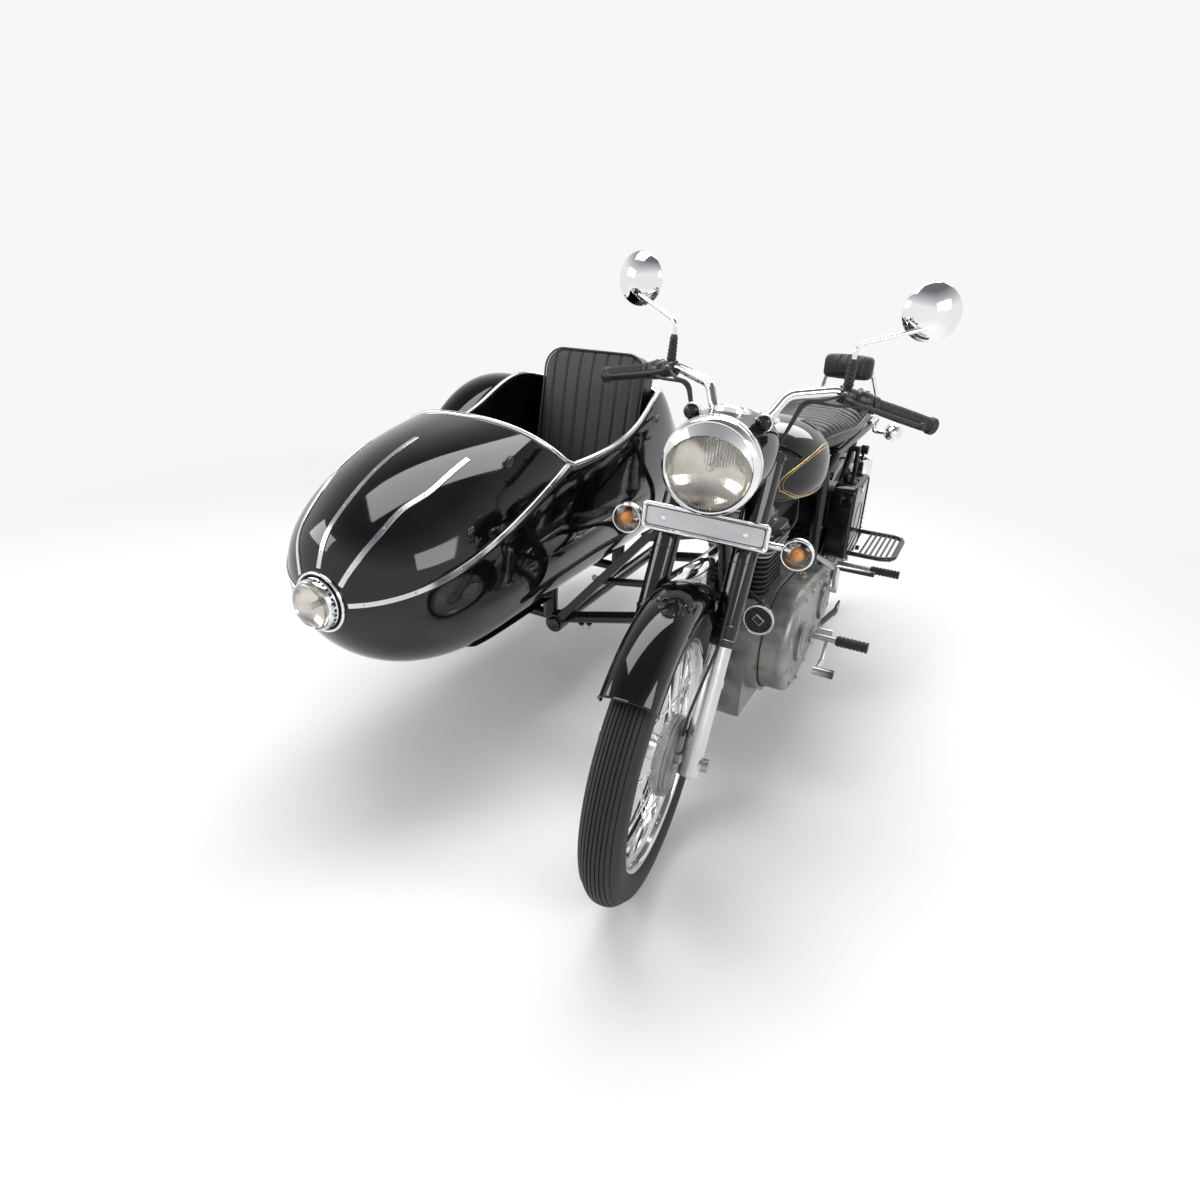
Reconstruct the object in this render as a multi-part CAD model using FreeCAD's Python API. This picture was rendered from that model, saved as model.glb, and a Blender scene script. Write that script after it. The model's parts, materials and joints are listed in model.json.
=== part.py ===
import FreeCAD
import Part
import math
import os
from FreeCAD import Vector

# Sidecar motorcycle: a single-cylinder roadster with a bullet-nosed sidecar on its right.
# Working frame in millimetres: x to the machine's left, y backwards from the front axle, z up.
# The finished pieces are shifted so that the origin is the middle of the footprint box on the ground.

# Driving sizes of the whole machine
wheelbase = 1370.0
wheel_radius = 325.0
rake_deg = 28.0
trail = 100.0
steer_rest_deg = 7.0
sidecar_centre_x = -708.0
sidecar_wheel_x = -1180.0
sidecar_wheel_y = 1130.0
running_gap = 0.05
air_gap = 0.3
overrun = 40.0

# Tyre, rim, hub and spokes
front_tyre_half_width = 43.0
rear_tyre_half_width = 48.0
rim_half_width = 31.0
rim_flange_radius = 252.0
rim_seat_radius = 243.0
rim_well_radius = 230.0
rim_well_half_width = 13.0
rim_wall = 3.0
tyre_shoulder_share = 0.62
axle_radius = 8.0
hub_radius = 27.0
hub_half_width = 47.0
drum_radius = 89.0
drum_width = 30.0
flange_radius = 44.0
flange_width = 6.0
spoke_radius = 2.0
spoke_count = 18
spoke_lean_deg = 34.0
spoke_seat_inset = 8.0

# Rear sprocket and chain
sprocket_radius = 78.0
sprocket_width = 7.0
sprocket_inner = 64.0
sprocket_gap = 2.0
chain_height = 15.0
chain_width = 12.0
engine_sprocket_radius = 36.0

# Fork, in the fork's own frame: x sideways, y back, z up the leg from the axle
fork_half_spacing = 84.0
slider_radius = 23.5
slider_foot = 30.0
slider_length = 262.0
slider_collar_radius = 25.5
slider_collar = 16.0
shroud_radius = 27.0
shroud_top = 470.0
ear_radius = 31.0
yoke_thickness = 24.0
yoke_depth_margin = 8.0
stem_radius = 13.0
fork_lug_radius = 16.0
front_axle_half_length = 112.0
axle_nut_radius = 14.0
axle_nut_length = 12.0

# Steering head and frame tubes
head_radius = 29.0
head_low = shroud_top + yoke_thickness + air_gap
head_high = 640.0
head_bore_gap = 0.4
main_tube_radius = 17.0
seat_tube_radius = 14.0
rail_radius = 12.0
brace_radius = 10.0
top_tube_front_z = 822.0
top_tube_rear_y = 860.0
top_tube_rear_z = 790.0
down_tube_front_z = 800.0
down_tube_low_y = 432.0
down_tube_low_z = 470.0
seat_tube_y = 925.0
seat_tube_low_z = 300.0
seat_tube_half = 90.0
rail_half = 100.0
rail_front_y = 985.0
rail_z = 766.0
rail_end_y = 1600.0
frame_bend = 45.0
pivot_z = 400.0
pivot_tube_radius = 20.0
pivot_half = 82.0

# Swinging arm, shock absorbers and rear axle
arm_half = 97.0
arm_radius = 14.0
rear_axle_half_length = 125.0
shock_half = 128.0
shock_low_z = 372.0
shock_top_y = 1296.0
shock_top_z = 724.0
shock_rod_radius = 8.0
shock_body_radius = 24.0
shock_shroud_radius = 28.0
shock_coil_radius = 30.0
shock_coil_count = 9
shock_eye_radius = 14.0
shock_eye_width = 22.0

# Engine
crank_y = 566.0
crank_z = 372.0
crank_radius = 150.0
gearbox_y = 790.0
gearbox_z = 400.0
gearbox_radius = 112.0
case_half_width = 95.0
cover_left_depth = 68.0
cover_right_depth = 52.0
cover_inset = 14.0
cover_fillet = 22.0
sump_low_z = 192.0
sump_length = 300.0
cylinder_y = 545.0
barrel_radius = 56.0
fin_half_width = 78.0
fin_half_length = 86.0
fin_thickness = 4.0
fin_pitch = 13.0
fin_corner = 30.0
barrel_low_z = 505.0
barrel_fin_count = 8
head_fin_count = 5
head_core_half = 58.0
head_growth = 8.0
rocker_height = 34.0
rocker_half_width = 46.0
rocker_half_length = 60.0
rocker_fillet = 10.0
intake_radius = 20.0
intake_z = 640.0
carb_half = 27.0
carb_length = 66.0
carb_bowl_radius = 22.0
carb_bowl_height = 34.0

# Exhaust
pipe_radius = 20.0
silencer_radius = 42.0
silencer_start_y = 860.0
silencer_end_y = 1640.0
silencer_x = -172.0
silencer_z = 272.0
silencer_taper = 110.0

# Tank, seat and side boxes
tank_front_y = 425.0
tank_length = 420.0
tank_half_width = 150.0
tank_low_z = 738.0
tank_height = 186.0
tank_tunnel_gap = 8.0
filler_radius = 34.0
filler_height = 14.0
filler_y_share = 0.34
seat_front_y = 856.0
seat_length = 606.0
seat_half_width = 128.0
seat_low_z = 781.0
seat_height = 110.0
box_inner_x = 116.0
box_depth = 62.0
box_front_y = 950.0
box_length = 205.0
box_low_z = 466.0
box_height = 222.0
box_corner = 26.0
box_edge = 7.0

# Mudguards
guard_wall = 2.5
front_guard_radius = 346.0
front_guard_half_width = 54.0
front_guard_crown = 20.0
front_guard_skirt = 30.0
front_guard_start_deg = 47.0
front_guard_end_deg = 192.0
rear_guard_radius = 350.0
rear_guard_half_width = 56.0
rear_guard_crown = 20.0
rear_guard_skirt = 34.0
rear_guard_start_deg = 38.0
rear_guard_end_deg = 172.0
side_guard_radius = 420.0
side_guard_rise = 90.0
side_guard_half_width = 66.0
side_guard_crown = 14.0
side_guard_skirt = 26.0
side_guard_start_deg = 4.0
side_guard_end_deg = 176.0
stay_radius = 5.0

# Headlamp, nacelle and front lamps
lamp_z = 905.0
lamp_front_y = 124.0
lamp_rim_radius = 98.0
lamp_rim_depth = 46.0
lamp_lens_radius = 86.0
lamp_lens_bulge = 16.0
nacelle_length = 212.0
nacelle_half_width = 106.0
nacelle_low_z = 812.0
nacelle_height = 186.0
nacelle_wall = 4.0
pilot_half_spacing = 73.0
pilot_y = 222.0
pilot_z = 986.0
pilot_radius = 18.0
pilot_length = 34.0
indicator_half_spacing = 187.0
indicator_y = 252.0
indicator_z = 732.0
indicator_radius = 34.0
indicator_length = 52.0
indicator_stem_radius = 8.0
plate_half_width = 134.0
plate_low_z = 745.0
plate_height = 60.0
plate_y = 160.0
plate_thickness = 6.0
plate_lip = 5.0
plate_corner = 9.0

# Handlebar and its controls
bar_radius = 11.0
bar_root_half = 55.0
bar_root_y = 352.0
bar_root_z = 962.0
bar_rise_half = 84.0
bar_rise_y = 392.0
bar_rise_z = 1016.0
bar_knee_half = 172.0
bar_knee_y = 446.0
bar_knee_z = 1030.0
bar_end_half = 377.0
bar_end_y = 540.0
bar_end_z = 974.0
bar_bend = 40.0
grip_radius = 16.5
grip_length = 128.0
grip_cap_radius = 19.0
grip_cap_length = 16.0
perch_radius = 19.0
perch_length = 34.0
switch_radius = 22.0
switch_length = 40.0
lever_radius = 5.5
lever_ball_radius = 8.5
lever_reach = 44.0
mirror_radius = 60.0
mirror_depth = 16.0
mirror_half = 324.0
mirror_y = 557.0
mirror_z = 1199.0
mirror_boot_radius = 11.0
mirror_boot_length = 56.0
mirror_rod_radius = 5.0
mirror_turn_deg = 14.0

# Rear end and foot controls
carrier_radius = 8.0
carrier_half = 112.0
pad_half_width = 84.0
pad_height = 82.0
pad_thickness = 44.0
pad_y = 1492.0
pad_low_z = 905.0
tail_lamp_half = 44.0
tail_lamp_height = 62.0
tail_lamp_depth = 50.0
rear_plate_half = 100.0
rear_plate_height = 92.0
rear_indicator_half = 162.0
rear_indicator_y = 1592.0
rear_indicator_z = 727.0
rear_indicator_radius = 32.0
horn_radius = 38.0
horn_depth = 30.0
horn_x = 101.0
horn_y = 388.0
horn_z = 503.0
peg_y = 700.0
peg_z = 333.0
peg_end = 317.0
peg_radius = 15.0
peg_rubber_length = 84.0
peg_rib_count = 8
peg_rib_height = 2.0
pillion_y = 1130.0
pillion_z = 392.0
pillion_end = 320.0
pillion_length = 86.0
pillion_radius = 13.0
step_inner_x = 190.0
step_width = 108.0
step_front_y = 1075.0
step_length = 235.0
step_z = 452.0
step_radius = 7.0
step_bar_radius = 3.5
gear_x = 206.0
gear_pedal_length = 46.0
gear_pedal_y = 625.0
gear_pedal_z = 268.0
gear_shaft_y = 745.0
gear_shaft_z = 330.0
lever_rod_radius = 6.0
kick_x = 184.0
kick_y = 838.0
kick_z = 424.0
kick_pedal_length = 98.0
kick_pedal_radius = 15.0
brake_x = -224.0
stand_x = 132.0
stand_pivot_y = 862.0
stand_pivot_z = 262.0
stand_length = 190.0
stand_radius = 9.0
stand_splay = 30.0
stand_foot_length = 52.0
stand_foot_width = 34.0
stand_foot_thickness = 6.0

# Sidecar body: length along y from the nose, half width, and the height box that the section shares refer to
body_nose_y = -192.0
body_length = 1690.0
body_half_width = 284.0
body_low_z = 292.0
body_height = 620.0
body_wall = 5.0
cockpit_front_y = 430.0
cockpit_front_z = 782.0
cockpit_mid_y = 800.0
cockpit_mid_z = 838.0
cockpit_rear_y = 938.0
cockpit_rear_z = 893.0
cockpit_end_y = 1130.0
cockpit_end_z = 852.0
rim_bead = 9.0
rim_proud = 3.0
strip_width = 12.0
strip_proud = 2.5
nose_ring_radius = 70.0
nose_ring_depth = 16.0
nose_lamp_radius = 57.0
nose_lamp_length = 34.0
nose_lens_bulge = 14.0
nose_lamp_z = 565.0
side_seat_low_z = 392.0
side_seat_thickness = 130.0
side_seat_front_y = 560.0
side_seat_length = 330.0
side_seat_half_width = 200.0
side_back_half_width = 188.0
side_back_height = 560.0
side_back_thickness = 92.0
side_back_low_z = 424.0
side_back_y = 900.0
side_back_lean_deg = 12.0
cushion_corner = 30.0

# Sidecar chassis
side_rail_radius = 19.0
side_rail_half = 235.0
side_rail_front_y = 385.0
side_rail_rear_y = 1400.0
side_rail_z = 330.0
front_strut_y = 437.0
front_strut_mid_x = -260.0
front_strut_mid_z = 388.0
upper_front_z = 700.0
upper_bar_width = 34.0
upper_bar_height = 22.0
upper_rear_y = 1190.0
clamp_radius = 26.0
clamp_length = 40.0
stub_axle_tip = 64.0
body_mount_radius = 22.0
side_axle_height = 24.0

# Chosen places that no other size gives

chain_line = 64.0
upper_yoke_z = head_high + air_gap
stay_boss_height = 170.0
stay_boss_radius = 8.0
stay_elbow = 40.0
rear_stay_deg = 168.0
guard_lug_radius = 9.0
rear_guard_stay_deg = 100.0
side_stay_deg = 28.0
cheek_depth = 150.0
brake_plate_gap = 1.0
brake_plate_width = 7.0
brake_arm_width = 18.0
brake_arm_length = 78.0
cable_radius = 3.5
cable_spread = 20.0
cable_bow = 30.0
engine_plate_half = 26.0
engine_plate_height = 70.0
shock_pin_length = 44.0
arm_plate = 12.0
dome_rise = 8.0
dome_radius = 52.0
exhaust_x = -34.0
exhaust_z = 622.0
air_box_front = 952.0
air_box_length = 112.0
air_box_low = 560.0
air_box_height = 110.0
header_reach = 66.0
header_x = -128.0
header_mid_z = 545.0
header_low_x = -160.0
header_low_z = 330.0
header_bend = 62.0
silencer_hanger_y = 1130.0
hanger_thickness = 6.0
hanger_width = 30.0
carrier_run = 190.0
tail_lamp_deg = 128.0
pillion_root = 126.0
seat_hanger_z = 476.0
step_hanger_y = 1182.0
step_bar_count = 7
kick_rise = 34.0
chain_guard_gap = 8.0
chain_case_gap = 5.0
stand_boss_width = 26.0
stand_boss_radius = 16.0
cowl_edge_y = 336.0
cowl_edge_z = 885.0
cut_top_z = 1300.0
cockpit_tail_run = 30.0
seam_nose_drop = 22.0
panel_gap = 0.3
panel_thickness = 14.0
cross_radius = 16.0
cross_run = 78.0
cross_dip = 70.0
cross_front_y = 560.0
cross_mid_y = 1010.0
mount_spread = 120.0
mount_height = 110.0
strut_step = 14.0
front_strut_near_x = -128.0
front_strut_near_y = 414.0
front_strut_near_z = 425.0
front_strut_end_z = 450.0
rear_strut_mid_x = -240.0
rear_strut_mid_y = 960.0
rear_strut_mid_z = 384.0
upper_elbow_x = -205.0
upper_elbow_z = 640.0
link_x = -345.0
link_z = 482.0
link_end_z = 528.0
clamp_plate = 10.0

# Shares of the sizes above, chosen by hand

BEAD_SHARE = 0.88
STAY_TOP_SHARE = 0.9
SHOULDER_DROP_SHARE = 0.24
HUB_NOSE_SHARE = 0.62
ARM_END_SHARE = 1.35
BRAKE_PLATE_SHARE = 0.97
GUARD_SHOULDER_SHARE = 0.35
GUARD_FLAT_SHARE = 0.55
FORK_ANGLE_DEG = 90.0 + rake_deg
ROUND_POWER = 2.2
LAMP_ROLL_SHARE = 0.22
LAMP_TAPER_SHARE = 0.86
LAMP_TAIL_SHARE = 0.4
LENS_SHARE = 0.86
LENS_TIP_SHARE = 0.8
DISH_SHARE = 1.3
RISER_SHARE = 1.2
PERCH_SHARE = 0.05
SWITCH_SHARE = 0.2
LEVER_TIP_SHARE = 0.93
CABLE_SHARES = (0.1, 0.4)
SPINE_SHARE = 1.2
SHOCK_BODY_SHARES = (0.14, 0.38, 0.66, 0.92)
SUMP_SHARE = 0.7
ROCKER_SHARE = 0.42
CARB_CAP_SHARE = 0.8
SILENCER_SHARES = (0.86, 0.8)
TANK_UPPER_POWER = 2.3
TANK_LOWER_POWER = 3.4
TANK_MIDDLE_SHARE = 0.42
SEAT_POWER = 3.0
CARRIER_SHARE = 0.8
HORN_SHARES = (0.9, 0.8, 0.35)
PEG_BAR_SHARE = 0.6
STRIP_SHARES = (
    (0.0, 0.19),
    (0.015, 0.289),
    (0.031, 0.345),
    (0.05, 0.38),
    (0.086, 0.422),
    (0.117, 0.486),
    (0.151, 0.51),
    (0.2, 0.521),
)
PANEL_SHARE = 0.86
CUSHION_POWER = 4.0
NACELLE_SHARES = (
    (0.0, 0.9, 0.0, 1.0),
    (0.25, 0.97, 0.06, 0.99),
    (0.5, 0.98, 0.14, 0.98),
    (0.75, 0.86, 0.28, 0.95),
    (0.95, 0.5, 0.46, 0.88),
)
TANK_SHARES = (
    (0.0, 0.34, 0.16, 0.84),
    (0.04, 0.5, 0.08, 0.91),
    (0.16, 0.8, 0.02, 0.97),
    (0.38, 1.0, 0.0, 1.0),
    (0.62, 0.95, 0.0, 0.96),
    (0.84, 0.72, 0.04, 0.86),
    (0.96, 0.52, 0.1, 0.74),
    (1.0, 0.4, 0.16, 0.66),
)
SEAT_SHARES = (
    (0.0, 0.42, 0.1, 0.62),
    (0.04, 0.6, 0.0, 0.78),
    (0.2, 0.84, 0.0, 0.82),
    (0.4, 1.0, 0.0, 0.86),
    (0.55, 1.0, 0.0, 0.92),
    (0.66, 0.94, 0.0, 1.0),
    (0.85, 0.9, 0.0, 1.0),
    (0.97, 0.84, 0.0, 0.92),
    (1.0, 0.7, 0.12, 0.7),
)
PAD_SHARES = ((0.0, 0.9), (0.12, 1.0), (0.88, 1.0), (1.0, 0.9))
CUSHION_SHARES = ((0.0, 0.88), (0.1, 1.0), (0.9, 1.0), (1.0, 0.88))
BODY_SHARES = (
    (0.0, 0.232, 0.334, 0.547, 2.0, 2.0),
    (0.02, 0.47, 0.245, 0.665, 2.0, 2.0),
    (0.055, 0.7, 0.155, 0.745, 2.05, 2.0),
    (0.105, 0.86, 0.08, 0.825, 2.1, 1.9),
    (0.18, 0.96, 0.02, 0.9, 2.3, 1.8),
    (0.28, 1.0, 0.0, 0.95, 2.6, 1.7),
    (0.38, 1.0, 0.0, 0.975, 3.0, 1.7),
    (0.5, 1.0, 0.0, 1.0, 3.8, 1.7),
    (0.62, 1.0, 0.0, 1.05, 5.0, 1.8),
    (0.7, 0.98, 0.01, 1.05, 4.6, 1.9),
    (0.77, 0.93, 0.04, 0.97, 3.2, 2.0),
    (0.85, 0.8, 0.1, 0.85, 2.6, 2.0),
    (0.92, 0.6, 0.18, 0.71, 2.3, 2.0),
    (0.97, 0.38, 0.27, 0.58, 2.1, 2.0),
    (1.0, 0.16, 0.36, 0.48, 2.0, 2.0),
)

rake = math.radians(rake_deg)
UP_FORK = Vector(0, math.sin(rake), math.cos(rake))
BEND_SHARE = 0.45
BEND_RADII = 2.6
STRAIGHT_HALF_ANGLE = math.radians(88.5)
SMALLEST_RUN_SHARE = 0.01
SECTION_POINTS = 20
HALF = 0.5
FULL_TURN_DEG = 360.0
HALF_TURN_DEG = 180.0
X_AXIS = Vector(1, 0, 0)
Y_AXIS = Vector(0, 1, 0)
Z_AXIS = Vector(0, 0, 1)


def at(x, y, z):
    return Vector(x, y, z)


def rod(start, end, radius):
    """Round bar between two points."""
    return Part.makeCylinder(radius, (end - start).Length, start, end - start)


def block(low, high):
    """Box between two opposite corners."""
    size = high - low
    return Part.makeBox(size.x, size.y, size.z, low)


def fuse(shapes):
    whole = shapes[0]
    if len(shapes) > 1:
        whole = whole.fuse(shapes[1:])
    merged = whole.removeSplitter()
    return merged if merged.isValid() else whole


def largest(shape, count):
    """The biggest solids of a shape that was trimmed."""
    solids = sorted(shape.Solids, key=lambda solid: -solid.Volume)
    return Part.makeCompound(solids[:count]) if count > 1 else solids[0]


def mirror_x(shape, x=0.0):
    return shape.mirror(Vector(x, 0, 0), X_AXIS)


def both_sides(shape, x=0.0):
    return [shape, mirror_x(shape, x)]


def round_path(points, bend):
    """Straight runs joined by tangent arcs of about the bend radius."""
    edges = []
    last = points[0]
    for before, corner, after in zip(points, points[1:], points[2:]):
        to_before = before - corner
        to_after = after - corner
        reach = BEND_SHARE * min(to_before.Length, to_after.Length)
        half_angle = HALF * to_before.getAngle(to_after)
        if half_angle > STRAIGHT_HALF_ANGLE:
            continue
        to_before.normalize()
        to_after.normalize()
        tangent = min(reach, bend / math.tan(half_angle))
        middle = to_before + to_after
        middle.normalize()
        sagitta = tangent / math.cos(half_angle) - tangent * math.tan(half_angle)
        start = corner + to_before * tangent
        end = corner + to_after * tangent
        if (start - last).Length > SMALLEST_RUN_SHARE * tangent:
            edges.append(Part.makeLine(last, start))
        else:
            start = last
        edges.append(Part.Arc(start, corner + middle * sagitta, end).toShape())
        last = end
    edges.append(Part.makeLine(last, points[-1]))
    return Part.Wire(edges)


def pipe(points, radius, bend=None):
    """Bent round tube through the points."""
    path = round_path(points, bend if bend else BEND_RADII * radius)
    direction = points[1] - points[0]
    ring = Part.Wire([Part.makeCircle(radius, points[0], direction)])
    return path.makePipeShell([ring], True, True)


def polygon_face(points):
    return Part.Face(Part.makePolygon(points + [points[0]]))


def lathe_x(profile, centre):
    """Solid turned about the x direction from (x, radius) points."""
    face = polygon_face([Vector(x, 0, radius) for x, radius in profile])
    solid = face.revolve(Vector(0, 0, 0), X_AXIS, FULL_TURN_DEG)
    solid.translate(centre)
    return solid


def lathe(profile, centre, direction):
    """Solid turned about a direction from (distance along it, radius) points."""
    face = polygon_face([Vector(radius, 0, along) for along, radius in profile])
    solid = face.revolve(Vector(0, 0, 0), Z_AXIS, FULL_TURN_DEG)
    solid.Placement = FreeCAD.Placement(centre, FreeCAD.Rotation(Z_AXIS, direction))
    return solid


def side_prism(points_yz, x_low, x_high):
    """Outline in the side view, pushed from one x to another."""
    face = polygon_face([Vector(x_low, y, z) for y, z in points_yz])
    return face.extrude(Vector(x_high - x_low, 0, 0))


def soften(shape, radius, edges=None):
    """Fillet of the edges given, or of all."""
    return shape.makeFillet(radius, edges if edges else shape.Edges)


def belt_face(first, first_radius, second, second_radius, x):
    """Face round two circles of the side view and their outer tangents."""
    dy = second[0] - first[0]
    dz = second[1] - first[1]
    base = math.atan2(dz, dy)
    spread = math.acos((first_radius - second_radius) / math.hypot(dy, dz))

    def on(centre, radius, angle):
        return Vector(x, centre[0] + radius * math.cos(angle), centre[1] + radius * math.sin(angle))

    a_up = on(first, first_radius, base + spread)
    a_back = on(first, first_radius, base + math.pi)
    a_low = on(first, first_radius, base - spread)
    b_low = on(second, second_radius, base - spread)
    b_out = on(second, second_radius, base)
    b_up = on(second, second_radius, base + spread)
    edges = [
        Part.Arc(a_up, a_back, a_low).toShape(),
        Part.makeLine(a_low, b_low),
        Part.Arc(b_low, b_out, b_up).toShape(),
        Part.makeLine(b_up, a_up),
    ]
    return Part.Face(Part.Wire(edges))


def belt(first, first_radius, second, second_radius, x_low, x_high):
    return belt_face(first, first_radius, second, second_radius, x_low).extrude(Vector(x_high - x_low, 0, 0))


def oval_wire(y, half_width, low, high, upper_power, lower_power, x=0.0, mid_share=0.5):
    """Closed smooth section across the machine, a superellipse with its own power above and below."""
    middle = low + (high - low) * mid_share
    points = []
    for i in range(SECTION_POINTS):
        angle = 2 * math.pi * i / SECTION_POINTS
        across = math.cos(angle)
        rise = math.sin(angle)
        power = upper_power if rise >= 0 else lower_power
        reach = (high - middle) if rise >= 0 else (middle - low)
        dx = half_width * math.copysign(abs(across) ** (2 / power), across)
        dz = reach * math.copysign(abs(rise) ** (2 / power), rise)
        points.append(Vector(x + dx, y, middle + dz))
    curve = Part.BSplineCurve()
    curve.interpolate(Points=points, PeriodicFlag=True)
    return Part.Wire([curve.toShape()])


def arc_sweep_section(points_xr, centre, start_deg, end_deg):
    """Solid swept about the x direction between two angles, 0 at the front and 90 at the top."""
    face = polygon_face([Vector(x, -radius, 0) for x, radius in points_xr])
    face.rotate(Vector(0, 0, 0), X_AXIS, -start_deg)
    solid = face.revolve(Vector(0, 0, 0), X_AXIS, -(end_deg - start_deg))
    solid.translate(centre)
    return solid


def on_arc(centre, radius, angle_deg, x):
    """Point at an angle about a wheel's centre, 0 at the front and 90 at the top."""
    angle = math.radians(angle_deg)
    return centre + Vector(x, -radius * math.cos(angle), radius * math.sin(angle))



front_axle = Vector(0, 0, wheel_radius)
rear_axle = Vector(0, wheelbase, wheel_radius)
side_axle = Vector(sidecar_wheel_x, sidecar_wheel_y, wheel_radius)
steer_foot = Vector(0, -trail, 0)
stem_offset = (wheel_radius * math.tan(rake) - trail) * math.cos(rake)


# Wheels

def tyre(centre, half_width):
    """Round-shouldered tyre whose beads sit on the rim."""
    shoulder = half_width * tyre_shoulder_share
    toe = Vector(-rim_half_width * BEAD_SHARE + air_gap, 0, rim_seat_radius + air_gap)
    points = [
        Vector(-rim_half_width + air_gap, 0, rim_flange_radius + air_gap),
        Vector(-half_width, 0, wheel_radius - half_width),
        Vector(-shoulder, 0, wheel_radius - half_width * SHOULDER_DROP_SHARE),
        Vector(0, 0, wheel_radius),
    ]
    other = [Vector(-p.x, 0, p.z) for p in points]
    edges = [
        Part.Arc(points[0], points[1], points[2]).toShape(),
        Part.Arc(points[2], points[3], other[2]).toShape(),
        Part.Arc(other[2], other[1], other[0]).toShape(),
        Part.makeLine(other[0], Vector(-toe.x, 0, toe.z)),
        Part.makeLine(Vector(-toe.x, 0, toe.z), toe),
        Part.makeLine(toe, points[0]),
    ]
    solid = Part.Face(Part.Wire(edges)).revolve(Vector(0, 0, 0), X_AXIS, FULL_TURN_DEG)
    solid.translate(centre)
    return solid


def rim(centre):
    """Deep-well rim with a flange each side."""
    half = [
        (rim_half_width, rim_flange_radius),
        (rim_half_width * BEAD_SHARE, rim_seat_radius),
        (rim_well_half_width, rim_seat_radius),
        (rim_well_half_width, rim_well_radius),
    ]
    outer = [(-x, radius) for x, radius in half] + [(x, radius) for x, radius in reversed(half)]
    inner = [
        (rim_well_half_width + rim_wall, rim_well_radius - rim_wall),
        (rim_half_width * BEAD_SHARE, rim_seat_radius - rim_wall),
        (rim_half_width, rim_seat_radius),
    ]
    profile = outer + list(reversed(inner)) + [(-x, radius) for x, radius in inner]
    return lathe_x(profile, centre)


def spokes(centre, hub_reach):
    """Crossed square-section spokes from the hub flanges to the rim."""
    bars = []
    for i in range(2 * spoke_count):
        side = 1 if i % 2 else -1
        lean = math.radians(spoke_lean_deg) * (1 if (i // 2) % 2 else -1)
        turn = 2 * math.pi * i / (2 * spoke_count)
        root = Vector(side * hub_reach, 0, flange_radius - spoke_seat_inset)
        tip_radius = rim_well_radius - rim_wall * HALF
        tip = Vector(0, tip_radius * math.sin(lean), tip_radius * math.cos(lean))
        direction = tip - root
        face = polygon_face([
            Vector(spoke_radius, 0, 0),
            Vector(0, spoke_radius, 0),
            Vector(-spoke_radius, 0, 0),
            Vector(0, -spoke_radius, 0),
        ])
        bar = face.extrude(Vector(0, 0, direction.Length))
        bar.Placement = FreeCAD.Placement(root, FreeCAD.Rotation(Z_AXIS, direction))
        bar.rotate(Vector(0, 0, 0), X_AXIS, math.degrees(turn))
        bar.translate(centre)
        bars.append(bar)
    return bars


def hub(centre, left_drum, sprocket):
    """Bored hub with two spoke flanges, and a brake drum or a sprocket where there is one."""
    bore = axle_radius + running_gap
    reach = hub_half_width
    profile = [
        (-reach, bore),
        (-reach, hub_radius * HUB_NOSE_SHARE),
        (-reach + flange_width, hub_radius * HUB_NOSE_SHARE),
        (-reach + flange_width, flange_radius),
        (-reach + 2 * flange_width, flange_radius),
        (-reach + 2 * flange_width, hub_radius),
    ]
    if left_drum:
        profile += [
            (reach - drum_width, hub_radius),
            (reach - drum_width, drum_radius * HALF),
            (reach - drum_width + flange_width, drum_radius),
            (reach - flange_width, drum_radius),
            (reach - flange_width, bore),
        ]
    else:
        profile += [
            (reach - 2 * flange_width, hub_radius),
            (reach - 2 * flange_width, flange_radius),
            (reach - flange_width, flange_radius),
            (reach - flange_width, hub_radius * HUB_NOSE_SHARE),
            (reach, hub_radius * HUB_NOSE_SHARE),
            (reach, bore),
        ]
    solid = lathe_x(profile, centre)
    if sprocket:
        plate = [
            (reach - flange_width, bore),
            (reach - flange_width, sprocket_radius * HALF),
            (chain_line - sprocket_width * HALF, sprocket_inner),
            (chain_line - sprocket_width * HALF, sprocket_radius),
            (chain_line + sprocket_width * HALF, sprocket_radius),
            (chain_line + sprocket_width * HALF, sprocket_inner),
            (chain_line - flange_width * HALF, hub_radius),
            (chain_line, bore),
        ]
        solid = solid.fuse(lathe_x(plate, centre))
    return solid


def wheel(centre, left_drum=False, sprocket=False):
    reach = hub_half_width - flange_width * 3 * HALF
    return fuse([rim(centre), hub(centre, left_drum, sprocket)] + spokes(centre, reach))


# Fork and steering head, drawn upright from the axle and then raked back

def rake_back(shape):
    shape.rotate(Vector(0, 0, 0), X_AXIS, -rake_deg)
    shape.translate(front_axle)
    return shape


def fork_sliders():
    """Alloy sliders with their axle lugs and a dust collar at the top."""
    leg = rod(at(fork_half_spacing, 0, -slider_foot), at(fork_half_spacing, 0, slider_length), slider_radius)
    collar_low = at(fork_half_spacing, 0, slider_length - slider_collar)
    collar = rod(collar_low, collar_low + Z_AXIS * slider_collar, slider_collar_radius)
    lug_start = at(fork_half_spacing - slider_radius, 0, 0)
    lug = rod(lug_start, lug_start + X_AXIS * (2 * slider_radius + running_gap), fork_lug_radius)
    hole = rod(lug_start - X_AXIS * overrun, lug_start + X_AXIS * (2 * overrun + slider_radius), axle_radius)
    stay_boss_low = at(fork_half_spacing, 0, stay_boss_height - stay_boss_radius)
    boss = rod(stay_boss_low, stay_boss_low + Z_AXIS * (2 * stay_boss_radius), slider_collar_radius)
    leg = fuse([leg, collar, lug, boss]).cut(hole)
    return rake_back(Part.makeCompound(both_sides(leg)))


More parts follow.
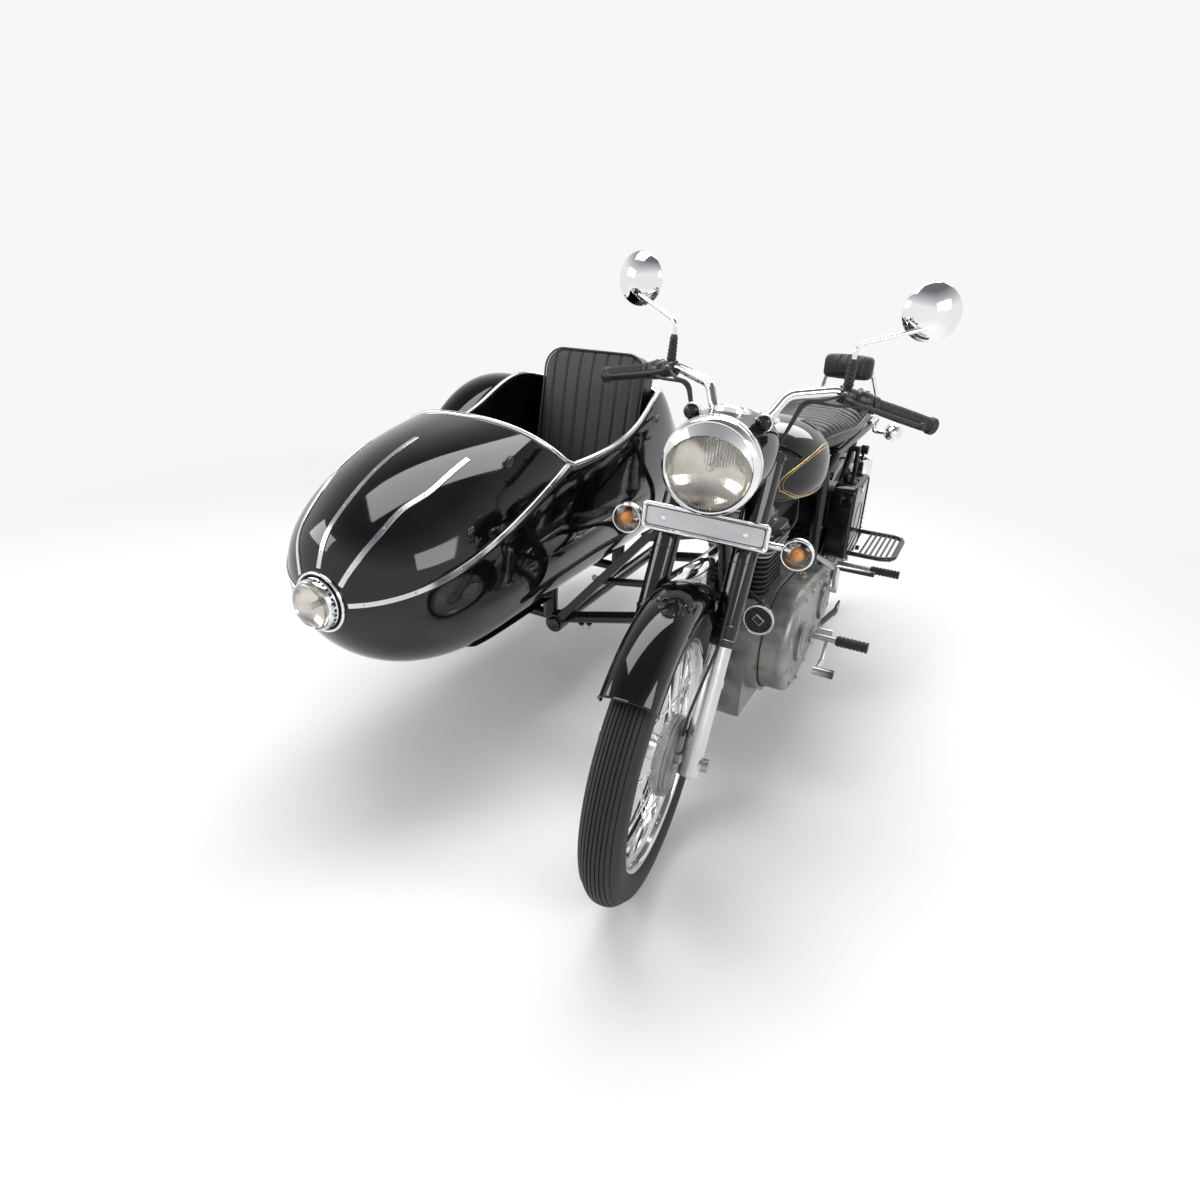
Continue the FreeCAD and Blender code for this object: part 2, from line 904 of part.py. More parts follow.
def fork_shrouds():
    """Covers of the upper fork legs, the lamp ears above the lower yoke, and the legs' caps."""
    pieces = []
    for side in (-1, 1):
        x = side * fork_half_spacing
        pieces.append(rod(at(x, 0, slider_length + air_gap), at(x, 0, shroud_top - air_gap), shroud_radius))
        ear_low = shroud_top + yoke_thickness + air_gap
        pieces.append(rod(at(x, 0, ear_low), at(x, 0, upper_yoke_z - air_gap), ear_radius))
        cap_low = upper_yoke_z + yoke_thickness + air_gap
        pieces.append(rod(at(x, 0, cap_low), at(x, 0, cap_low + yoke_thickness * HALF), slider_radius * HALF))
    return rake_back(Part.makeCompound(pieces))


def yoke(low):
    """Bridge between the two legs with a nose round the stem."""
    face_points = [
        Vector(-fork_half_spacing, -shroud_radius - yoke_depth_margin, low),
        Vector(fork_half_spacing, -shroud_radius - yoke_depth_margin, low),
        Vector(fork_half_spacing + shroud_radius + yoke_depth_margin, 0, low),
        Vector(fork_half_spacing, shroud_radius + yoke_depth_margin, low),
        Vector(stem_radius * 2, stem_offset + stem_radius * 2, low),
        Vector(-stem_radius * 2, stem_offset + stem_radius * 2, low),
        Vector(-fork_half_spacing, shroud_radius + yoke_depth_margin, low),
        Vector(-fork_half_spacing - shroud_radius - yoke_depth_margin, 0, low),
    ]
    plate = polygon_face(face_points).extrude(Z_AXIS * yoke_thickness)
    upright = [e for e in plate.Edges if abs(e.tangentAt(e.FirstParameter).z) > HALF]
    return plate.makeFillet(yoke_depth_margin, upright)


def fork_yokes():
    """Both yokes and the steering stem, with the two bar clamps."""
    stem = rod(at(0, stem_offset, shroud_top), at(0, stem_offset, upper_yoke_z + yoke_thickness), stem_radius)
    whole = fuse([yoke(shroud_top), yoke(upper_yoke_z), stem])
    return rake_back(whole)


def front_axle_bar():
    """Axle through both sliders with a nut at each end, and the brake plate that closes the drum."""
    bar = rod(at(-front_axle_half_length, 0, 0), at(front_axle_half_length, 0, 0), axle_radius)
    inner = fork_half_spacing + slider_radius + running_gap + air_gap
    nuts = []
    for side in (-1, 1):
        nuts.append(rod(at(side * inner, 0, 0), at(side * (inner + axle_nut_length), 0, 0), axle_nut_radius))
        spacer_in = hub_half_width + brake_plate_gap
        spacer_out = fork_half_spacing - slider_radius - air_gap
        nuts.append(rod(at(side * spacer_in, 0, 0), at(side * spacer_out, 0, 0), axle_nut_radius))
    plate_x = hub_half_width - flange_width + brake_plate_gap
    plate = rod(at(plate_x, 0, 0), at(plate_x + brake_plate_width, 0, 0), drum_radius * BRAKE_PLATE_SHARE)
    arm = block(
        at(plate_x + brake_plate_width * HALF, -brake_arm_width * HALF, 0),
        at(plate_x + brake_plate_width + brake_arm_width * HALF, brake_arm_width * HALF, brake_arm_length),
    )
    whole = fuse([bar, plate, arm] + nuts)
    return rake_back(whole)


# Mudguards

def guard_profile(radius, half_width, crown, skirt):
    """Open channel section: crowned top and short skirts, as outer and inner outlines joined."""
    inner_radius = radius
    outer = [
        (-half_width, inner_radius - skirt),
        (-half_width, inner_radius + crown * GUARD_SHOULDER_SHARE),
        (-half_width * GUARD_FLAT_SHARE, inner_radius + crown),
        (half_width * GUARD_FLAT_SHARE, inner_radius + crown),
        (half_width, inner_radius + crown * GUARD_SHOULDER_SHARE),
        (half_width, inner_radius - skirt),
    ]
    inside = half_width - guard_wall
    inner = [
        (inside, inner_radius - skirt),
        (inside, inner_radius + crown * GUARD_SHOULDER_SHARE - guard_wall),
        (inside * GUARD_FLAT_SHARE, inner_radius + crown - guard_wall),
        (-inside * GUARD_FLAT_SHARE, inner_radius + crown - guard_wall),
        (-inside, inner_radius + crown * GUARD_SHOULDER_SHARE - guard_wall),
        (-inside, inner_radius - skirt),
    ]
    return outer + inner


def front_mudguard():
    """Deep-skirted front mudguard cut clear of the fork legs, with its rear stays and bridge."""
    centre = Vector(0, 0, 0)
    profile = guard_profile(front_guard_radius, front_guard_half_width, front_guard_crown, front_guard_skirt)
    guard = arc_sweep_section(profile, centre, front_guard_start_deg, front_guard_end_deg)
    guard.translate(front_axle)
    stays = []
    for side in (-1, 1):
        outer = front_guard_half_width + stay_radius * HALF
        low = on_arc(front_axle, front_guard_radius - front_guard_skirt * HALF, rear_stay_deg, side * outer)
        leg = rake_back(Part.makeSphere(
            stay_radius,
            at(side * fork_half_spacing, slider_collar_radius, stay_boss_height),
        ))
        root = leg.BoundBox.Center
        stays.append(pipe([root, Vector(side * outer, root.y + stay_elbow, root.z), low], stay_radius))
        top = on_arc(front_axle, front_guard_radius, FORK_ANGLE_DEG, side * front_guard_half_width)
        fork_point = on_arc(
            front_axle,
            front_guard_radius,
            FORK_ANGLE_DEG,
            side * (fork_half_spacing - slider_radius),
        )
        stays.append(rod(top - X_AXIS * (side * guard_wall), fork_point, guard_lug_radius))
    return fuse([guard] + stays)


def rear_mudguard():
    profile = guard_profile(rear_guard_radius, rear_guard_half_width, rear_guard_crown, rear_guard_skirt)
    guard = arc_sweep_section(profile, rear_axle, rear_guard_start_deg, rear_guard_end_deg)
    stays = []
    for side in (-1, 1):
        outer = side * (rear_guard_half_width + stay_radius * HALF)
        low = on_arc(rear_axle, rear_guard_radius - rear_guard_skirt * HALF, rear_guard_stay_deg, outer)
        high = Vector(side * (rail_half - rail_radius), shock_top_y, rail_z - rail_radius)
        stays.append(pipe([low, low + (high - low) * HALF + Vector(0, 0, stay_radius), high], stay_radius))
    return fuse([guard] + stays)


def sidecar_mudguard():
    """Rounded cover over the third wheel with its stays to the sidecar rail."""
    centre = side_axle + Z_AXIS * side_guard_rise
    radius = side_guard_radius
    profile = guard_profile(radius, side_guard_half_width, side_guard_crown, side_guard_skirt)
    guard = arc_sweep_section(profile, centre, side_guard_start_deg, side_guard_end_deg)
    cheek = [
        (-side_guard_half_width, radius - side_guard_skirt),
        (-side_guard_half_width, radius - cheek_depth),
        (-side_guard_half_width + guard_wall, radius - cheek_depth),
        (-side_guard_half_width + guard_wall, radius - side_guard_skirt),
    ]
    inner_cheek = [(-x, r) for x, r in cheek]
    plates = [
        arc_sweep_section(c, centre, side_guard_start_deg, side_guard_end_deg)
        for c in (cheek, inner_cheek)
    ]
    stays = []
    rail_x = sidecar_centre_x - side_rail_half
    for angle in (side_stay_deg, HALF_TURN_DEG - side_stay_deg):
        top = on_arc(
            centre,
            radius - cheek_depth * STAY_TOP_SHARE,
            angle,
            side_guard_half_width - guard_wall * HALF,
        )
        foot = Vector(rail_x - side_rail_radius * HALF, top.y, side_rail_z)
        elbow = Vector(top.x + side_guard_half_width * HALF, top.y, foot.z + (top.z - foot.z) * HALF * HALF)
        stays.append(pipe([top, elbow, foot], stay_radius * 2))
    return fuse([guard] + plates + stays)


# Headlamp, nacelle and front lamps

def nacelle():
    """Headlamp casing drawn back over the fork top, open underneath for the yokes and the stem."""
    sections = []
    for along, width, low, high in NACELLE_SHARES:
        sections.append(oval_wire(
            lamp_front_y + lamp_rim_depth + nacelle_length * along,
            nacelle_half_width * width,
            nacelle_low_z + nacelle_height * low,
            nacelle_low_z + nacelle_height * high,
            ROUND_POWER, ROUND_POWER,
        ))
    outer = Part.makeLoft(sections, True, False)
    room = nacelle_void()
    return outer.cut(room)


def nacelle_void():
    """Room under the casing for the ears, the upper yoke and the steering stem."""
    low = at(-fork_half_spacing - ear_radius - nacelle_wall, -shroud_radius * 2, shroud_top)
    high = at(fork_half_spacing + ear_radius + nacelle_wall, stem_offset + stem_radius * 4,
              upper_yoke_z + yoke_thickness + nacelle_wall)
    return rake_back(block(low, high))


def headlamp():
    """Chromed rim with a short peak, and the bulged lens in it."""
    profile = [
        (0, lamp_lens_radius),
        (0, lamp_rim_radius - LAMP_ROLL_SHARE * lamp_rim_depth),
        (lamp_rim_depth * LAMP_ROLL_SHARE, lamp_rim_radius),
        (lamp_rim_depth * HALF, lamp_rim_radius),
        (lamp_rim_depth * HALF, lamp_rim_radius - nacelle_wall * HALF),
        (lamp_rim_depth - air_gap, lamp_rim_radius - nacelle_wall * HALF),
        (lamp_rim_depth - air_gap, lamp_lens_radius),
    ]
    return lathe(profile, at(0, lamp_front_y, lamp_z), Y_AXIS)


def bulged_lens(radius, bulge, depth, centre, direction):
    """Lens with a spherical front, its flat back further along the direction."""
    sphere_radius = (radius ** 2 + bulge ** 2) / (2 * bulge)
    rim_point = Vector(radius, 0, 0)
    arc = Part.Arc(Vector(0, 0, -bulge), Vector(*lens_mid(sphere_radius, radius, bulge)), rim_point).toShape()
    edges = [
        arc,
        Part.makeLine(rim_point, Vector(radius, 0, depth)),
        Part.makeLine(Vector(radius, 0, depth), Vector(0, 0, depth)),
        Part.makeLine(Vector(0, 0, depth), Vector(0, 0, -bulge)),
    ]
    solid = Part.Face(Part.Wire(edges)).revolve(Vector(0, 0, 0), Z_AXIS, FULL_TURN_DEG)
    solid.Placement = FreeCAD.Placement(centre, FreeCAD.Rotation(Z_AXIS, direction))
    return solid


def lens_mid(sphere_radius, radius, bulge):
    """Middle point of a lens's front arc in its own section plane."""
    half_angle = HALF * math.asin(radius / sphere_radius)
    x = sphere_radius * math.sin(half_angle)
    z = sphere_radius - bulge - sphere_radius * math.cos(half_angle)
    return x, 0, z


def headlamp_lens():
    centre = at(0, lamp_front_y + nacelle_wall * HALF, lamp_z)
    return bulged_lens(
        lamp_lens_radius - air_gap,
        lamp_lens_bulge,
        lamp_rim_depth - nacelle_wall,
        centre,
        Y_AXIS,
    )


def round_lamp(centre, direction, radius, length, lens_length):
    """Small lamp: a tapering body behind a domed lens."""
    body = [
        (0, 0),
        (0, radius),
        (-length * HALF, radius * LAMP_TAPER_SHARE),
        (-length, radius * LAMP_TAIL_SHARE),
        (-length, 0),
    ]
    lens = [
        (0, 0),
        (0, radius * LENS_SHARE),
        (lens_length * HALF, radius * LENS_SHARE * LENS_TIP_SHARE),
        (lens_length, 0),
    ]
    solid = lathe(body, centre, direction)
    return solid.fuse(lathe(lens, centre, direction))


def pilot_lamps():
    pieces = []
    for side in (-1, 1):
        centre = at(side * pilot_half_spacing, pilot_y, pilot_z)
        pieces.append(round_lamp(centre, -Y_AXIS, pilot_radius, pilot_length, pilot_radius * HALF))
    return Part.makeCompound(pieces)


def front_indicators():
    """Two round lamps on stems from the ears."""
    pieces = []
    for side in (-1, 1):
        centre = at(side * indicator_half_spacing, indicator_y - indicator_length * HALF, indicator_z)
        lamp = round_lamp(centre, -Y_AXIS, indicator_radius, indicator_length, indicator_radius * HALF)
        root_x = side * (fork_half_spacing + shroud_radius + air_gap)
        root = at(root_x, indicator_y, indicator_z)
        stem = rod(root, at(side * indicator_half_spacing, indicator_y, indicator_z), indicator_stem_radius)
        pieces.append(lamp.fuse(stem))
    return Part.makeCompound(pieces)


def front_plate():
    """Blank number plate in a raised frame, on a bracket from the lower yoke."""
    low = at(-plate_half_width, plate_y, plate_low_z)
    high = at(plate_half_width, plate_y + plate_thickness, plate_low_z + plate_height)
    plate = block(low, high)
    corners = [e for e in plate.Edges if abs(e.tangentAt(e.FirstParameter).y) > HALF]
    plate = plate.makeFillet(plate_corner, corners)
    well = block(
        low + Vector(plate_lip, -overrun, plate_lip),
        high - Vector(plate_lip, plate_thickness * HALF, plate_lip),
    )
    plate = plate.cut(well)
    bracket_z = plate_low_z + plate_height * HALF
    yoke_front = rake_back(Part.makeSphere(
        stay_radius,
        at(0, -shroud_radius - yoke_depth_margin, shroud_top + yoke_thickness * HALF),
    ))
    end = yoke_front.BoundBox.Center
    start = at(0, plate_y + plate_thickness * HALF, bracket_z)
    bars = []
    for side in (-1, 1):
        shift = X_AXIS * (side * fork_half_spacing * HALF)
        bars.append(pipe(
            [start + shift, at(0, (start.y + end.y) * HALF, start.z) + shift, end + shift],
            stay_radius,
        ))
    return fuse([plate] + bars)


# Handlebar and its controls

def bar_points(side):
    return [
        at(side * bar_root_half, bar_root_y, bar_root_z),
        at(side * bar_rise_half, bar_rise_y, bar_rise_z),
        at(side * bar_knee_half, bar_knee_y, bar_knee_z),
        at(side * bar_end_half, bar_end_y, bar_end_z),
    ]


def bar_place(side, share):
    """Point and outward direction on the straight end run of the bar."""
    start, end = bar_points(side)[-2:]
    return start + (end - start) * share, (end - start).normalize()


def handlebar():
    """One tube from end to end, seated on two risers on the upper yoke."""
    left = bar_points(1)
    right = bar_points(-1)
    tube = pipe(list(reversed(right)) + left, bar_radius, bar_bend)
    risers = []
    for side in (-1, 1):
        top = at(side * bar_root_half * HALF, bar_root_y, bar_root_z)
        foot = rake_back(Part.makeSphere(
            stay_radius,
            at(side * bar_root_half * HALF, stem_offset * HALF, upper_yoke_z + yoke_thickness + air_gap),
        ))
        risers.append(rod(foot.BoundBox.Center, top, bar_radius * RISER_SHARE))
    return fuse([tube] + risers)


def sleeve(side, share_in, length, radius, bore):
    start, direction = bar_place(side, share_in)
    outer = rod(start, start + direction * length, radius)
    return outer.cut(rod(start - direction * overrun, start + direction * (length + overrun), bore))


def grips():
    """Ribbed rubber grips with a collar inboard and a cap that closes each bar end."""
    pieces = []
    bore = bar_radius + running_gap
    for side in (-1, 1):
        end, direction = bar_place(side, 1)
        start = end - direction * grip_length
        body = rod(start, end + direction * grip_cap_length, grip_radius)
        collar = rod(start - direction * grip_cap_length, start, grip_cap_radius)
        cap = rod(end, end + direction * grip_cap_length, grip_cap_radius)
        hole = rod(start - direction * overrun, end, bore)
        pieces.append(fuse([body, collar, cap]).cut(hole))
    return Part.makeCompound(pieces)


def bar_controls():
    """Lever perches, ball-ended levers and the two switch housings."""
    pieces = []
    bore = bar_radius + running_gap
    for side in (-1, 1):
        perch = sleeve(side, PERCH_SHARE, perch_length, perch_radius, bore)
        switch = sleeve(side, SWITCH_SHARE, switch_length, switch_radius, bore)
        at_perch, direction = bar_place(side, PERCH_SHARE)
        root = at_perch + direction * (perch_length * HALF) - Y_AXIS * (perch_radius - lever_radius)
        knee = root - Y_AXIS * lever_reach + direction * (perch_length * HALF)
        end, _ = bar_place(side, LEVER_TIP_SHARE)
        tip = end - Y_AXIS * lever_reach
        lever = pipe([root, knee, tip], lever_radius)
        ball = Part.makeSphere(lever_ball_radius, tip)
        pieces.append(fuse([perch, lever, ball]))
        pieces.append(switch)
    return Part.makeCompound(pieces)


def mirrors():
    """Round mirrors on cranked rods that rise from the lever perches."""
    pieces = []
    for side in (-1, 1):
        at_perch, direction = bar_place(side, PERCH_SHARE)
        foot = at_perch + direction * (perch_length * HALF) + Z_AXIS * (perch_radius + air_gap)
        neck = foot + Z_AXIS * mirror_boot_length
        head = at(side * mirror_half, mirror_y, mirror_z)
        elbow = neck + Z_AXIS * (mirror_boot_length * HALF)
        facing = Vector(
            -side * math.sin(math.radians(mirror_turn_deg)),
            math.cos(math.radians(mirror_turn_deg)),
            0,
        )
        back = head - facing * mirror_depth
        boot = rod(foot, neck, mirror_boot_radius)
        stem = pipe(
            [
                neck - Z_AXIS * mirror_rod_radius,
                elbow,
                back + Vector(-side * mirror_rod_radius, 0, -mirror_radius * HALF),
            ],
            mirror_rod_radius,
        )
        dish = [
            (0, 0),
            (0, mirror_radius),
            (-mirror_depth * HALF, mirror_radius),
            (-mirror_depth * DISH_SHARE, mirror_radius * HALF),
            (-mirror_depth * 2, mirror_rod_radius),
            (-mirror_depth * 2, 0),
        ]
        pieces.append(fuse([boot, stem, lathe(dish, head, facing)]))
    return Part.makeCompound(pieces)


def control_cables():
    """Four cables from the levers and switches down behind the headlamp casing."""
    pieces = []
    for side in (-1, 1):
        for along in CABLE_SHARES:
            start = bar_place(side, along)[0] - Y_AXIS * (perch_radius + cable_radius)
            inner = at(
                side * (nacelle_half_width + cable_radius * 4 + cable_spread * along),
                bar_rise_y - cable_bow,
                bar_rise_z,
            )
            low = rake_back(Part.makeSphere(
                stay_radius,
                at(
                    side * (fork_half_spacing - cable_radius * 4 * along),
                    ear_radius + cable_radius + air_gap,
                    upper_yoke_z + yoke_thickness * HALF,
                ),
            ))
            end = low.BoundBox.Center
            middle = (start + inner) * HALF - Y_AXIS * cable_bow
            pieces.append(pipe([start, middle, inner, end], cable_radius, cable_bow))
    return pieces[0].multiFuse(pieces[1:])


# Frame, swinging arm and suspension

def on_steering_axis(z):
    """Point of the steering axis at a height."""
    return at(0, steer_foot.y + z * math.tan(rake), z)


def main_frame():
    """Head tube, single top and down tubes, seat loop, rear rails and the swinging arm's pivot."""
    head = rod(at(0, stem_offset, head_low), at(0, stem_offset, head_high), head_radius)
    bore = rod(at(0, stem_offset, head_low - overrun), at(0, stem_offset, head_high + overrun),
               stem_radius + head_bore_gap)
    head = rake_back(head)
    bore = rake_back(bore)
    top_end = at(0, top_tube_rear_y, top_tube_rear_z)
    pieces = [
        head,
        rod(on_steering_axis(top_tube_front_z), top_end, main_tube_radius),
        rod(on_steering_axis(down_tube_front_z), at(0, down_tube_low_y, down_tube_low_z), main_tube_radius),
        rod(at(-pivot_half, seat_tube_y, pivot_z), at(pivot_half, seat_tube_y, pivot_z), pivot_tube_radius),
    ]
    plate_top = down_tube_low_z + main_tube_radius
    pieces.append(block(
        at(-engine_plate_half, down_tube_low_y - main_tube_radius, down_tube_low_z - engine_plate_height),
        at(engine_plate_half, down_tube_low_y + main_tube_radius, plate_top)))
    for side in (-1, 1):
        low = at(side * seat_tube_half, seat_tube_y, seat_tube_low_z)
        high = at(side * seat_tube_half, seat_tube_y, rail_z)
        pieces.append(pipe(
            [low, high - Z_AXIS * frame_bend, top_end + X_AXIS * (side * main_tube_radius)],
            seat_tube_radius,
        ))
        rail = [
            at(side * seat_tube_half, seat_tube_y, rail_z - frame_bend),
            at(side * rail_half, rail_front_y, rail_z),
            at(side * rail_half, rail_end_y, rail_z),
        ]
        pieces.append(pipe(rail, rail_radius))
        brace_top = at(side * rail_half, shock_top_y - frame_bend, rail_z)
        pieces.append(rod(at(side * seat_tube_half, seat_tube_y, pivot_z), brace_top, brace_radius))
        top_pin = at(side * (rail_half - rail_radius), shock_top_y, shock_top_z)
        pieces.append(rod(top_pin, top_pin + X_AXIS * (side * shock_pin_length), axle_radius))
        gusset = [
            (shock_top_y - frame_bend, rail_z),
            (shock_top_y + frame_bend, rail_z),
            (shock_top_y + axle_radius, shock_top_z - axle_radius),
            (shock_top_y - axle_radius, shock_top_z - axle_radius),
        ]
        inner = side * (rail_half - rail_radius)
        pieces.append(side_prism(gusset, inner, inner + side * rail_radius * HALF))
    for y in (rail_front_y + frame_bend, rail_end_y - rail_radius):
        pieces.append(rod(at(-rail_half, y, rail_z), at(rail_half, y, rail_z), rail_radius))
    low_cross = at(-seat_tube_half, seat_tube_y, seat_tube_low_z)
    pieces.append(rod(low_cross, mirror_point(low_cross), seat_tube_radius))
    return fuse(pieces).cut(bore)


def mirror_point(point):
    return Vector(-point.x, point.y, point.z)


def swinging_arm():
    """Two arms on the pivot tube with the axle's end plates and the lower pins of the shock absorbers."""
    pieces = []
    pivot_y = seat_tube_y + pivot_tube_radius + arm_radius * 2
    hub_x = arm_half + arm_radius
    cross = rod(at(-hub_x, pivot_y, pivot_z), at(hub_x, pivot_y, pivot_z), arm_radius)
    pieces.append(cross)
    for side in (-1, 1):
        pieces.append(rod(
            at(side * arm_half, pivot_y, pivot_z),
            at(side * arm_half, wheelbase, wheel_radius),
            arm_radius,
        ))
        end = at(side * (arm_half - arm_plate * HALF), wheelbase, wheel_radius)
        pieces.append(rod(end, end + X_AXIS * (side * arm_plate), arm_radius * ARM_END_SHARE))
        pin = at(side * arm_half, wheelbase, shock_low_z)
        pieces.append(rod(
            pin,
            at(side * (arm_half + shock_pin_length + arm_radius), wheelbase, shock_low_z),
            axle_radius,
        ))
        lug = [
            (wheelbase - arm_radius, wheel_radius),
            (wheelbase + arm_radius, wheel_radius),
            (wheelbase + axle_radius * 2, shock_low_z + axle_radius),
            (wheelbase - axle_radius * 2, shock_low_z + axle_radius),
        ]
        pieces.append(side_prism(
            lug,
            side * (arm_half - arm_plate * HALF),
            side * (arm_half + arm_plate * HALF),
        ))
    lug_low = at(-pivot_half, seat_tube_y, pivot_z)
    link = [
        (seat_tube_y + pivot_tube_radius + air_gap, pivot_z - arm_radius * HALF),
        (pivot_y, pivot_z - arm_radius * HALF),
        (pivot_y, pivot_z + arm_radius * HALF),
        (seat_tube_y + pivot_tube_radius + air_gap, pivot_z + arm_radius * HALF),
    ]
    pieces.append(side_prism(link, lug_low.x, pivot_half))
    hole = rod(
        at(-overrun - hub_x, wheelbase, wheel_radius),
        at(overrun + hub_x, wheelbase, wheel_radius),
        axle_radius,
    )
    return fuse(pieces).cut(hole)


def rear_axle_bar():
    bar = rod(
        rear_axle - X_AXIS * rear_axle_half_length,
        rear_axle + X_AXIS * rear_axle_half_length,
        axle_radius,
    )
    pieces = [bar]
    for side in (-1, 1):
        outer = rear_axle + X_AXIS * (side * (arm_half + arm_plate * HALF + air_gap))
        pieces.append(rod(outer, outer + X_AXIS * (side * axle_nut_length), axle_nut_radius))
        reach = chain_line + sprocket_width if side > 0 else hub_half_width + brake_plate_gap
        start = rear_axle + X_AXIS * (side * reach)
        end = rear_axle + X_AXIS * (side * (arm_half - arm_plate * HALF - air_gap))
        pieces.append(rod(start, end, axle_nut_radius))
    return fuse(pieces)


def shock_absorbers():
    """Shrouded units with a bare coil between the shroud and the damper body."""
    pieces = []
    for side in (-1, 1):
        x = side * shock_half
        low = at(x, wheelbase, shock_low_z)
        high = at(x, shock_top_y, shock_top_z)
        axis = (high - low).normalize()
        length = (high - low).Length
        profile = [(0, 0), (0, shock_rod_radius), (length * SHOCK_BODY_SHARES[0], shock_rod_radius)]
        profile += [
            (length * SHOCK_BODY_SHARES[0], shock_body_radius),
            (length * SHOCK_BODY_SHARES[1], shock_body_radius),
        ]
        coil_low = length * SHOCK_BODY_SHARES[1]
        coil_high = length * SHOCK_BODY_SHARES[2]
        pitch = (coil_high - coil_low) / shock_coil_count
        for i in range(shock_coil_count):
            base = coil_low + pitch * i
            profile += [
                (base + pitch * HALF * HALF, shock_coil_radius),
                (base + pitch * HALF, shock_coil_radius),
                (base + pitch * 3 * HALF * HALF, shock_body_radius),
                (base + pitch, shock_body_radius),
            ]
        profile += [(coil_high, shock_shroud_radius), (length * SHOCK_BODY_SHARES[3], shock_shroud_radius)]
        profile += [
            (length * SHOCK_BODY_SHARES[3], shock_rod_radius),
            (length, shock_rod_radius),
            (length, 0),
        ]
        unit = lathe(profile, low, axis)
        eyes = []
        for end in (low, high):
            start = end - X_AXIS * (shock_eye_width * HALF)
            eyes.append(rod(start, start + X_AXIS * shock_eye_width, shock_eye_radius))
        unit = fuse([unit] + eyes)
        for end in (low, high):
            start = end - X_AXIS * overrun
            unit = unit.cut(rod(start, start + X_AXIS * (2 * overrun), axle_radius + air_gap))
        pieces.append(unit)
    return Part.makeCompound(pieces)


# Engine

def crankcase():
    """Solid block of the crankcase and gearbox, with the sump under it."""
    crank = (crank_y, crank_z)
    gearbox = (gearbox_y, gearbox_z)
    case = belt(crank, crank_radius, gearbox, gearbox_radius, -case_half_width, case_half_width)
    sump = block(at(-case_half_width * SUMP_SHARE, crank_y - sump_length * HALF, sump_low_z),
                 at(case_half_width * SUMP_SHARE, crank_y + sump_length * HALF, crank_z))
    deck = block(at(-fin_half_width, cylinder_y - fin_half_length, crank_z),
                 at(fin_half_width, cylinder_y + fin_half_length, barrel_low_z))
    room = belt(
        (wheelbase, wheel_radius),
        sprocket_radius + sprocket_gap + chain_height + chain_case_gap,
        gearbox,
        engine_sprocket_radius + sprocket_gap + chain_height + chain_case_gap,
        chain_line - chain_width * HALF - chain_case_gap,
        chain_line + chain_width * HALF + chain_case_gap,
    )
    drive = rod(at(chain_line - chain_width, gearbox_y, gearbox_z), at(case_half_width, gearbox_y, gearbox_z),
                engine_sprocket_radius)
    return fuse([fuse([case, sump, deck]).cut(room), drive])


def engine_cover(side, depth, shrink):
    """Domed side cover that follows the case's outline."""
    x = side * (case_half_width + air_gap)
    cover = belt((crank_y, crank_z), crank_radius - shrink, (gearbox_y, gearbox_z), gearbox_radius - shrink,
                 x, x + side * depth)
    outer = [e for e in cover.Edges if abs(e.BoundBox.XMax - e.BoundBox.XMin) < air_gap
             and abs(e.BoundBox.Center.x - (x + side * depth)) < air_gap]
    return cover.makeFillet(cover_fillet, outer)


def left_cover():
    """Primary chaincase with a round clutch dome and the gear and kick spindles."""
    cover = engine_cover(1, cover_left_depth, cover_inset)
    outer_x = case_half_width + air_gap + cover_left_depth
    dome = rod(
        at(outer_x - cover_fillet, gearbox_y, gearbox_z),
        at(outer_x + dome_rise, gearbox_y, gearbox_z),
        dome_radius,
    )
    ring = rod(
        at(outer_x - cover_fillet, crank_y, crank_z),
        at(outer_x + dome_rise, crank_y, crank_z),
        dome_radius,
    )
    return fuse([cover, dome, ring])


def right_cover():
    """Bright timing cover with its raised round end."""
    cover = engine_cover(-1, cover_right_depth, cover_inset * 2)
    outer_x = -(case_half_width + air_gap + cover_right_depth)
    ring = rod(
        at(outer_x + cover_fillet, crank_y, crank_z),
        at(outer_x - dome_rise, crank_y, crank_z),
        dome_radius,
    )
    return fuse([cover, ring])


def fin_plate(half_width, half_length, low):
    """One rounded cooling fin."""
    plate = block(
        at(-half_width, cylinder_y - half_length, low),
        at(half_width, cylinder_y + half_length, low + fin_thickness),
    )
    upright = [e for e in plate.Edges if abs(e.tangentAt(e.FirstParameter).z) > HALF]
    return plate.makeFillet(fin_corner, upright)


def cylinder_barrel():
    """Finned iron barrel."""
    top = barrel_low_z + barrel_fin_count * fin_pitch
    core = rod(at(0, cylinder_y, barrel_low_z), at(0, cylinder_y, top), barrel_radius)
    fins = []
    for i in range(barrel_fin_count):
        fins.append(fin_plate(fin_half_width, fin_half_length, barrel_low_z + (i + HALF) * fin_pitch))
    return fuse([core] + fins)


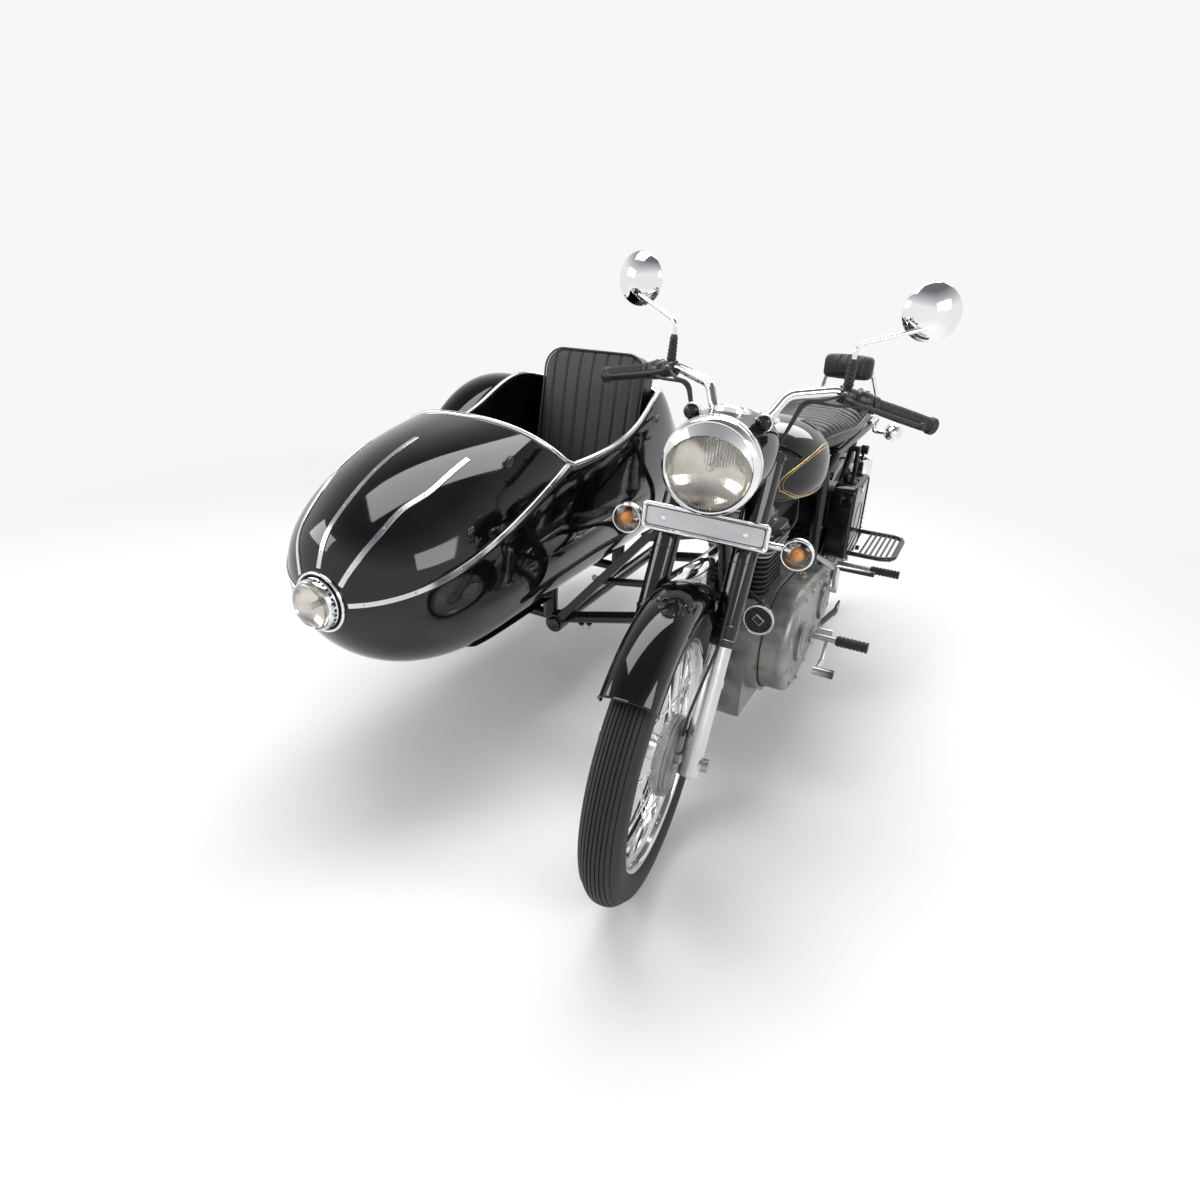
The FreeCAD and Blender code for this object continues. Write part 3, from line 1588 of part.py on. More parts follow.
def cylinder_head():
    """Finned head that widens upwards, with two rocker boxes and the intake and exhaust stubs."""
    base = barrel_low_z + barrel_fin_count * fin_pitch + air_gap
    top = base + head_fin_count * fin_pitch
    pieces = [block(
        at(-head_core_half, cylinder_y - head_core_half, base),
        at(head_core_half, cylinder_y + head_core_half, top),
    )]
    for i in range(head_fin_count):
        growth = head_growth * math.sin(math.pi * (i + HALF) / head_fin_count)
        pieces.append(fin_plate(
            fin_half_width + growth,
            fin_half_length + growth,
            base + (i + HALF) * fin_pitch,
        ))
    for side in (-1, 1):
        low = at(
            side * rocker_half_width * HALF - rocker_half_width * ROCKER_SHARE,
            cylinder_y - rocker_half_length,
            top,
        )
        high = low + Vector(rocker_half_width * 2 * ROCKER_SHARE, 2 * rocker_half_length, rocker_height)
        box = block(low, high)
        top_edges = [e for e in box.Edges if e.BoundBox.ZMin > high.z - air_gap]
        pieces.append(box.makeFillet(rocker_fillet, top_edges))
    pieces.append(rod(
        at(0, cylinder_y, intake_z),
        at(0, cylinder_y + fin_half_length + head_growth * 2, intake_z),
        intake_radius,
    ))
    pieces.append(rod(
        at(exhaust_x, cylinder_y, exhaust_z),
        at(exhaust_x, cylinder_y - fin_half_length - head_growth, exhaust_z),
        pipe_radius + guard_wall * 2,
    ))
    return fuse(pieces)


def carburettor():
    """Carburettor body with its float bowl and the rubber duct to the side box."""
    start = cylinder_y + fin_half_length + head_growth * 2 + air_gap
    body = block(
        at(-carb_half, start, intake_z - carb_half),
        at(carb_half, start + carb_length, intake_z + carb_half),
    )
    body = soften(body, cover_inset * HALF)
    bowl_top = at(0, start + carb_length * HALF, intake_z)
    bowl = rod(bowl_top - Z_AXIS * (carb_half + carb_bowl_height), bowl_top, carb_bowl_radius)
    cap = rod(bowl_top, bowl_top + Z_AXIS * (carb_half + carb_bowl_height), carb_bowl_radius * CARB_CAP_SHARE)
    duct_start = at(0, start + carb_length * HALF, intake_z)
    duct_end = at(0, air_box_front - air_gap, intake_z)
    duct = rod(duct_start, duct_end, carb_bowl_radius)
    return fuse([body, bowl, cap, duct])


# Exhaust

def exhaust_header():
    """Chromed pipe from the head's port forward, down and back under the right side."""
    start = at(exhaust_x, cylinder_y - fin_half_length - head_growth - air_gap, exhaust_z)
    points = [
        start,
        at(exhaust_x - pipe_radius, down_tube_low_y - header_reach, exhaust_z - pipe_radius),
        at(header_x, down_tube_low_y - header_reach, header_mid_z),
        at(header_low_x, down_tube_low_y - header_reach, header_low_z),
        at(silencer_x, crank_y - crank_radius, silencer_z),
        at(silencer_x, crank_y + crank_radius, silencer_z),
        at(silencer_x, silencer_start_y, silencer_z),
    ]
    return pipe(points, pipe_radius, header_bend)


def silencer():
    """Long megaphone-shaped silencer with a reversed tip."""
    length = silencer_end_y - silencer_start_y
    profile = [
        (air_gap, 0),
        (air_gap, pipe_radius + guard_wall),
        (silencer_taper, silencer_radius * SILENCER_SHARES[0]),
        (length - silencer_taper, silencer_radius),
        (length - silencer_taper * HALF * HALF, silencer_radius * SILENCER_SHARES[1]),
        (length, pipe_radius),
        (length, pipe_radius - guard_wall),
        (length - silencer_taper, pipe_radius - guard_wall),
        (length - silencer_taper, 0),
    ]
    body = lathe(profile, at(silencer_x, silencer_start_y, silencer_z), Y_AXIS)
    strap_y = silencer_hanger_y
    strap = block(
        at(silencer_x - hanger_thickness * HALF, strap_y - hanger_width * HALF, silencer_z),
        at(silencer_x + hanger_thickness * HALF, strap_y + hanger_width * HALF, pillion_z + pillion_radius),
    )
    return fuse([body, strap])


# Tank, seat and side boxes

def fuel_tank():
    """Teardrop tank that straddles the top tube, with a flush filler cap."""
    sections = []
    for along, width, low, high in TANK_SHARES:
        sections.append(oval_wire(
            tank_front_y + tank_length * along,
            tank_half_width * width,
            tank_low_z + tank_height * low,
            tank_low_z + tank_height * high,
            TANK_UPPER_POWER, TANK_LOWER_POWER, 0.0, TANK_MIDDLE_SHARE,
        ))
    body = Part.makeLoft(sections, True, False)
    start = on_steering_axis(top_tube_front_z)
    end = at(0, top_tube_rear_y, top_tube_rear_z)
    reach = main_tube_radius + tank_tunnel_gap
    direction = (end - start).normalize()
    ahead = start - direction * overrun
    behind = end + direction * overrun
    tunnel = side_prism([
        (ahead.y, tank_low_z - overrun),
        (behind.y, tank_low_z - overrun),
        (behind.y, behind.z + reach),
        (ahead.y, ahead.z + reach),
    ], -reach, reach)
    body = body.cut(tunnel)
    filler_y = tank_front_y + tank_length * filler_y_share
    cap_low = tank_low_z + tank_height - filler_height
    cap = rod(at(0, filler_y, cap_low), at(0, filler_y, cap_low + 2 * filler_height), filler_radius)
    return body.fuse(cap)


def dual_seat():
    """Long seat: a pan and a crowned cushion that widens and steps up for the passenger."""
    sections = []
    for along, width, low, high in SEAT_SHARES:
        sections.append(oval_wire(
            seat_front_y + seat_length * along,
            seat_half_width * width,
            seat_low_z + seat_height * low,
            seat_low_z + seat_height * high,
            SEAT_POWER, SEAT_POWER,
        ))
    return Part.makeLoft(sections, True, False)


def side_boxes():
    """Lockable boxes with rounded corners, one each side, joined by the air box between them."""
    pieces = []
    for side in (-1, 1):
        low = at(side * box_inner_x, box_front_y, box_low_z)
        high = at(side * (box_inner_x + box_depth), box_front_y + box_length, box_low_z + box_height)
        box = block(Vector(min(low.x, high.x), low.y, low.z), Vector(max(low.x, high.x), high.y, high.z))
        corners = [e for e in box.Edges if abs(e.tangentAt(e.FirstParameter).x) > HALF]
        box = box.makeFillet(box_corner, corners)
        face_x = side * (box_inner_x + box_depth)
        rim_edges = [e for e in box.Edges if abs(e.BoundBox.Center.x - face_x) < air_gap
                     and e.BoundBox.XLength < air_gap]
        box = box.makeFillet(box_edge, rim_edges)
        pieces.append(box)
    middle = block(
        at(-box_inner_x - box_corner * HALF, air_box_front, air_box_low),
        at(box_inner_x + box_corner * HALF, air_box_front + air_box_length, air_box_low + air_box_height),
    )
    return fuse(pieces + [middle])


# Rear end, rests and foot controls

def rear_carrier():
    """Chromed hoop behind the seat that carries the backrest pad."""
    points = []
    rail_out = carrier_half
    for side in (-1, 1):
        chain = [
            at(side * rail_out, rail_end_y - carrier_run, rail_z + rail_radius + carrier_radius + air_gap),
            at(
                side * rail_out,
                rail_end_y - carrier_radius,
                rail_z + rail_radius + carrier_radius + air_gap,
            ),
            at(
                side * pad_half_width * CARRIER_SHARE,
                pad_y + pad_thickness * HALF + carrier_radius,
                pad_low_z + pad_height * HALF,
            ),
        ]
        points += chain if side < 0 else list(reversed(chain))
    hoop = pipe(points, carrier_radius, frame_bend)
    return hoop


def backrest_pad():
    """Soft pad carried by the hoop."""
    sections = []
    for along, grow in PAD_SHARES:
        sections.append(oval_wire(
            pad_y - pad_thickness * HALF + pad_thickness * along,
            pad_half_width * grow,
            pad_low_z + pad_height * (1 - grow) * HALF,
            pad_low_z + pad_height - pad_height * (1 - grow) * HALF,
            SEAT_POWER * 2, SEAT_POWER * 2,
        ))
    return Part.makeLoft(sections, True, False)


def tail_lamp():
    """Tail lamp housing on the mudguard with a blank rear plate under it."""
    seat = on_arc(rear_axle, rear_guard_radius + rear_guard_crown, tail_lamp_deg, 0)
    body = block(
        at(-tail_lamp_half, seat.y, seat.z),
        at(tail_lamp_half, seat.y + tail_lamp_depth, seat.z + tail_lamp_height),
    )
    body = soften(body, cover_inset * HALF)
    plate = block(
        at(-rear_plate_half, seat.y + tail_lamp_depth * HALF, seat.z - rear_plate_height),
        at(rear_plate_half, seat.y + tail_lamp_depth * HALF + plate_thickness, seat.z + cover_inset),
    )
    arm = block(at(-tail_lamp_half * HALF, seat.y - tail_lamp_depth, seat.z),
                at(tail_lamp_half * HALF, seat.y + cover_inset, seat.z + cover_inset))
    reach = rear_plate_half + overrun
    guard = lathe_x([(-reach, 0), (-reach, rear_guard_radius + rear_guard_crown + air_gap),
                     (reach, rear_guard_radius + rear_guard_crown + air_gap), (reach, 0)], rear_axle)
    return largest(fuse([body, plate, arm]).cut(guard), 1)


def rear_indicators():
    pieces = []
    for side in (-1, 1):
        centre = at(side * rear_indicator_half, rear_indicator_y + indicator_length * HALF, rear_indicator_z)
        lamp = round_lamp(centre, Y_AXIS, rear_indicator_radius, indicator_length, indicator_radius * HALF)
        stem = pipe(
            [
                at(side * rail_half, rail_end_y - rail_radius, rail_z - rail_radius - air_gap),
                at(side * rail_half, rear_indicator_y, rear_indicator_z),
                at(side * rear_indicator_half, rear_indicator_y, rear_indicator_z),
            ],
            indicator_stem_radius,
        )
        pieces.append(lamp.fuse(stem))
    return Part.makeCompound(pieces)


def horn():
    """Round horn with a rim, on a strap from the engine plate."""
    profile = [
        (0, 0),
        (0, horn_radius * HORN_SHARES[0]),
        (horn_depth * HALF * HALF, horn_radius),
        (horn_depth * HALF, horn_radius),
        (horn_depth * HALF, horn_radius * HORN_SHARES[1]),
        (horn_depth, horn_radius * HORN_SHARES[2]),
        (horn_depth, 0),
    ]
    centre = at(horn_x, horn_y - horn_depth, horn_z)
    body = lathe(profile, centre, Y_AXIS)
    strap_end = at(engine_plate_half + air_gap, down_tube_low_y, horn_z - horn_radius * HALF)
    strap = pipe(
        [
            at(horn_x, horn_y - horn_depth * HALF * HALF, horn_z - horn_radius * HALF),
            at(horn_x, down_tube_low_y - main_tube_radius * HALF, horn_z - horn_radius * HALF),
            strap_end,
        ],
        stay_radius,
    )
    return fuse([body, strap])


def peg(root, end, radius, rubber_length):
    """Bar along x with a ribbed rubber on its outer end."""
    side = math.copysign(1, end.x)
    bar = rod(root, end, radius * PEG_BAR_SHARE)
    pitch = rubber_length / peg_rib_count
    profile = [(0, 0)]
    for i in range(peg_rib_count):
        profile += [(pitch * i, radius - peg_rib_height), (pitch * (i + HALF), radius - peg_rib_height),
                    (pitch * (i + HALF), radius), (pitch * (i + 1), radius)]
    profile.append((rubber_length, 0))
    rubber = lathe(profile, end - X_AXIS * (side * rubber_length), X_AXIS * side)
    return fuse([bar, rubber])


def rider_pegs():
    """Rider's rests on flanges at the engine's side covers."""
    pieces = []
    for side, depth in ((1, cover_left_depth), (-1, cover_right_depth)):
        root = at(side * (case_half_width + 2 * air_gap + depth), peg_y, peg_z)
        end = at(side * peg_end, peg_y, peg_z)
        flange = rod(root, root + X_AXIS * (side * flange_width), peg_radius + flange_width)
        pieces.append(fuse([peg(root, end, peg_radius, peg_rubber_length), flange]))
    return Part.makeCompound(pieces)


def pillion_pegs():
    """Passenger rests on hangers from the frame's rear tubes."""
    pieces = []
    for side in (-1, 1):
        root = at(side * pillion_root, pillion_y, pillion_z)
        end = at(side * pillion_end, pillion_y, pillion_z)
        arm = peg(root, end, pillion_radius, pillion_length)
        hanger_top = at(side * seat_tube_half, seat_tube_y + seat_tube_radius, seat_hanger_z)
        hanger = pipe(
            [root, at(side * pillion_root, pillion_y - frame_bend, pillion_z), hanger_top],
            brace_radius,
        )
        pieces.append(fuse([arm, hanger]))
    return Part.makeCompound(pieces)


def side_step():
    """Wire-framed passenger step on the left with its tread bars."""
    outer_x = step_inner_x + step_width
    rear_y = step_front_y + step_length
    corners = [
        at(step_inner_x, step_front_y, step_z),
        at(outer_x, step_front_y, step_z),
        at(outer_x, rear_y, step_z),
        at(step_inner_x, rear_y, step_z),
    ]
    start = at(pillion_root, step_front_y, step_z)
    finish = at(pillion_root, rear_y, step_z)
    frame = pipe([start] + corners[1:3] + [finish], step_radius, cover_fillet * 2)
    spine_radius = step_radius * SPINE_SHARE
    bars = []
    for i in range(step_bar_count):
        x = step_inner_x + step_width * (i + HALF) / step_bar_count
        bars.append(rod(at(x, step_front_y, step_z), at(x, rear_y, step_z), step_bar_radius))
    spine = rod(
        at(pillion_root, step_front_y - spine_radius, step_z),
        at(pillion_root, rear_y + spine_radius, step_z),
        spine_radius,
    )
    upright_low = at(pillion_root, step_hanger_y, step_z)
    upright = rod(upright_low, at(pillion_root, upright_low.y, rail_z - rail_radius), step_radius)
    top_z = rail_z - rail_radius - step_radius - air_gap
    top = rod(
        at(pillion_root + step_radius, upright_low.y, top_z),
        at(rail_half, upright_low.y, top_z),
        step_radius,
    )
    return fuse([frame, spine, upright, top] + bars)


def foot_controls():
    """Gear pedal and kick lever on the left, brake pedal on the right."""
    gear_start = at(case_half_width + cover_left_depth + dome_rise + air_gap * 2, gear_shaft_y, gear_shaft_z)
    spindle = at(gear_x, gear_shaft_y, gear_shaft_z)
    elbow = at(gear_x, (gear_shaft_y + gear_pedal_y) * HALF, gear_pedal_z)
    pedal = at(gear_x, gear_pedal_y, gear_pedal_z)
    gear = fuse([
        rod(gear_start, spindle + X_AXIS * (lever_rod_radius + guard_wall), lever_rod_radius * 2),
        rod(spindle, elbow, lever_rod_radius),
        Part.makeSphere(lever_rod_radius + guard_wall, elbow),
        rod(elbow, pedal, lever_rod_radius),
        rod(
            pedal - X_AXIS * (lever_rod_radius + guard_wall),
            pedal + X_AXIS * gear_pedal_length,
            lever_rod_radius * 2,
        ),
    ])
    kick_start = at(case_half_width + cover_left_depth + air_gap * 2, kick_y, kick_z)
    kick = fuse([
        rod(kick_start, at(kick_x + lever_rod_radius, kick_y, kick_z), lever_rod_radius * 2),
        pipe(
            [
                at(kick_x, kick_y, kick_z),
                at(kick_x, kick_y - kick_rise * HALF, kick_z + kick_rise),
                at(kick_x, kick_y - kick_rise * HALF * HALF, kick_z + kick_rise * 2),
            ],
            lever_rod_radius + guard_wall,
        ),
        rod(
            at(kick_x, kick_y - kick_rise * HALF * HALF, kick_z + kick_rise * 2),
            at(kick_x + kick_pedal_length, kick_y - kick_rise * HALF * HALF, kick_z + kick_rise * 2),
            kick_pedal_radius * HALF,
        ),
    ])
    brake = fuse([
        pipe(
            [
                at(brake_x, peg_y, peg_z),
                at(brake_x, (peg_y + gear_pedal_y) * HALF, gear_pedal_z),
                at(brake_x, gear_pedal_y - lever_rod_radius, gear_pedal_z),
            ],
            lever_rod_radius + guard_wall,
        ),
        rod(
            at(brake_x - gear_pedal_length * HALF, gear_pedal_y, gear_pedal_z),
            at(brake_x + gear_pedal_length * HALF, gear_pedal_y, gear_pedal_z),
            lever_rod_radius * 2,
        ),
        rod(
            at(brake_x - peg_radius, peg_y, peg_z),
            at(brake_x + peg_radius, peg_y, peg_z),
            peg_radius + guard_wall,
        ),
    ])
    return gear, kick, brake


def chain_loop():
    """Drive chain as one closed band round both sprockets."""
    rear = (wheelbase, wheel_radius)
    front = (gearbox_y, gearbox_z)
    low = chain_line - chain_width * HALF
    high = chain_line + chain_width * HALF
    inner_rear = sprocket_radius + sprocket_gap
    inner_front = engine_sprocket_radius + sprocket_gap
    outer = belt(rear, inner_rear + chain_height, front, inner_front + chain_height, low, high)
    inner = belt(rear, inner_rear, front, inner_front, low - overrun, high + overrun)
    return outer.cut(inner)


def chain_guard():
    """Pressed guard over the chain's upper run."""
    rear = (wheelbase, wheel_radius)
    front = (gearbox_y, gearbox_z)
    reach = sprocket_radius + sprocket_gap + chain_height + chain_guard_gap
    front_reach = engine_sprocket_radius + sprocket_gap + chain_height + chain_guard_gap
    low = chain_line - chain_width * HALF - guard_wall
    high = chain_line + chain_width * HALF + guard_wall
    outer = belt(rear, reach + guard_wall, front, front_reach + guard_wall, low, high)
    inner = belt(rear, reach, front, front_reach, low - overrun, high + overrun)
    keep = side_prism([
        (seat_tube_y + overrun, gearbox_z + arm_radius),
        (wheelbase + reach * 2, wheel_radius),
        (wheelbase + reach * 2, wheel_radius + reach * 3),
        (seat_tube_y + overrun, gearbox_z + reach * 2),
    ], low - overrun, high + overrun)
    band = outer.cut(inner).common(keep)
    lug_y = (seat_tube_y + wheelbase) * HALF
    arm_z = pivot_z + (wheel_radius - pivot_z) * (lug_y - seat_tube_y) / (wheelbase - seat_tube_y)
    lug = block(at(high - guard_wall, lug_y - arm_radius, arm_z + arm_radius * HALF),
                at(high + arm_radius, lug_y + arm_radius, arm_z + reach))
    return fuse([band, lug]).cut(rod(
        at(arm_half, seat_tube_y, pivot_z),
        at(arm_half, wheelbase, wheel_radius),
        arm_radius + air_gap,
    ))


# Stands

def side_stand():
    """Folding prop on the left: a pivot boss, a leg that lies back along the frame, and a foot pad."""
    pivot = at(stand_x, stand_pivot_y, stand_pivot_z)
    foot = at(stand_x + stand_splay, stand_pivot_y + stand_length, stand_pivot_z)
    boss = rod(
        pivot - X_AXIS * (stand_boss_width * HALF),
        pivot + X_AXIS * (stand_boss_width * HALF),
        stand_boss_radius,
    )
    leg = rod(pivot, foot, stand_radius)
    pad = block(foot - Vector(stand_foot_thickness * HALF, 0, stand_foot_width * HALF),
                foot + Vector(stand_foot_thickness * HALF, stand_foot_length, stand_foot_width * HALF))
    hole = rod(pivot - X_AXIS * overrun, pivot + X_AXIS * overrun, axle_radius + running_gap)
    return fuse([boss, leg, pad]).cut(hole)


def stand_bracket():
    """Bracket plate and pin under the gearbox that carry the side stand."""
    pin_start = at(stand_x - stand_boss_width, stand_pivot_y, stand_pivot_z)
    pin = rod(
        pin_start,
        at(stand_x + stand_boss_width * HALF + air_gap, stand_pivot_y, stand_pivot_z),
        axle_radius,
    )
    cap_start = at(stand_x + stand_boss_width * HALF + air_gap, stand_pivot_y, stand_pivot_z)
    cap = rod(cap_start, cap_start + X_AXIS * stand_foot_thickness, axle_nut_radius)
    plate = side_prism([
        (stand_pivot_y - stand_boss_radius, stand_pivot_z - stand_boss_radius),
        (stand_pivot_y + stand_boss_radius, stand_pivot_z - stand_boss_radius),
        (seat_tube_y + seat_tube_radius, seat_tube_low_z + seat_tube_radius),
        (seat_tube_y - seat_tube_radius, seat_tube_low_z + seat_tube_radius),
    ], stand_x - stand_boss_width - stand_foot_thickness, stand_x - stand_boss_width)
    arm_start = at(seat_tube_half + seat_tube_radius * HALF, seat_tube_y, seat_tube_low_z)
    arm = rod(arm_start, at(stand_x - stand_boss_width, seat_tube_y, seat_tube_low_z), axle_radius)
    return fuse([pin, cap, plate, arm])


# Sidecar body

def body_loft(grow=0.0):
    """Bullet-shaped hull, grown or shrunk all round by a wall or a gap."""
    sections = []
    for along, width, low, high, upper_power, lower_power in BODY_SHARES:
        end_shift = grow * (2 * along - 1)
        sections.append(oval_wire(
            body_nose_y + body_length * along + end_shift,
            body_half_width * width + grow,
            body_low_z + body_height * low - grow,
            body_low_z + body_height * high + grow,
            upper_power, lower_power, sidecar_centre_x,
        ))
    return Part.makeLoft(sections, True, False)


def cockpit_cut(grow=0.0):
    """Everything above the cockpit's swept edge, seen from the side, moved outwards by the bead's height."""
    slope = (cockpit_front_y - cowl_edge_y) / (cowl_edge_z - cockpit_front_z)
    top = cut_top_z
    places = [
        (cockpit_front_y, cockpit_front_z),
        (cockpit_mid_y, cockpit_mid_z),
        (cockpit_rear_y, cockpit_rear_z),
        (cockpit_end_y, cockpit_end_z),
    ]
    x = sidecar_centre_x - body_half_width * 2
    line = [Vector(x, y, z - grow) for y, z in places]
    line[0] = Vector(x, cockpit_front_y - grow, cockpit_front_z - grow)
    line[-1] = Vector(x, cockpit_end_y + grow, cockpit_end_z - grow)
    curve = Part.BSplineCurve()
    curve.interpolate(Points=line)
    rear_top = Vector(x, line[-1].y + cockpit_tail_run, top)
    front_top = Vector(x, line[0].y - slope * (top - line[0].z), top)
    edges = [
        curve.toShape(),
        Part.makeLine(line[-1], rear_top),
        Part.makeLine(rear_top, front_top),
        Part.makeLine(front_top, line[0]),
    ]
    return Part.Face(Part.Wire(edges)).extrude(X_AXIS * (body_half_width * 4))


def seam_prism(drop=0.0):
    """Room above the seam between the bonnet and the tub."""
    low_x = sidecar_centre_x - body_half_width * 2
    start = (body_nose_y - overrun * 2, nose_lamp_z - seam_nose_drop - drop)
    return side_prism([
        start,
        (cockpit_front_y, cockpit_front_z - drop),
        (cockpit_front_y, cut_top_z),
        (body_nose_y - overrun * 2, cut_top_z),
    ], low_x, low_x + body_half_width * 4)


def sidecar_shell():
    """Hull hollowed to its wall and opened at the cockpit."""
    return body_loft().cut([body_loft(-body_wall), cockpit_cut(rim_bead)])


def sidecar_cowl(shell):
    return shell.common(seam_prism())


def sidecar_tub(shell):
    return shell.cut(seam_prism(panel_gap))


def cockpit_rim():
    """Bright bead that caps the hull's edge all round the cockpit."""
    ring = cockpit_cut(rim_bead - air_gap).cut(cockpit_cut())
    return body_loft(rim_proud).common(ring).cut(body_loft(-body_wall - rim_proud))


def plan_strip(places, width):
    """Upright prism over a run of plan points, as wide as the strip."""
    left = []
    right = []
    last = len(places) - 1
    for index, place in enumerate(places):
        run = places[min(index + 1, last)] - places[max(index - 1, 0)]
        across = Z_AXIS.cross(run).normalize() * (width * HALF)
        left.append(place - across)
        right.append(place + across)
    face = polygon_face(left + right[::-1])
    face.translate(Z_AXIS * nose_lamp_z)
    return face.extrude(Z_AXIS * (cut_top_z - nose_lamp_z))


def trim_strips():
    """Five bright strips that fan out from the nose lamp: three over the bonnet and one along each seam."""
    prisms = []
    for side in (-1, 0, 1):
        places = []
        for along, spread in STRIP_SHARES:
            places.append(Vector(
                sidecar_centre_x + side * body_half_width * spread,
                body_nose_y + body_length * along,
                0,
            ))
        prisms.append(plan_strip(places, strip_width))
    band = seam_prism(strip_width * HALF).cut(seam_prism(-strip_width * HALF))
    prisms.append(band.cut(cockpit_cut(rim_bead)))
    nose_low = at(sidecar_centre_x, body_nose_y - overrun, nose_lamp_z)
    nose = rod(nose_low, nose_low + Y_AXIS * (overrun + nose_ring_depth), nose_ring_radius + air_gap)
    skin = body_loft(strip_proud).cut([body_loft(air_gap), nose])
    return fuse([skin.common(prism) for prism in prisms])


def nose_lamp():
    """Lamp on the bullet's tip: an outer ring, a slotted bezel and a domed lens."""
    centre = at(sidecar_centre_x, body_nose_y - air_gap, nose_lamp_z)
    ring = lathe([
        (0, 0),
        (0, nose_ring_radius),
        (nose_ring_depth * HALF, nose_ring_radius),
        (nose_ring_depth, nose_lamp_radius),
        (nose_lamp_length, nose_lamp_radius),
        (nose_lamp_length, 0),
    ], centre, -Y_AXIS)
    lens = bulged_lens(
        nose_lamp_radius * LENS_SHARE,
        nose_lens_bulge,
        nose_ring_depth,
        centre - Y_AXIS * nose_lamp_length,
        Y_AXIS,
    )
    return ring.cut(lens), lens


def cushion(y, length, half_width, low, height, power):
    """Plain closed cushion with rounded sides, drawn along y."""
    sections = []
    for along, grow in CUSHION_SHARES:
        sections.append(oval_wire(y + length * along, half_width * grow, low + height * (1 - grow) * HALF,
                                  low + height - height * (1 - grow) * HALF, power, power, sidecar_centre_x))
    return Part.makeLoft(sections, True, False)


def sidecar_seat_base():
    return cushion(
        side_seat_front_y,
        side_seat_length,
        side_seat_half_width,
        side_seat_low_z,
        side_seat_thickness,
        CUSHION_POWER,
    )


def sidecar_seat_back():
    """Tall back cushion that leans back behind the base."""
    solid = cushion(0, side_back_thickness, side_back_half_width, 0, side_back_height, CUSHION_POWER)
    solid.rotate(Vector(sidecar_centre_x, 0, 0), X_AXIS, -side_back_lean_deg)
    solid.translate(Vector(0, side_back_y, side_back_low_z))
    return solid


def sidecar_seat_frame(room):
    """Seat box on the hull's floor and the leaning panel behind the back cushion."""
    base = block(
        at(sidecar_centre_x - side_seat_half_width, side_seat_front_y, body_low_z),
        at(
            sidecar_centre_x + side_seat_half_width,
            side_back_y + side_back_thickness,
            side_seat_low_z - air_gap,
        ),
    )
    panel = block(
        at(
            sidecar_centre_x - side_back_half_width,
            side_back_thickness + air_gap,
            -side_back_low_z + side_seat_low_z - cushion_corner,
        ),
        at(
            sidecar_centre_x + side_back_half_width,
            side_back_thickness + panel_thickness,
            side_back_height * PANEL_SHARE,
        ),
    )
    panel.rotate(Vector(sidecar_centre_x, 0, 0), X_AXIS, -side_back_lean_deg)
    panel.translate(Vector(0, side_back_y, side_back_low_z))
    whole = fuse([base, panel])
    return whole.common(room)


# Sidecar chassis

def cross_member(y, left_x, right_x, dip):
    """Tube between the rails that bows under the hull."""
    points = [
        at(left_x, y, side_rail_z),
        at(left_x + cross_run, y, side_rail_z - dip),
        at(right_x - cross_run, y, side_rail_z - dip),
        at(right_x, y, side_rail_z),
    ]
    if not dip:
        points = [points[0], points[-1]]
        return rod(points[0], points[1], cross_radius)
    return pipe(points, cross_radius)


def sidecar_frame():
    """Perimeter chassis under the hull with its four struts to the motorcycle."""
    outer_x = sidecar_centre_x - side_rail_half
    inner_x = sidecar_centre_x + side_rail_half
    pieces = []
    for x in (outer_x, inner_x):
        pieces.append(rod(
            at(x, side_rail_front_y, side_rail_z),
            at(x, side_rail_rear_y, side_rail_z),
            side_rail_radius,
        ))
    members = [(cross_front_y, cross_dip), (cross_mid_y, cross_dip), (side_rail_rear_y, 0)]
    hull = body_loft(air_gap)
    for y, dip in members:
        pieces.append(cross_member(y, outer_x, inner_x, dip))
        for side in (-1, 1):
            foot = at(sidecar_centre_x + side * mount_spread, y, side_rail_z - dip)
            pieces.append(rod(foot, foot + Z_AXIS * mount_height, body_mount_radius).cut(hull))
    pieces.append(pipe([
        at(inner_x, front_strut_y, side_rail_z),
        at(front_strut_mid_x, front_strut_y - strut_step, front_strut_mid_z),
        at(front_strut_near_x, front_strut_near_y, front_strut_near_z),
        at(-engine_plate_half - clamp_plate, front_strut_near_y, front_strut_end_z),
    ], cross_radius))
    pieces.append(pipe([
        at(inner_x, cross_mid_y, side_rail_z),
        at(rear_strut_mid_x, rear_strut_mid_y, rear_strut_mid_z),
        at(-pivot_half - air_gap, seat_tube_y, pivot_z),
    ], cross_radius))
    pieces.append(rod(
        at(inner_x, upper_rear_y, side_rail_z),
        at(-rail_half - rail_radius * HALF, upper_rear_y, rail_z),
        brace_radius + guard_wall,
    ))
    pieces.append(upper_front_strut(inner_x))
    link_start = at(link_x, front_strut_y - strut_step * 2, link_z)
    pieces.append(rod(
        link_start,
        at(-engine_plate_half - clamp_plate, front_strut_near_y, link_end_z),
        brace_radius,
    ))
    return fuse(pieces)


def upper_front_strut(inner_x):
    """Rectangular-section strut from the inner rail up to the down tube below the steering head."""
    start = at(inner_x, front_strut_y - strut_step * 2, side_rail_z)
    elbow = at(upper_elbow_x, front_strut_y - strut_step * 3, upper_elbow_z)
    end = at(-main_tube_radius, down_tube_y(upper_front_z), upper_front_z)
    foot = rod(start - Y_AXIS * (clamp_length * HALF), start + Y_AXIS * (clamp_length * HALF), clamp_radius)
    return fuse([flat_bar(start, elbow), flat_bar(elbow, end), foot])


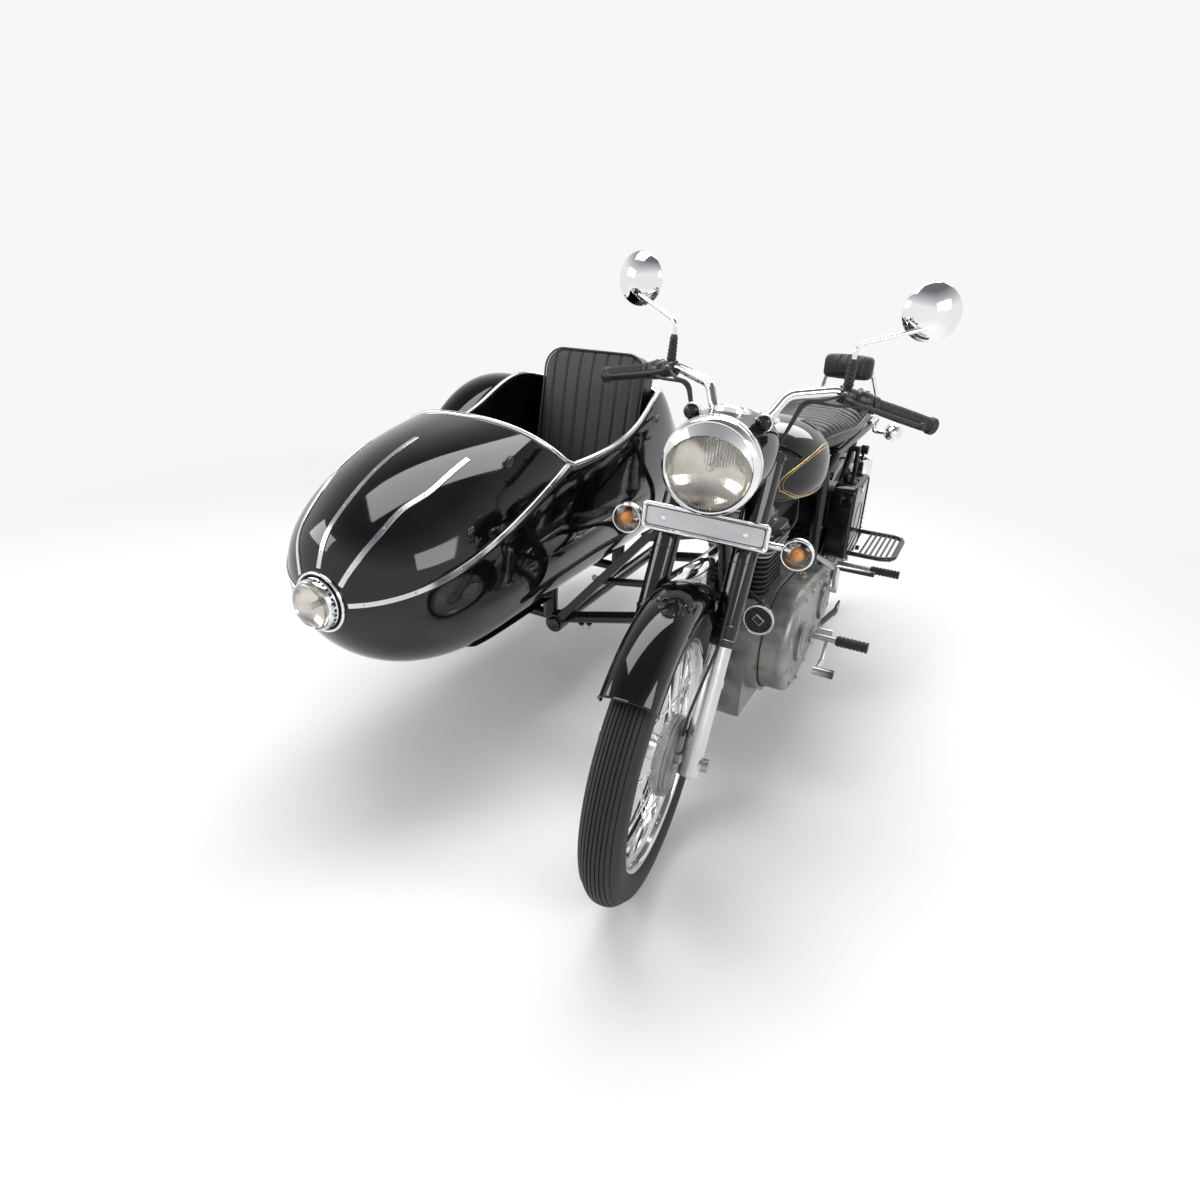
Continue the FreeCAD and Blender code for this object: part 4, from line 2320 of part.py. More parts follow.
def flat_bar(start, end):
    """Rectangular-section bar between two points, lengthened by half its height at each end."""
    direction = (end - start).normalize()
    start = start - direction * (upper_bar_height * HALF)
    length = (end - start).Length + upper_bar_height * HALF
    half_y = upper_bar_width * HALF
    half_z = upper_bar_height * HALF
    bar = block(at(0, -half_y, -half_z), at(length, half_y, half_z))
    bar.Placement = FreeCAD.Placement(start, FreeCAD.Rotation(direction, Y_AXIS, Z_AXIS, "XYZ"))
    return bar


def down_tube_y(z):
    """Centre of the down tube at a height."""
    high = on_steering_axis(down_tube_front_z)
    share = (high.z - z) / (high.z - down_tube_low_z)
    return high.y + (down_tube_low_y - high.y) * share


def strut_clamps():
    """Clamp plates and bolts that hold the struts to the motorcycle's frame."""
    centre = at(0, down_tube_y(upper_front_z), upper_front_z)
    axis = (at(0, down_tube_low_y, down_tube_low_z) - on_steering_axis(down_tube_front_z)).normalize()
    collar = rod(centre - axis * (clamp_length * HALF), centre + axis * (clamp_length * HALF), clamp_radius)
    plate = block(
        at(
            -engine_plate_half - clamp_plate,
            down_tube_low_y - main_tube_radius * 2,
            down_tube_low_z - engine_plate_height,
        ),
        at(
            -engine_plate_half - air_gap,
            down_tube_low_y + main_tube_radius,
            link_end_z + clamp_radius,
        ),
    )
    pieces = [collar, plate]
    rear = at(-rail_half, upper_rear_y, rail_z)
    pieces.append(rod(
        rear - Y_AXIS * (clamp_length * HALF),
        rear + Y_AXIS * (clamp_length * HALF),
        rail_radius + guard_wall,
    ))
    return Part.makeCompound(pieces)


def sidecar_axle():
    """Stub axle of the third wheel in its carrier tube on the outer rail."""
    rail_x = sidecar_centre_x - side_rail_half
    carrier_end = side_axle.x + hub_half_width + brake_plate_gap
    carrier = rod(
        at(rail_x, side_axle.y, side_axle.z),
        at(carrier_end, side_axle.y, side_axle.z),
        side_axle_height,
    )
    tip = side_axle.x - hub_half_width - stub_axle_tip * HALF
    axle = rod(at(rail_x, side_axle.y, side_axle.z), at(tip, side_axle.y, side_axle.z), axle_radius)
    nut_start = side_axle.x - hub_half_width - brake_plate_gap
    nut = rod(
        at(nut_start, side_axle.y, side_axle.z),
        at(nut_start - axle_nut_length, side_axle.y, side_axle.z),
        axle_nut_radius,
    )
    arch = rod(
        at(rail_x, side_axle.y - clamp_length, side_rail_z),
        at(rail_x, side_axle.y + clamp_length, side_rail_z),
        clamp_radius,
    )
    return fuse([carrier, axle, nut, arch])


def take(piece, carriers):
    """Trims a piece to the faces of what carries it."""
    for carrier in carriers:
        piece = piece.cut(carrier)
    return piece


def steered_pieces():
    """Everything that turns with the fork, drawn straight ahead."""
    yokes = fork_yokes()
    sliders = fork_sliders()
    crown = fuse([yokes] + fork_shrouds().Solids)
    axle = front_axle_bar().cut(sliders)
    bar = handlebar().cut(yokes)
    casing = take(nacelle(), [bar, crown])
    controls = bar_controls().cut(bar)
    cables = take(control_cables(), [crown, bar, casing, controls])
    pieces = {
        "front_tyre": tyre(front_axle, front_tyre_half_width),
        "front_wheel": wheel(front_axle, True),
        "fork_sliders": sliders,
        "fork_crown": crown,
        "front_axle": axle,
        "front_mudguard": largest(take(front_mudguard(), [sliders, crown]), 1),
        "nacelle": casing,
        "headlamp": Part.makeCompound([headlamp(), headlamp_lens()]),
        "front_lamps": Part.makeCompound(pilot_lamps().cut(casing).Solids + front_indicators().Solids),
        "front_plate": largest(front_plate().cut(crown), 1),
        "handlebar": bar,
        "grips": grips(),
        "bar_controls": controls,
        "mirrors": mirrors().cut(controls),
        "control_cables": largest(cables, 4),
    }
    for shape in pieces.values():
        shape.rotate(steer_foot, UP_FORK, steer_rest_deg)
    return pieces


def machine_pieces():
    """The motorcycle without its fork."""
    case = crankcase()
    frame = largest(fuse([main_frame(), stand_bracket()]).cut(case), 1)
    arm = swinging_arm()
    gear, kick, brake = foot_controls()
    guard = rear_mudguard().cut(frame)
    covers = Part.makeCompound([left_cover(), right_cover()])
    pegs = take(rider_pegs(), [case, frame])
    header = exhaust_header().cut(cylinder_head())
    pillion = pillion_pegs().cut(frame)
    carrier = rear_carrier().cut(frame)
    lamp = largest(tail_lamp().cut(guard), 1)
    signals = rear_indicators().cut(frame)
    controls = take(Part.makeCompound([gear, kick, brake]), [covers, pegs])
    return {
        "rear_tyre": tyre(rear_axle, rear_tyre_half_width),
        "rear_wheel": wheel(rear_axle, False, True),
        "main_frame": frame,
        "swinging_arm": arm,
        "rear_axle": rear_axle_bar().cut(arm),
        "shock_absorbers": shock_absorbers(),
        "crankcase": case,
        "engine_covers": covers,
        "cylinder": Part.makeCompound([cylinder_barrel().cut(case), cylinder_head()]),
        "carburettor": take(carburettor(), [frame]),
        "exhaust": take(Part.makeCompound([header, silencer().cut(header)]), [frame, pillion]),
        "fuel_tank": fuel_tank(),
        "dual_seat": dual_seat().cut(frame),
        "side_boxes": take(side_boxes(), [frame]),
        "rear_mudguard": guard,
        "rear_carrier": carrier,
        "backrest_pad": backrest_pad().cut(carrier),
        "rear_lamps": Part.makeCompound([lamp] + signals.Solids),
        "horn": horn().cut(frame),
        "footrests": Part.makeCompound(pegs.Solids + pillion.Solids),
        "side_step": side_step(),
        "foot_controls": controls,
        "drive_chain": chain_loop(),
        "chain_guard": chain_guard().cut(arm),
        "side_stand": side_stand(),
    }


def sidecar_pieces(machine):
    """The sidecar and what joins it to the motorcycle."""
    shell = sidecar_shell()
    carriers = [machine["main_frame"], machine["crankcase"]]
    frame = take(fuse([sidecar_frame()] + strut_clamps().Solids), carriers)
    room = body_loft(-body_wall - rim_proud - air_gap)
    seat_frame = sidecar_seat_frame(room)
    bead = cockpit_rim()
    return {
        "sidecar_tub": sidecar_tub(shell),
        "sidecar_cowl": sidecar_cowl(shell),
        "cockpit_rim": bead,
        "trim_strips": trim_strips(),
        "nose_lamp": Part.makeCompound(list(nose_lamp())),
        "sidecar_seat_base": sidecar_seat_base().common(room).cut(seat_frame),
        "sidecar_seat_back": take(sidecar_seat_back(), [seat_frame, bead]),
        "sidecar_seat_frame": seat_frame,
        "sidecar_frame": frame,
        "sidecar_axle": sidecar_axle().cut(frame),
        "sidecar_mudguard": take(sidecar_mudguard(), [frame]),
        "sidecar_tyre": tyre(side_axle, front_tyre_half_width),
        "sidecar_wheel": wheel(side_axle),
    }


def footprint_shift(pieces):
    """Move that brings the middle of the footprint box to the origin."""
    box = Part.makeCompound(list(pieces.values())).optimalBoundingBox(True, False)
    return Vector(-box.Center.x, -box.Center.y, 0)


def main():
    pieces = steered_pieces()
    pieces.update(machine_pieces())
    pieces.update(sidecar_pieces(pieces))
    shift = footprint_shift(pieces)
    os.makedirs("parts", exist_ok=True)
    for name, shape in pieces.items():
        shape.translate(shift)
        shape.exportStep("parts/" + name + ".step")


if __name__ == "__main__":
    main()
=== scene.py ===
import json
import math

import bmesh
import bpy
import numpy
from mathutils import Matrix, Vector


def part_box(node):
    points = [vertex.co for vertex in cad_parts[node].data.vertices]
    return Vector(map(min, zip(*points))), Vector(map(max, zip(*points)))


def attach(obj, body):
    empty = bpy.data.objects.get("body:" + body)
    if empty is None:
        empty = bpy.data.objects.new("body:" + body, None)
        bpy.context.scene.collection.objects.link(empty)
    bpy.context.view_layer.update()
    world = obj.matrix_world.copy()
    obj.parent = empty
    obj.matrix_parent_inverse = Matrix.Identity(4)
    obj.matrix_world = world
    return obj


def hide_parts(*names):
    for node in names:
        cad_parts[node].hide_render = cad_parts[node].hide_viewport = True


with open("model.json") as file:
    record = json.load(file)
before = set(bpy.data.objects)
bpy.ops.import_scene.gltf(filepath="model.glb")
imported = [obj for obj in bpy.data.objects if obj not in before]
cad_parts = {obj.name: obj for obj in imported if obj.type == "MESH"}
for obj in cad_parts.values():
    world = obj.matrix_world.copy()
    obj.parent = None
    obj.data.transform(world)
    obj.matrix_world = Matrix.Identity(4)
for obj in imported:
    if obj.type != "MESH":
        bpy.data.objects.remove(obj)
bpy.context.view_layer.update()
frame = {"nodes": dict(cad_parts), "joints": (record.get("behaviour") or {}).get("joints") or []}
nodes = frame["nodes"]


def v3(x, y, z):
    return Vector((x, y, z))


# Working frame: the machine's own, in millimetres. x to its left, y backwards from the front axle, z up.
# One shift and the resting turn of the steering bring it into the frame's own place.
MM = 0.001
X, Y, Z = v3(1, 0, 0), v3(0, 1, 0), v3(0, 0, 1)
SIDES = (-1, 1)
FULL = 2 * math.pi
WHEELBASE = 1370.0
WHEEL_RADIUS = 325.0
REST_STEER_DEG = 7.0
RAKE = math.radians(28.0)
FRONT_AXLE = v3(0, 0, WHEEL_RADIUS)
REAR_AXLE = v3(0, WHEELBASE, WHEEL_RADIUS)
SIDE_AXLE = v3(-1180, 1130, WHEEL_RADIUS)

rear_low, rear_high = (Vector(corner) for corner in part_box("rear_tyre"))
rear_centre = (rear_low + rear_high) / 2
SHIFT = Vector((rear_centre.x, rear_centre.y - WHEELBASE * MM, 0.0))
steering = next(j for j in frame["joints"] if j["name"] == "steering_turn")
PIVOT = Vector(steering["pos_m"])
TURN = (Matrix.Translation(PIVOT) @ Matrix.Rotation(math.radians(REST_STEER_DEG), 4, Vector(steering["axis"]))
        @ Matrix.Translation(-PIVOT))
PLACE = Matrix.Translation(SHIFT) @ Matrix.Scale(MM, 4)


# Materials: each one is a Principled surface with its own mottling, roughness spread and relief

def fill(node, **values):
    """Sets a node's own sockets by name, with underscores for spaces."""
    for name, value in values.items():
        node.inputs[name.replace("_", " ")].default_value = value
    return node


def new_node(tree, kind, **values):
    return fill(tree.nodes.new("ShaderNode" + kind), **values)


def colour_ramp(tree, factor, stops):
    """Colour over a factor: the two end stops, then any between them."""
    ramp = new_node(tree, "ValToRGB")
    elements = ramp.color_ramp.elements
    for position, colour in stops[2:]:
        elements.new(position).color = (*colour, 1)
    for element, (position, colour) in zip((elements[0], elements[len(elements) - 1]), stops):
        element.position = position
        element.color = (*colour, 1)
    tree.links.new(factor, ramp.inputs["Fac"])
    return ramp.outputs["Color"]


def surface(name, colour, roughness, metallic=0.0, mottle=0.15, spread=0.06, relief=0.0, relief_scale=300.0,
            mottle_scale=9.0, stretch=(1.0, 1.0, 1.0), second=None, second_from=0.62, grain="TexNoise",
            coat=0.0, ior=1.5, transmission=0.0):
    """Principled material with noise in its colour, roughness and relief."""
    mat = bpy.data.materials.new(name)
    mat.use_nodes = True
    tree = mat.node_tree
    link = tree.links.new
    shader = fill(tree.nodes["Principled BSDF"], Metallic=metallic, Coat_Weight=coat, Coat_Roughness=0.04,
                  IOR=ior, Transmission_Weight=transmission)
    mapping = new_node(tree, "Mapping", Scale=stretch)
    link(new_node(tree, "TexCoord").outputs["Object"], mapping.inputs["Vector"])
    noise = new_node(tree, "TexNoise", Scale=mottle_scale, Detail=6.0)
    link(mapping.outputs["Vector"], noise.inputs["Vector"])
    dark, light = ([min(1.0, c * (1 + change)) for c in colour] for change in (-mottle, mottle))
    stops = [(0.35, dark), (0.66, light)]
    if second:
        stops = [(0.35, dark), (second_from + 0.14, second), (second_from, light)]
    link(colour_ramp(tree, noise.outputs["Fac"], stops), shader.inputs["Base Color"])
    rough = new_node(tree, "MapRange", From_Min=0.3, From_Max=0.7, To_Min=max(0.02, roughness - spread),
                     To_Max=roughness + spread)
    link(noise.outputs["Fac"], rough.inputs["Value"])
    link(rough.outputs["Result"], shader.inputs["Roughness"])
    if relief:
        fine = new_node(tree, grain, Scale=relief_scale)
        if grain == "TexNoise":
            fill(fine, Detail=4.0)
        link(mapping.outputs["Vector"], fine.inputs["Vector"])
        bump = new_node(tree, "Bump", Strength=relief, Distance=0.001)
        link(fine.outputs["Fac" if grain == "TexNoise" else "Distance"], bump.inputs["Height"])
        link(bump.outputs["Normal"], shader.inputs["Normal"])
    return mat


M = {
    "paint": surface("gloss_black_paint", (0.004, 0.004, 0.005), 0.06, 0, 0.3, 0.03, 0.02, 30),
    "frame": surface("frame_black_enamel", (0.008, 0.008, 0.009), 0.24, 0, 0.3, 0.08, 0.08, 120),
    "chrome": surface("polished_chrome", (0.86, 0.87, 0.88), 0.07, 1, 0.05, 0.035, 0.02, 60),
    "rim_chrome": surface("wheel_chrome", (0.78, 0.78, 0.79), 0.12, 1, 0.1, second=(0.5, 0.46, 0.42),
                          second_from=0.68),
    "alloy": surface("brushed_alloy", (0.66, 0.66, 0.65), 0.3, 1, 0.12, 0.08, 0.12, 500,
                     stretch=(1.0, 1.0, 0.08)),
    "cast": surface("weathered_cast_alloy", (0.27, 0.27, 0.262), 0.44, 0.85, 0.28, 0.12, 0.3, 420, 14,
                    second=(0.2, 0.18, 0.15), second_from=0.6),
    "fin": surface("black_barrel_iron", (0.045, 0.044, 0.042), 0.55, 0.6, 0.3, 0.06, 0.3, 350,
                   second=(0.1, 0.08, 0.06), second_from=0.66),
    "head": surface("cast_head_alloy", (0.3, 0.3, 0.29), 0.5, 0.8, 0.25, 0.06, 0.3, 350),
    "steel": surface("plain_steel", (0.42, 0.42, 0.41), 0.34, 1, 0.2, 0.06, 0.1, 260),
    "chain": surface("oiled_chain_steel", (0.16, 0.15, 0.14), 0.36, 0.95, 0.35, 0.06, 0.15,
                     second=(0.08, 0.06, 0.04)),
    "tyre": surface("tyre_rubber", (0.018, 0.018, 0.018), 0.72, 0, 0.3, 0.1, 0.25, 700,
                    second=(0.06, 0.056, 0.05), second_from=0.7),
    "rubber": surface("black_rubber", (0.014, 0.014, 0.014), 0.55, 0, 0.25, 0.06, 0.15, 600),
    "vinyl": surface("black_seat_vinyl", (0.012, 0.012, 0.013), 0.34, 0, 0.25, 0.06, 0.5, 650,
                     grain="TexVoronoi"),
    "piping": surface("vinyl_piping", (0.018, 0.018, 0.019), 0.3, 0, 0.2, 0.06, 0.2, 500),
    "plastic": surface("black_plastic", (0.02, 0.02, 0.021), 0.36, 0, 0.2, 0.06, 0.15, 400),
    "orange": surface("orange_switch", (0.7, 0.16, 0.02), 0.35, 0, 0.1, 0.06, 0.05),
    "amber": surface("amber_bulb", (0.86, 0.3, 0.02), 0.22, 0, 0.12, 0.06, 0.05, 90),
    "red": surface("red_lens", (0.42, 0.01, 0.01), 0.16, 0, 0.15, 0.06, 0.1, 90, coat=0.5),
    "glass": surface("clear_lens", (0.95, 0.95, 0.94), 0.03, 0, 0.02, 0.01, 0.05, 50, coat=1.0, ior=1.2,
                     transmission=1.0),
    "reflector": surface("lamp_reflector", (0.66, 0.63, 0.57), 0.12, 1, 0.14, 0.05, 0.06, 60),
    "mirror": surface("mirror_glass", (0.8, 0.82, 0.84), 0.025, 1, 0.03, 0.005),
    "silver": surface("silver_plate", (0.62, 0.63, 0.64), 0.34, 0.35, 0.08, 0.06, 0.12, 22),
    "strip": surface("polished_strip", (0.74, 0.74, 0.75), 0.2, 1, 0.1, 0.07, 0.08, 200),
    "gold": surface("gold_pinstripe", (0.62, 0.44, 0.16), 0.3, 0.7, 0.12, 0.06, 0.05),
    # Flat black: the real colour of the dial face, plate border, gasket lines, lid seams and seat frame, and
    # also painted shade in the nose lamp's gap and slots and behind the horn's slats.
    "dark": surface("flat_black_and_painted_shade", (0.008, 0.008, 0.008), 0.8, 0, 0.2, 0.06, 0.1),
    "mat": surface("floor_rubber_mat", (0.03, 0.03, 0.03), 0.75, 0, 0.3, 0.06, 0.6, 180),
}


# Mesh building

def piece(name, shape, mats, node=None, body="chassis", face_mats=None, smooth_deg=40.0):
    """Adds a mesh given in the working frame, and rides it on its body."""
    mesh = bpy.data.meshes.new(name)
    mesh.from_pydata([tuple(v) for v in shape[0]], [], shape[1])
    mesh.transform(PLACE)
    if body in ("steering", "front_roller"):
        mesh.transform(TURN)
    for mat in mats:
        mesh.materials.append(M[mat])
    if face_mats is not None:
        mesh.polygons.foreach_set("material_index", face_mats)
    mesh.validate()
    mesh.update()
    work = bmesh.new()
    work.from_mesh(mesh)
    bmesh.ops.recalc_face_normals(work, faces=work.faces)
    work.to_mesh(mesh)
    work.free()
    mesh.polygons.foreach_set("use_smooth", [True] * len(mesh.polygons))
    mesh.set_sharp_from_angle(angle=math.radians(smooth_deg))
    obj = bpy.data.objects.new(name, mesh)
    bpy.context.scene.collection.objects.link(obj)
    if node:
        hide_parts(node)
    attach(obj, body)
    return obj


def even(start, end, count):
    return [start + (end - start) * i / (count - 1) for i in range(count)]


def round_angles(count, start=0.0):
    return [start + FULL * k / count for k in range(count)]


def grid(rows, closed=True, caps=False):
    """Quads between rows of points; a closed row joins its last point to its first."""
    count = len(rows[0])
    verts = [p for row in rows for p in row]
    faces = []
    for r in range(len(rows) - 1):
        for i in range(count if closed else count - 1):
            j = (i + 1) % count
            faces.append([r * count + i, r * count + j, (r + 1) * count + j, (r + 1) * count + i])
    if caps:
        faces.append(list(range(count)))
        faces.append([(len(rows) - 1) * count + i for i in range(count)])
    return verts, faces


def axes_of(direction):
    """A direction's unit vector and two more square to it."""
    along = Vector(direction).normalized()
    side = along.cross(Z)
    if side.length < 0.1:
        side = along.cross(X)
    side.normalize()
    return along, side, side.cross(along)


def turned(profile, centre, direction, count=48, closed=False):
    """Surface turned about a direction from (distance along it, radius) points."""
    along, side, up = axes_of(direction)
    rows = []
    for angle in round_angles(count):
        spoke = side * math.cos(angle) + up * math.sin(angle)
        rows.append([Vector(centre) + along * a + spoke * r for a, r in profile])
    return grid(rows + rows[:1], closed)


def smooth_path(points, step=8.0):
    """Catmull-Rom run through the points, sampled about every step."""
    pts = [Vector(p) for p in points]
    pts = [pts[0] * 2 - pts[1]] + pts + [pts[-1] * 2 - pts[-2]]
    out = []
    for a, b, c, d in zip(pts, pts[1:], pts[2:], pts[3:]):
        count = max(2, int((c - b).length / step))
        for t in (i / count for i in range(count)):
            out.append(0.5 * ((2 * b) + (c - a) * t + (2 * a - 5 * b + 4 * c - d) * t * t
                              + (3 * b - a - 3 * c + d) * t ** 3))
    return out + [pts[-2]]


def bent(points, bend, step_deg=7.0):
    """Run of points with round bends at the corners."""
    pts = [Vector(p) for p in points]
    out = [pts[0]]
    for a, b, c in zip(pts, pts[1:], pts[2:]):
        into, out_of = (b - a).normalized(), (c - b).normalized()
        angle = into.angle(out_of, 0.0)
        if angle < 0.03:
            out.append(b)
            continue
        reach = min(bend * math.tan(angle / 2), (b - a).length * 0.48, (c - b).length * 0.48)
        radius = reach / math.tan(angle / 2)
        centre = b + (out_of - into).normalized() * (radius / math.cos(angle / 2))
        start = b - into * reach
        count = max(2, int(math.degrees(angle) / step_deg))
        axis = into.cross(out_of).normalized()
        for i in range(count + 1):
            out.append(centre + Matrix.Rotation(angle * i / count, 3, axis) @ (start - centre))
    return out + [pts[-1]]


def tube(points, radius, count=12, closed=False, scale=None, flat=1.0, up_hint=None):
    """Round or oval tube along a run of points."""
    pts = [Vector(p) for p in points]
    rows = []
    normal = None
    total = len(pts)
    for i, p in enumerate(pts):
        before = pts[i - 1] if (i or closed) else p
        after = pts[(i + 1) % total] if (i < total - 1 or closed) else p
        along = (after - before).normalized()
        if normal is None:
            normal = Vector(up_hint) if up_hint else axes_of(along)[1]
        normal = (normal - along * normal.dot(along)).normalized()
        other = along.cross(normal)
        r = radius * (scale(i / (total - 1)) if scale else 1.0)
        rows.append([p + normal * (math.cos(a) * r) + other * (math.sin(a) * r * flat)
                     for a in round_angles(count)])
    return grid(rows + rows[:1]) if closed else grid(rows, caps=True)


def box_mesh(low, high, taper, matrix=None):
    """Box with its edges drawn in a little."""
    rows = []
    for z, inset in ((low[2], taper), (low[2] + taper, 0), (high[2] - taper, 0), (high[2], taper)):
        left, front, right, rear = low[0] + inset, low[1] + inset, high[0] - inset, high[1] - inset
        rows.append([v3(left, front, z), v3(right, front, z), v3(right, rear, z), v3(left, rear, z)])
    verts, faces = grid(rows)
    faces = [[3, 2, 1, 0], [12, 13, 14, 15]] + faces
    return (verts if matrix is None else [matrix @ v for v in verts]), faces


class Build:
    """Collects several shapes of one piece, each with its own material."""

    def __init__(self):
        self.verts, self.faces, self.mats, self.face_mats = [], [], [], []

    def add(self, mat, shape):
        base = len(self.verts)
        if mat not in self.mats:
            self.mats.append(mat)
        self.verts += [Vector(v) for v in shape[0]]
        self.faces += [[base + i for i in face] for face in shape[1]]
        self.face_mats += [self.mats.index(mat)] * len(shape[1])

    def grid(self, mat, rows, **options):
        self.add(mat, grid(rows, **options))

    def turn(self, mat, profile, centre, direction, count=48, closed=False):
        self.add(mat, turned(profile, centre, direction, count, closed))

    def tube(self, mat, points, radius, count=12, **options):
        self.add(mat, tube(points, radius, count, **options))

    def box(self, mat, low, high, taper, matrix=None):
        self.add(mat, box_mesh(low, high, taper, matrix))

    def bolt(self, mat, centre, direction, radius, height):
        """Six-sided bolt head with a washer under it."""
        washer = [(0, 0), (0, radius * 1.35), (height * 0.25, radius * 1.3), (height * 0.25, 0)]
        head = [(0, radius), (height * 0.85, radius), (height, radius * 0.84), (height, 0)]
        self.turn(mat, washer, centre, direction, 20)
        self.turn(mat, head, centre, direction, 6)


def drawn(name, node=None, body="chassis"):
    """Draws a piece with the function under this line and adds it."""
    def run(draw):
        kit = Build()
        draw(kit)
        piece(name, (kit.verts, kit.faces), kit.mats, node, body, kit.face_mats)
    return run


def running_length(points):
    """Distance gone along a run of points."""
    gone = [0.0]
    for a, b in zip(points, points[1:]):
        gone.append(gone[-1] + math.hypot(*(q - p for p, q in zip(a, b))))
    return gone


def spline(places, values):
    """Natural cubic spline through values at places, as a function."""
    x = numpy.array(places, float)
    y = numpy.array(values, float)
    h = numpy.diff(x)
    n = len(x)
    a = numpy.zeros((n, n))
    b = numpy.zeros(n)
    a[0, 0] = a[-1, -1] = 1.0
    for i in range(1, n - 1):
        a[i, i - 1:i + 2] = h[i - 1], 2 * (h[i - 1] + h[i]), h[i]
        b[i] = 6 * ((y[i + 1] - y[i]) / h[i] - (y[i] - y[i - 1]) / h[i - 1])
    m = numpy.linalg.solve(a, b)

    def value(t):
        i = int(min(max(numpy.searchsorted(x, t) - 1, 0), n - 2))
        left, right = x[i + 1] - t, t - x[i]
        return float((m[i] * left ** 3 + m[i + 1] * right ** 3) / (6 * h[i])
                     + (y[i] / h[i] - m[i] * h[i] / 6) * left
                     + (y[i + 1] / h[i] - m[i + 1] * h[i] / 6) * right)
    return value


class Loft:
    """Body drawn through a table of superellipse sections, smooth along its length by splines."""

    def __init__(self, shares, nose, length, half_width, low, height, centre_x=0.0, mid_share=0.5,
                 powers=None):
        table = [row if powers is None else (*row, *powers) for row in shares]
        self.nose, self.length, self.centre_x, self.mid_share = nose, length, centre_x, mid_share
        run = running_length([(length * row[0], half_width * row[1], height * row[3]) for row in table])
        self.run_of = [v / run[-1] for v in run]
        columns = ([row[0] for row in table], [row[1] * half_width for row in table],
                   [low + row[2] * height for row in table], [low + row[3] * height for row in table],
                   [row[4] for row in table], [row[5] for row in table])
        self.along, *self.values = (spline(self.run_of, column) for column in columns)

    def section(self, y):
        """Half width, low and high heights, and the upper and lower powers, at a place along the body."""
        share = (y - self.nose) / self.length
        low, high = 0.0, 1.0
        for _ in range(40):
            middle = (low + high) / 2
            if self.along(middle) < share:
                low = middle
            else:
                high = middle
        return [value((low + high) / 2) for value in self.values]

    def middle_of(self, low, high):
        return low + (high - low) * self.mid_share

    def point(self, y, angle, grow=0.0):
        """Point on the surface at a place along the body and an angle round it."""
        width, low, high, upper, lower = self.section(y)
        middle = self.middle_of(low - grow, high + grow)
        across, rise = math.cos(angle), math.sin(angle)
        power = upper if rise >= 0 else lower
        reach = (high + grow - middle) if rise >= 0 else (middle - low + grow)
        return v3(self.centre_x + (width + grow) * math.copysign(abs(across) ** (2 / power), across), y,
                  middle + reach * math.copysign(abs(rise) ** (2 / power), rise))

    def angle_at(self, y, z):
        """Section angle at which the right-hand quarter reaches a height."""
        width, low, high, upper, lower = self.section(y)
        middle = self.middle_of(low, high)
        if z >= middle:
            return math.asin(min(1.0, (z - middle) / (high - middle)) ** (upper / 2))
        return -math.asin(min(1.0, (middle - z) / (middle - low)) ** (lower / 2))

    def top_point(self, x, y):
        """Point on the upper surface over a place in plan."""
        width, low, high, upper, lower = self.section(y)
        middle = self.middle_of(low, high)
        share = min(1.0, abs(x - self.centre_x) / width)
        return v3(x, y, middle + (high - middle) * max(0.0, 1 - share ** upper) ** (1 / upper))

    def run(self, y, start=0.0, end=FULL, count=73):
        """Points at even distances along a section between two angles."""
        width, low, high, upper, lower = self.section(y)
        middle = self.middle_of(low, high)
        turn = numpy.linspace(start, end, 900)
        across, rise = numpy.cos(turn), numpy.sin(turn)
        power = numpy.where(rise >= 0, upper, lower)
        reach = numpy.where(rise >= 0, high - middle, middle - low)
        x = self.centre_x + width * numpy.sign(across) * numpy.abs(across) ** (2 / power)
        z = middle + reach * numpy.sign(rise) * numpy.abs(rise) ** (2 / power)
        gone = numpy.concatenate(([0.0], numpy.cumsum(numpy.hypot(numpy.diff(x), numpy.diff(z)))))
        wanted = numpy.linspace(0, gone[-1], count)
        return [v3(a, y, b) for a, b in zip(numpy.interp(wanted, gone, x), numpy.interp(wanted, gone, z))]

    def ring(self, y, count):
        """Closed section with an even spacing."""
        return self.run(y, count=count + 1)[:-1]


# Camera at the photograph's place, and the light

FOCAL_SHARE = 768.4 / 1200.0
CAMERA_PLACE = v3(515, -1247, 1282)
CAMERA_ANGLES = (27.36, 24.67, 2.14)


def place_camera():
    azimuth, elevation, roll = (math.radians(a) for a in CAMERA_ANGLES)
    back = v3(math.sin(azimuth) * math.cos(elevation), -math.cos(azimuth) * math.cos(elevation),
              math.sin(elevation))
    right = v3(math.cos(azimuth), math.sin(azimuth), 0)
    up = back.cross(right)
    side = right * math.cos(roll) + up * math.sin(roll)
    top = up * math.cos(roll) - right * math.sin(roll)
    data = bpy.data.cameras.new("camera")
    data.sensor_width = 36.0
    data.lens = data.sensor_width * FOCAL_SHARE
    data.clip_start = 0.05
    camera = bpy.data.objects.new("camera", data)
    matrix = Matrix((side, top, back)).transposed().to_4x4()
    matrix.translation = CAMERA_PLACE * MM + SHIFT
    camera.matrix_world = matrix
    bpy.context.scene.collection.objects.link(camera)
    bpy.context.scene.camera = camera


PALE = (0.93, 0.93, 0.935)
LAMPS = (
    ("top", (-0.3, 0.2, 3.3), 3.4, 1.5, 90.0),
    ("key", (-3.1, -2.3, 2.3), 2.6, 1.3, 60.0),
    ("fill", (3.2, -1.5, 2.2), 2.2, 1.2, 45.0),
    ("back", (0.4, 3.7, 3.0), 2.8, 1.3, 50.0),
)
FLOOR_REACH = 40.0


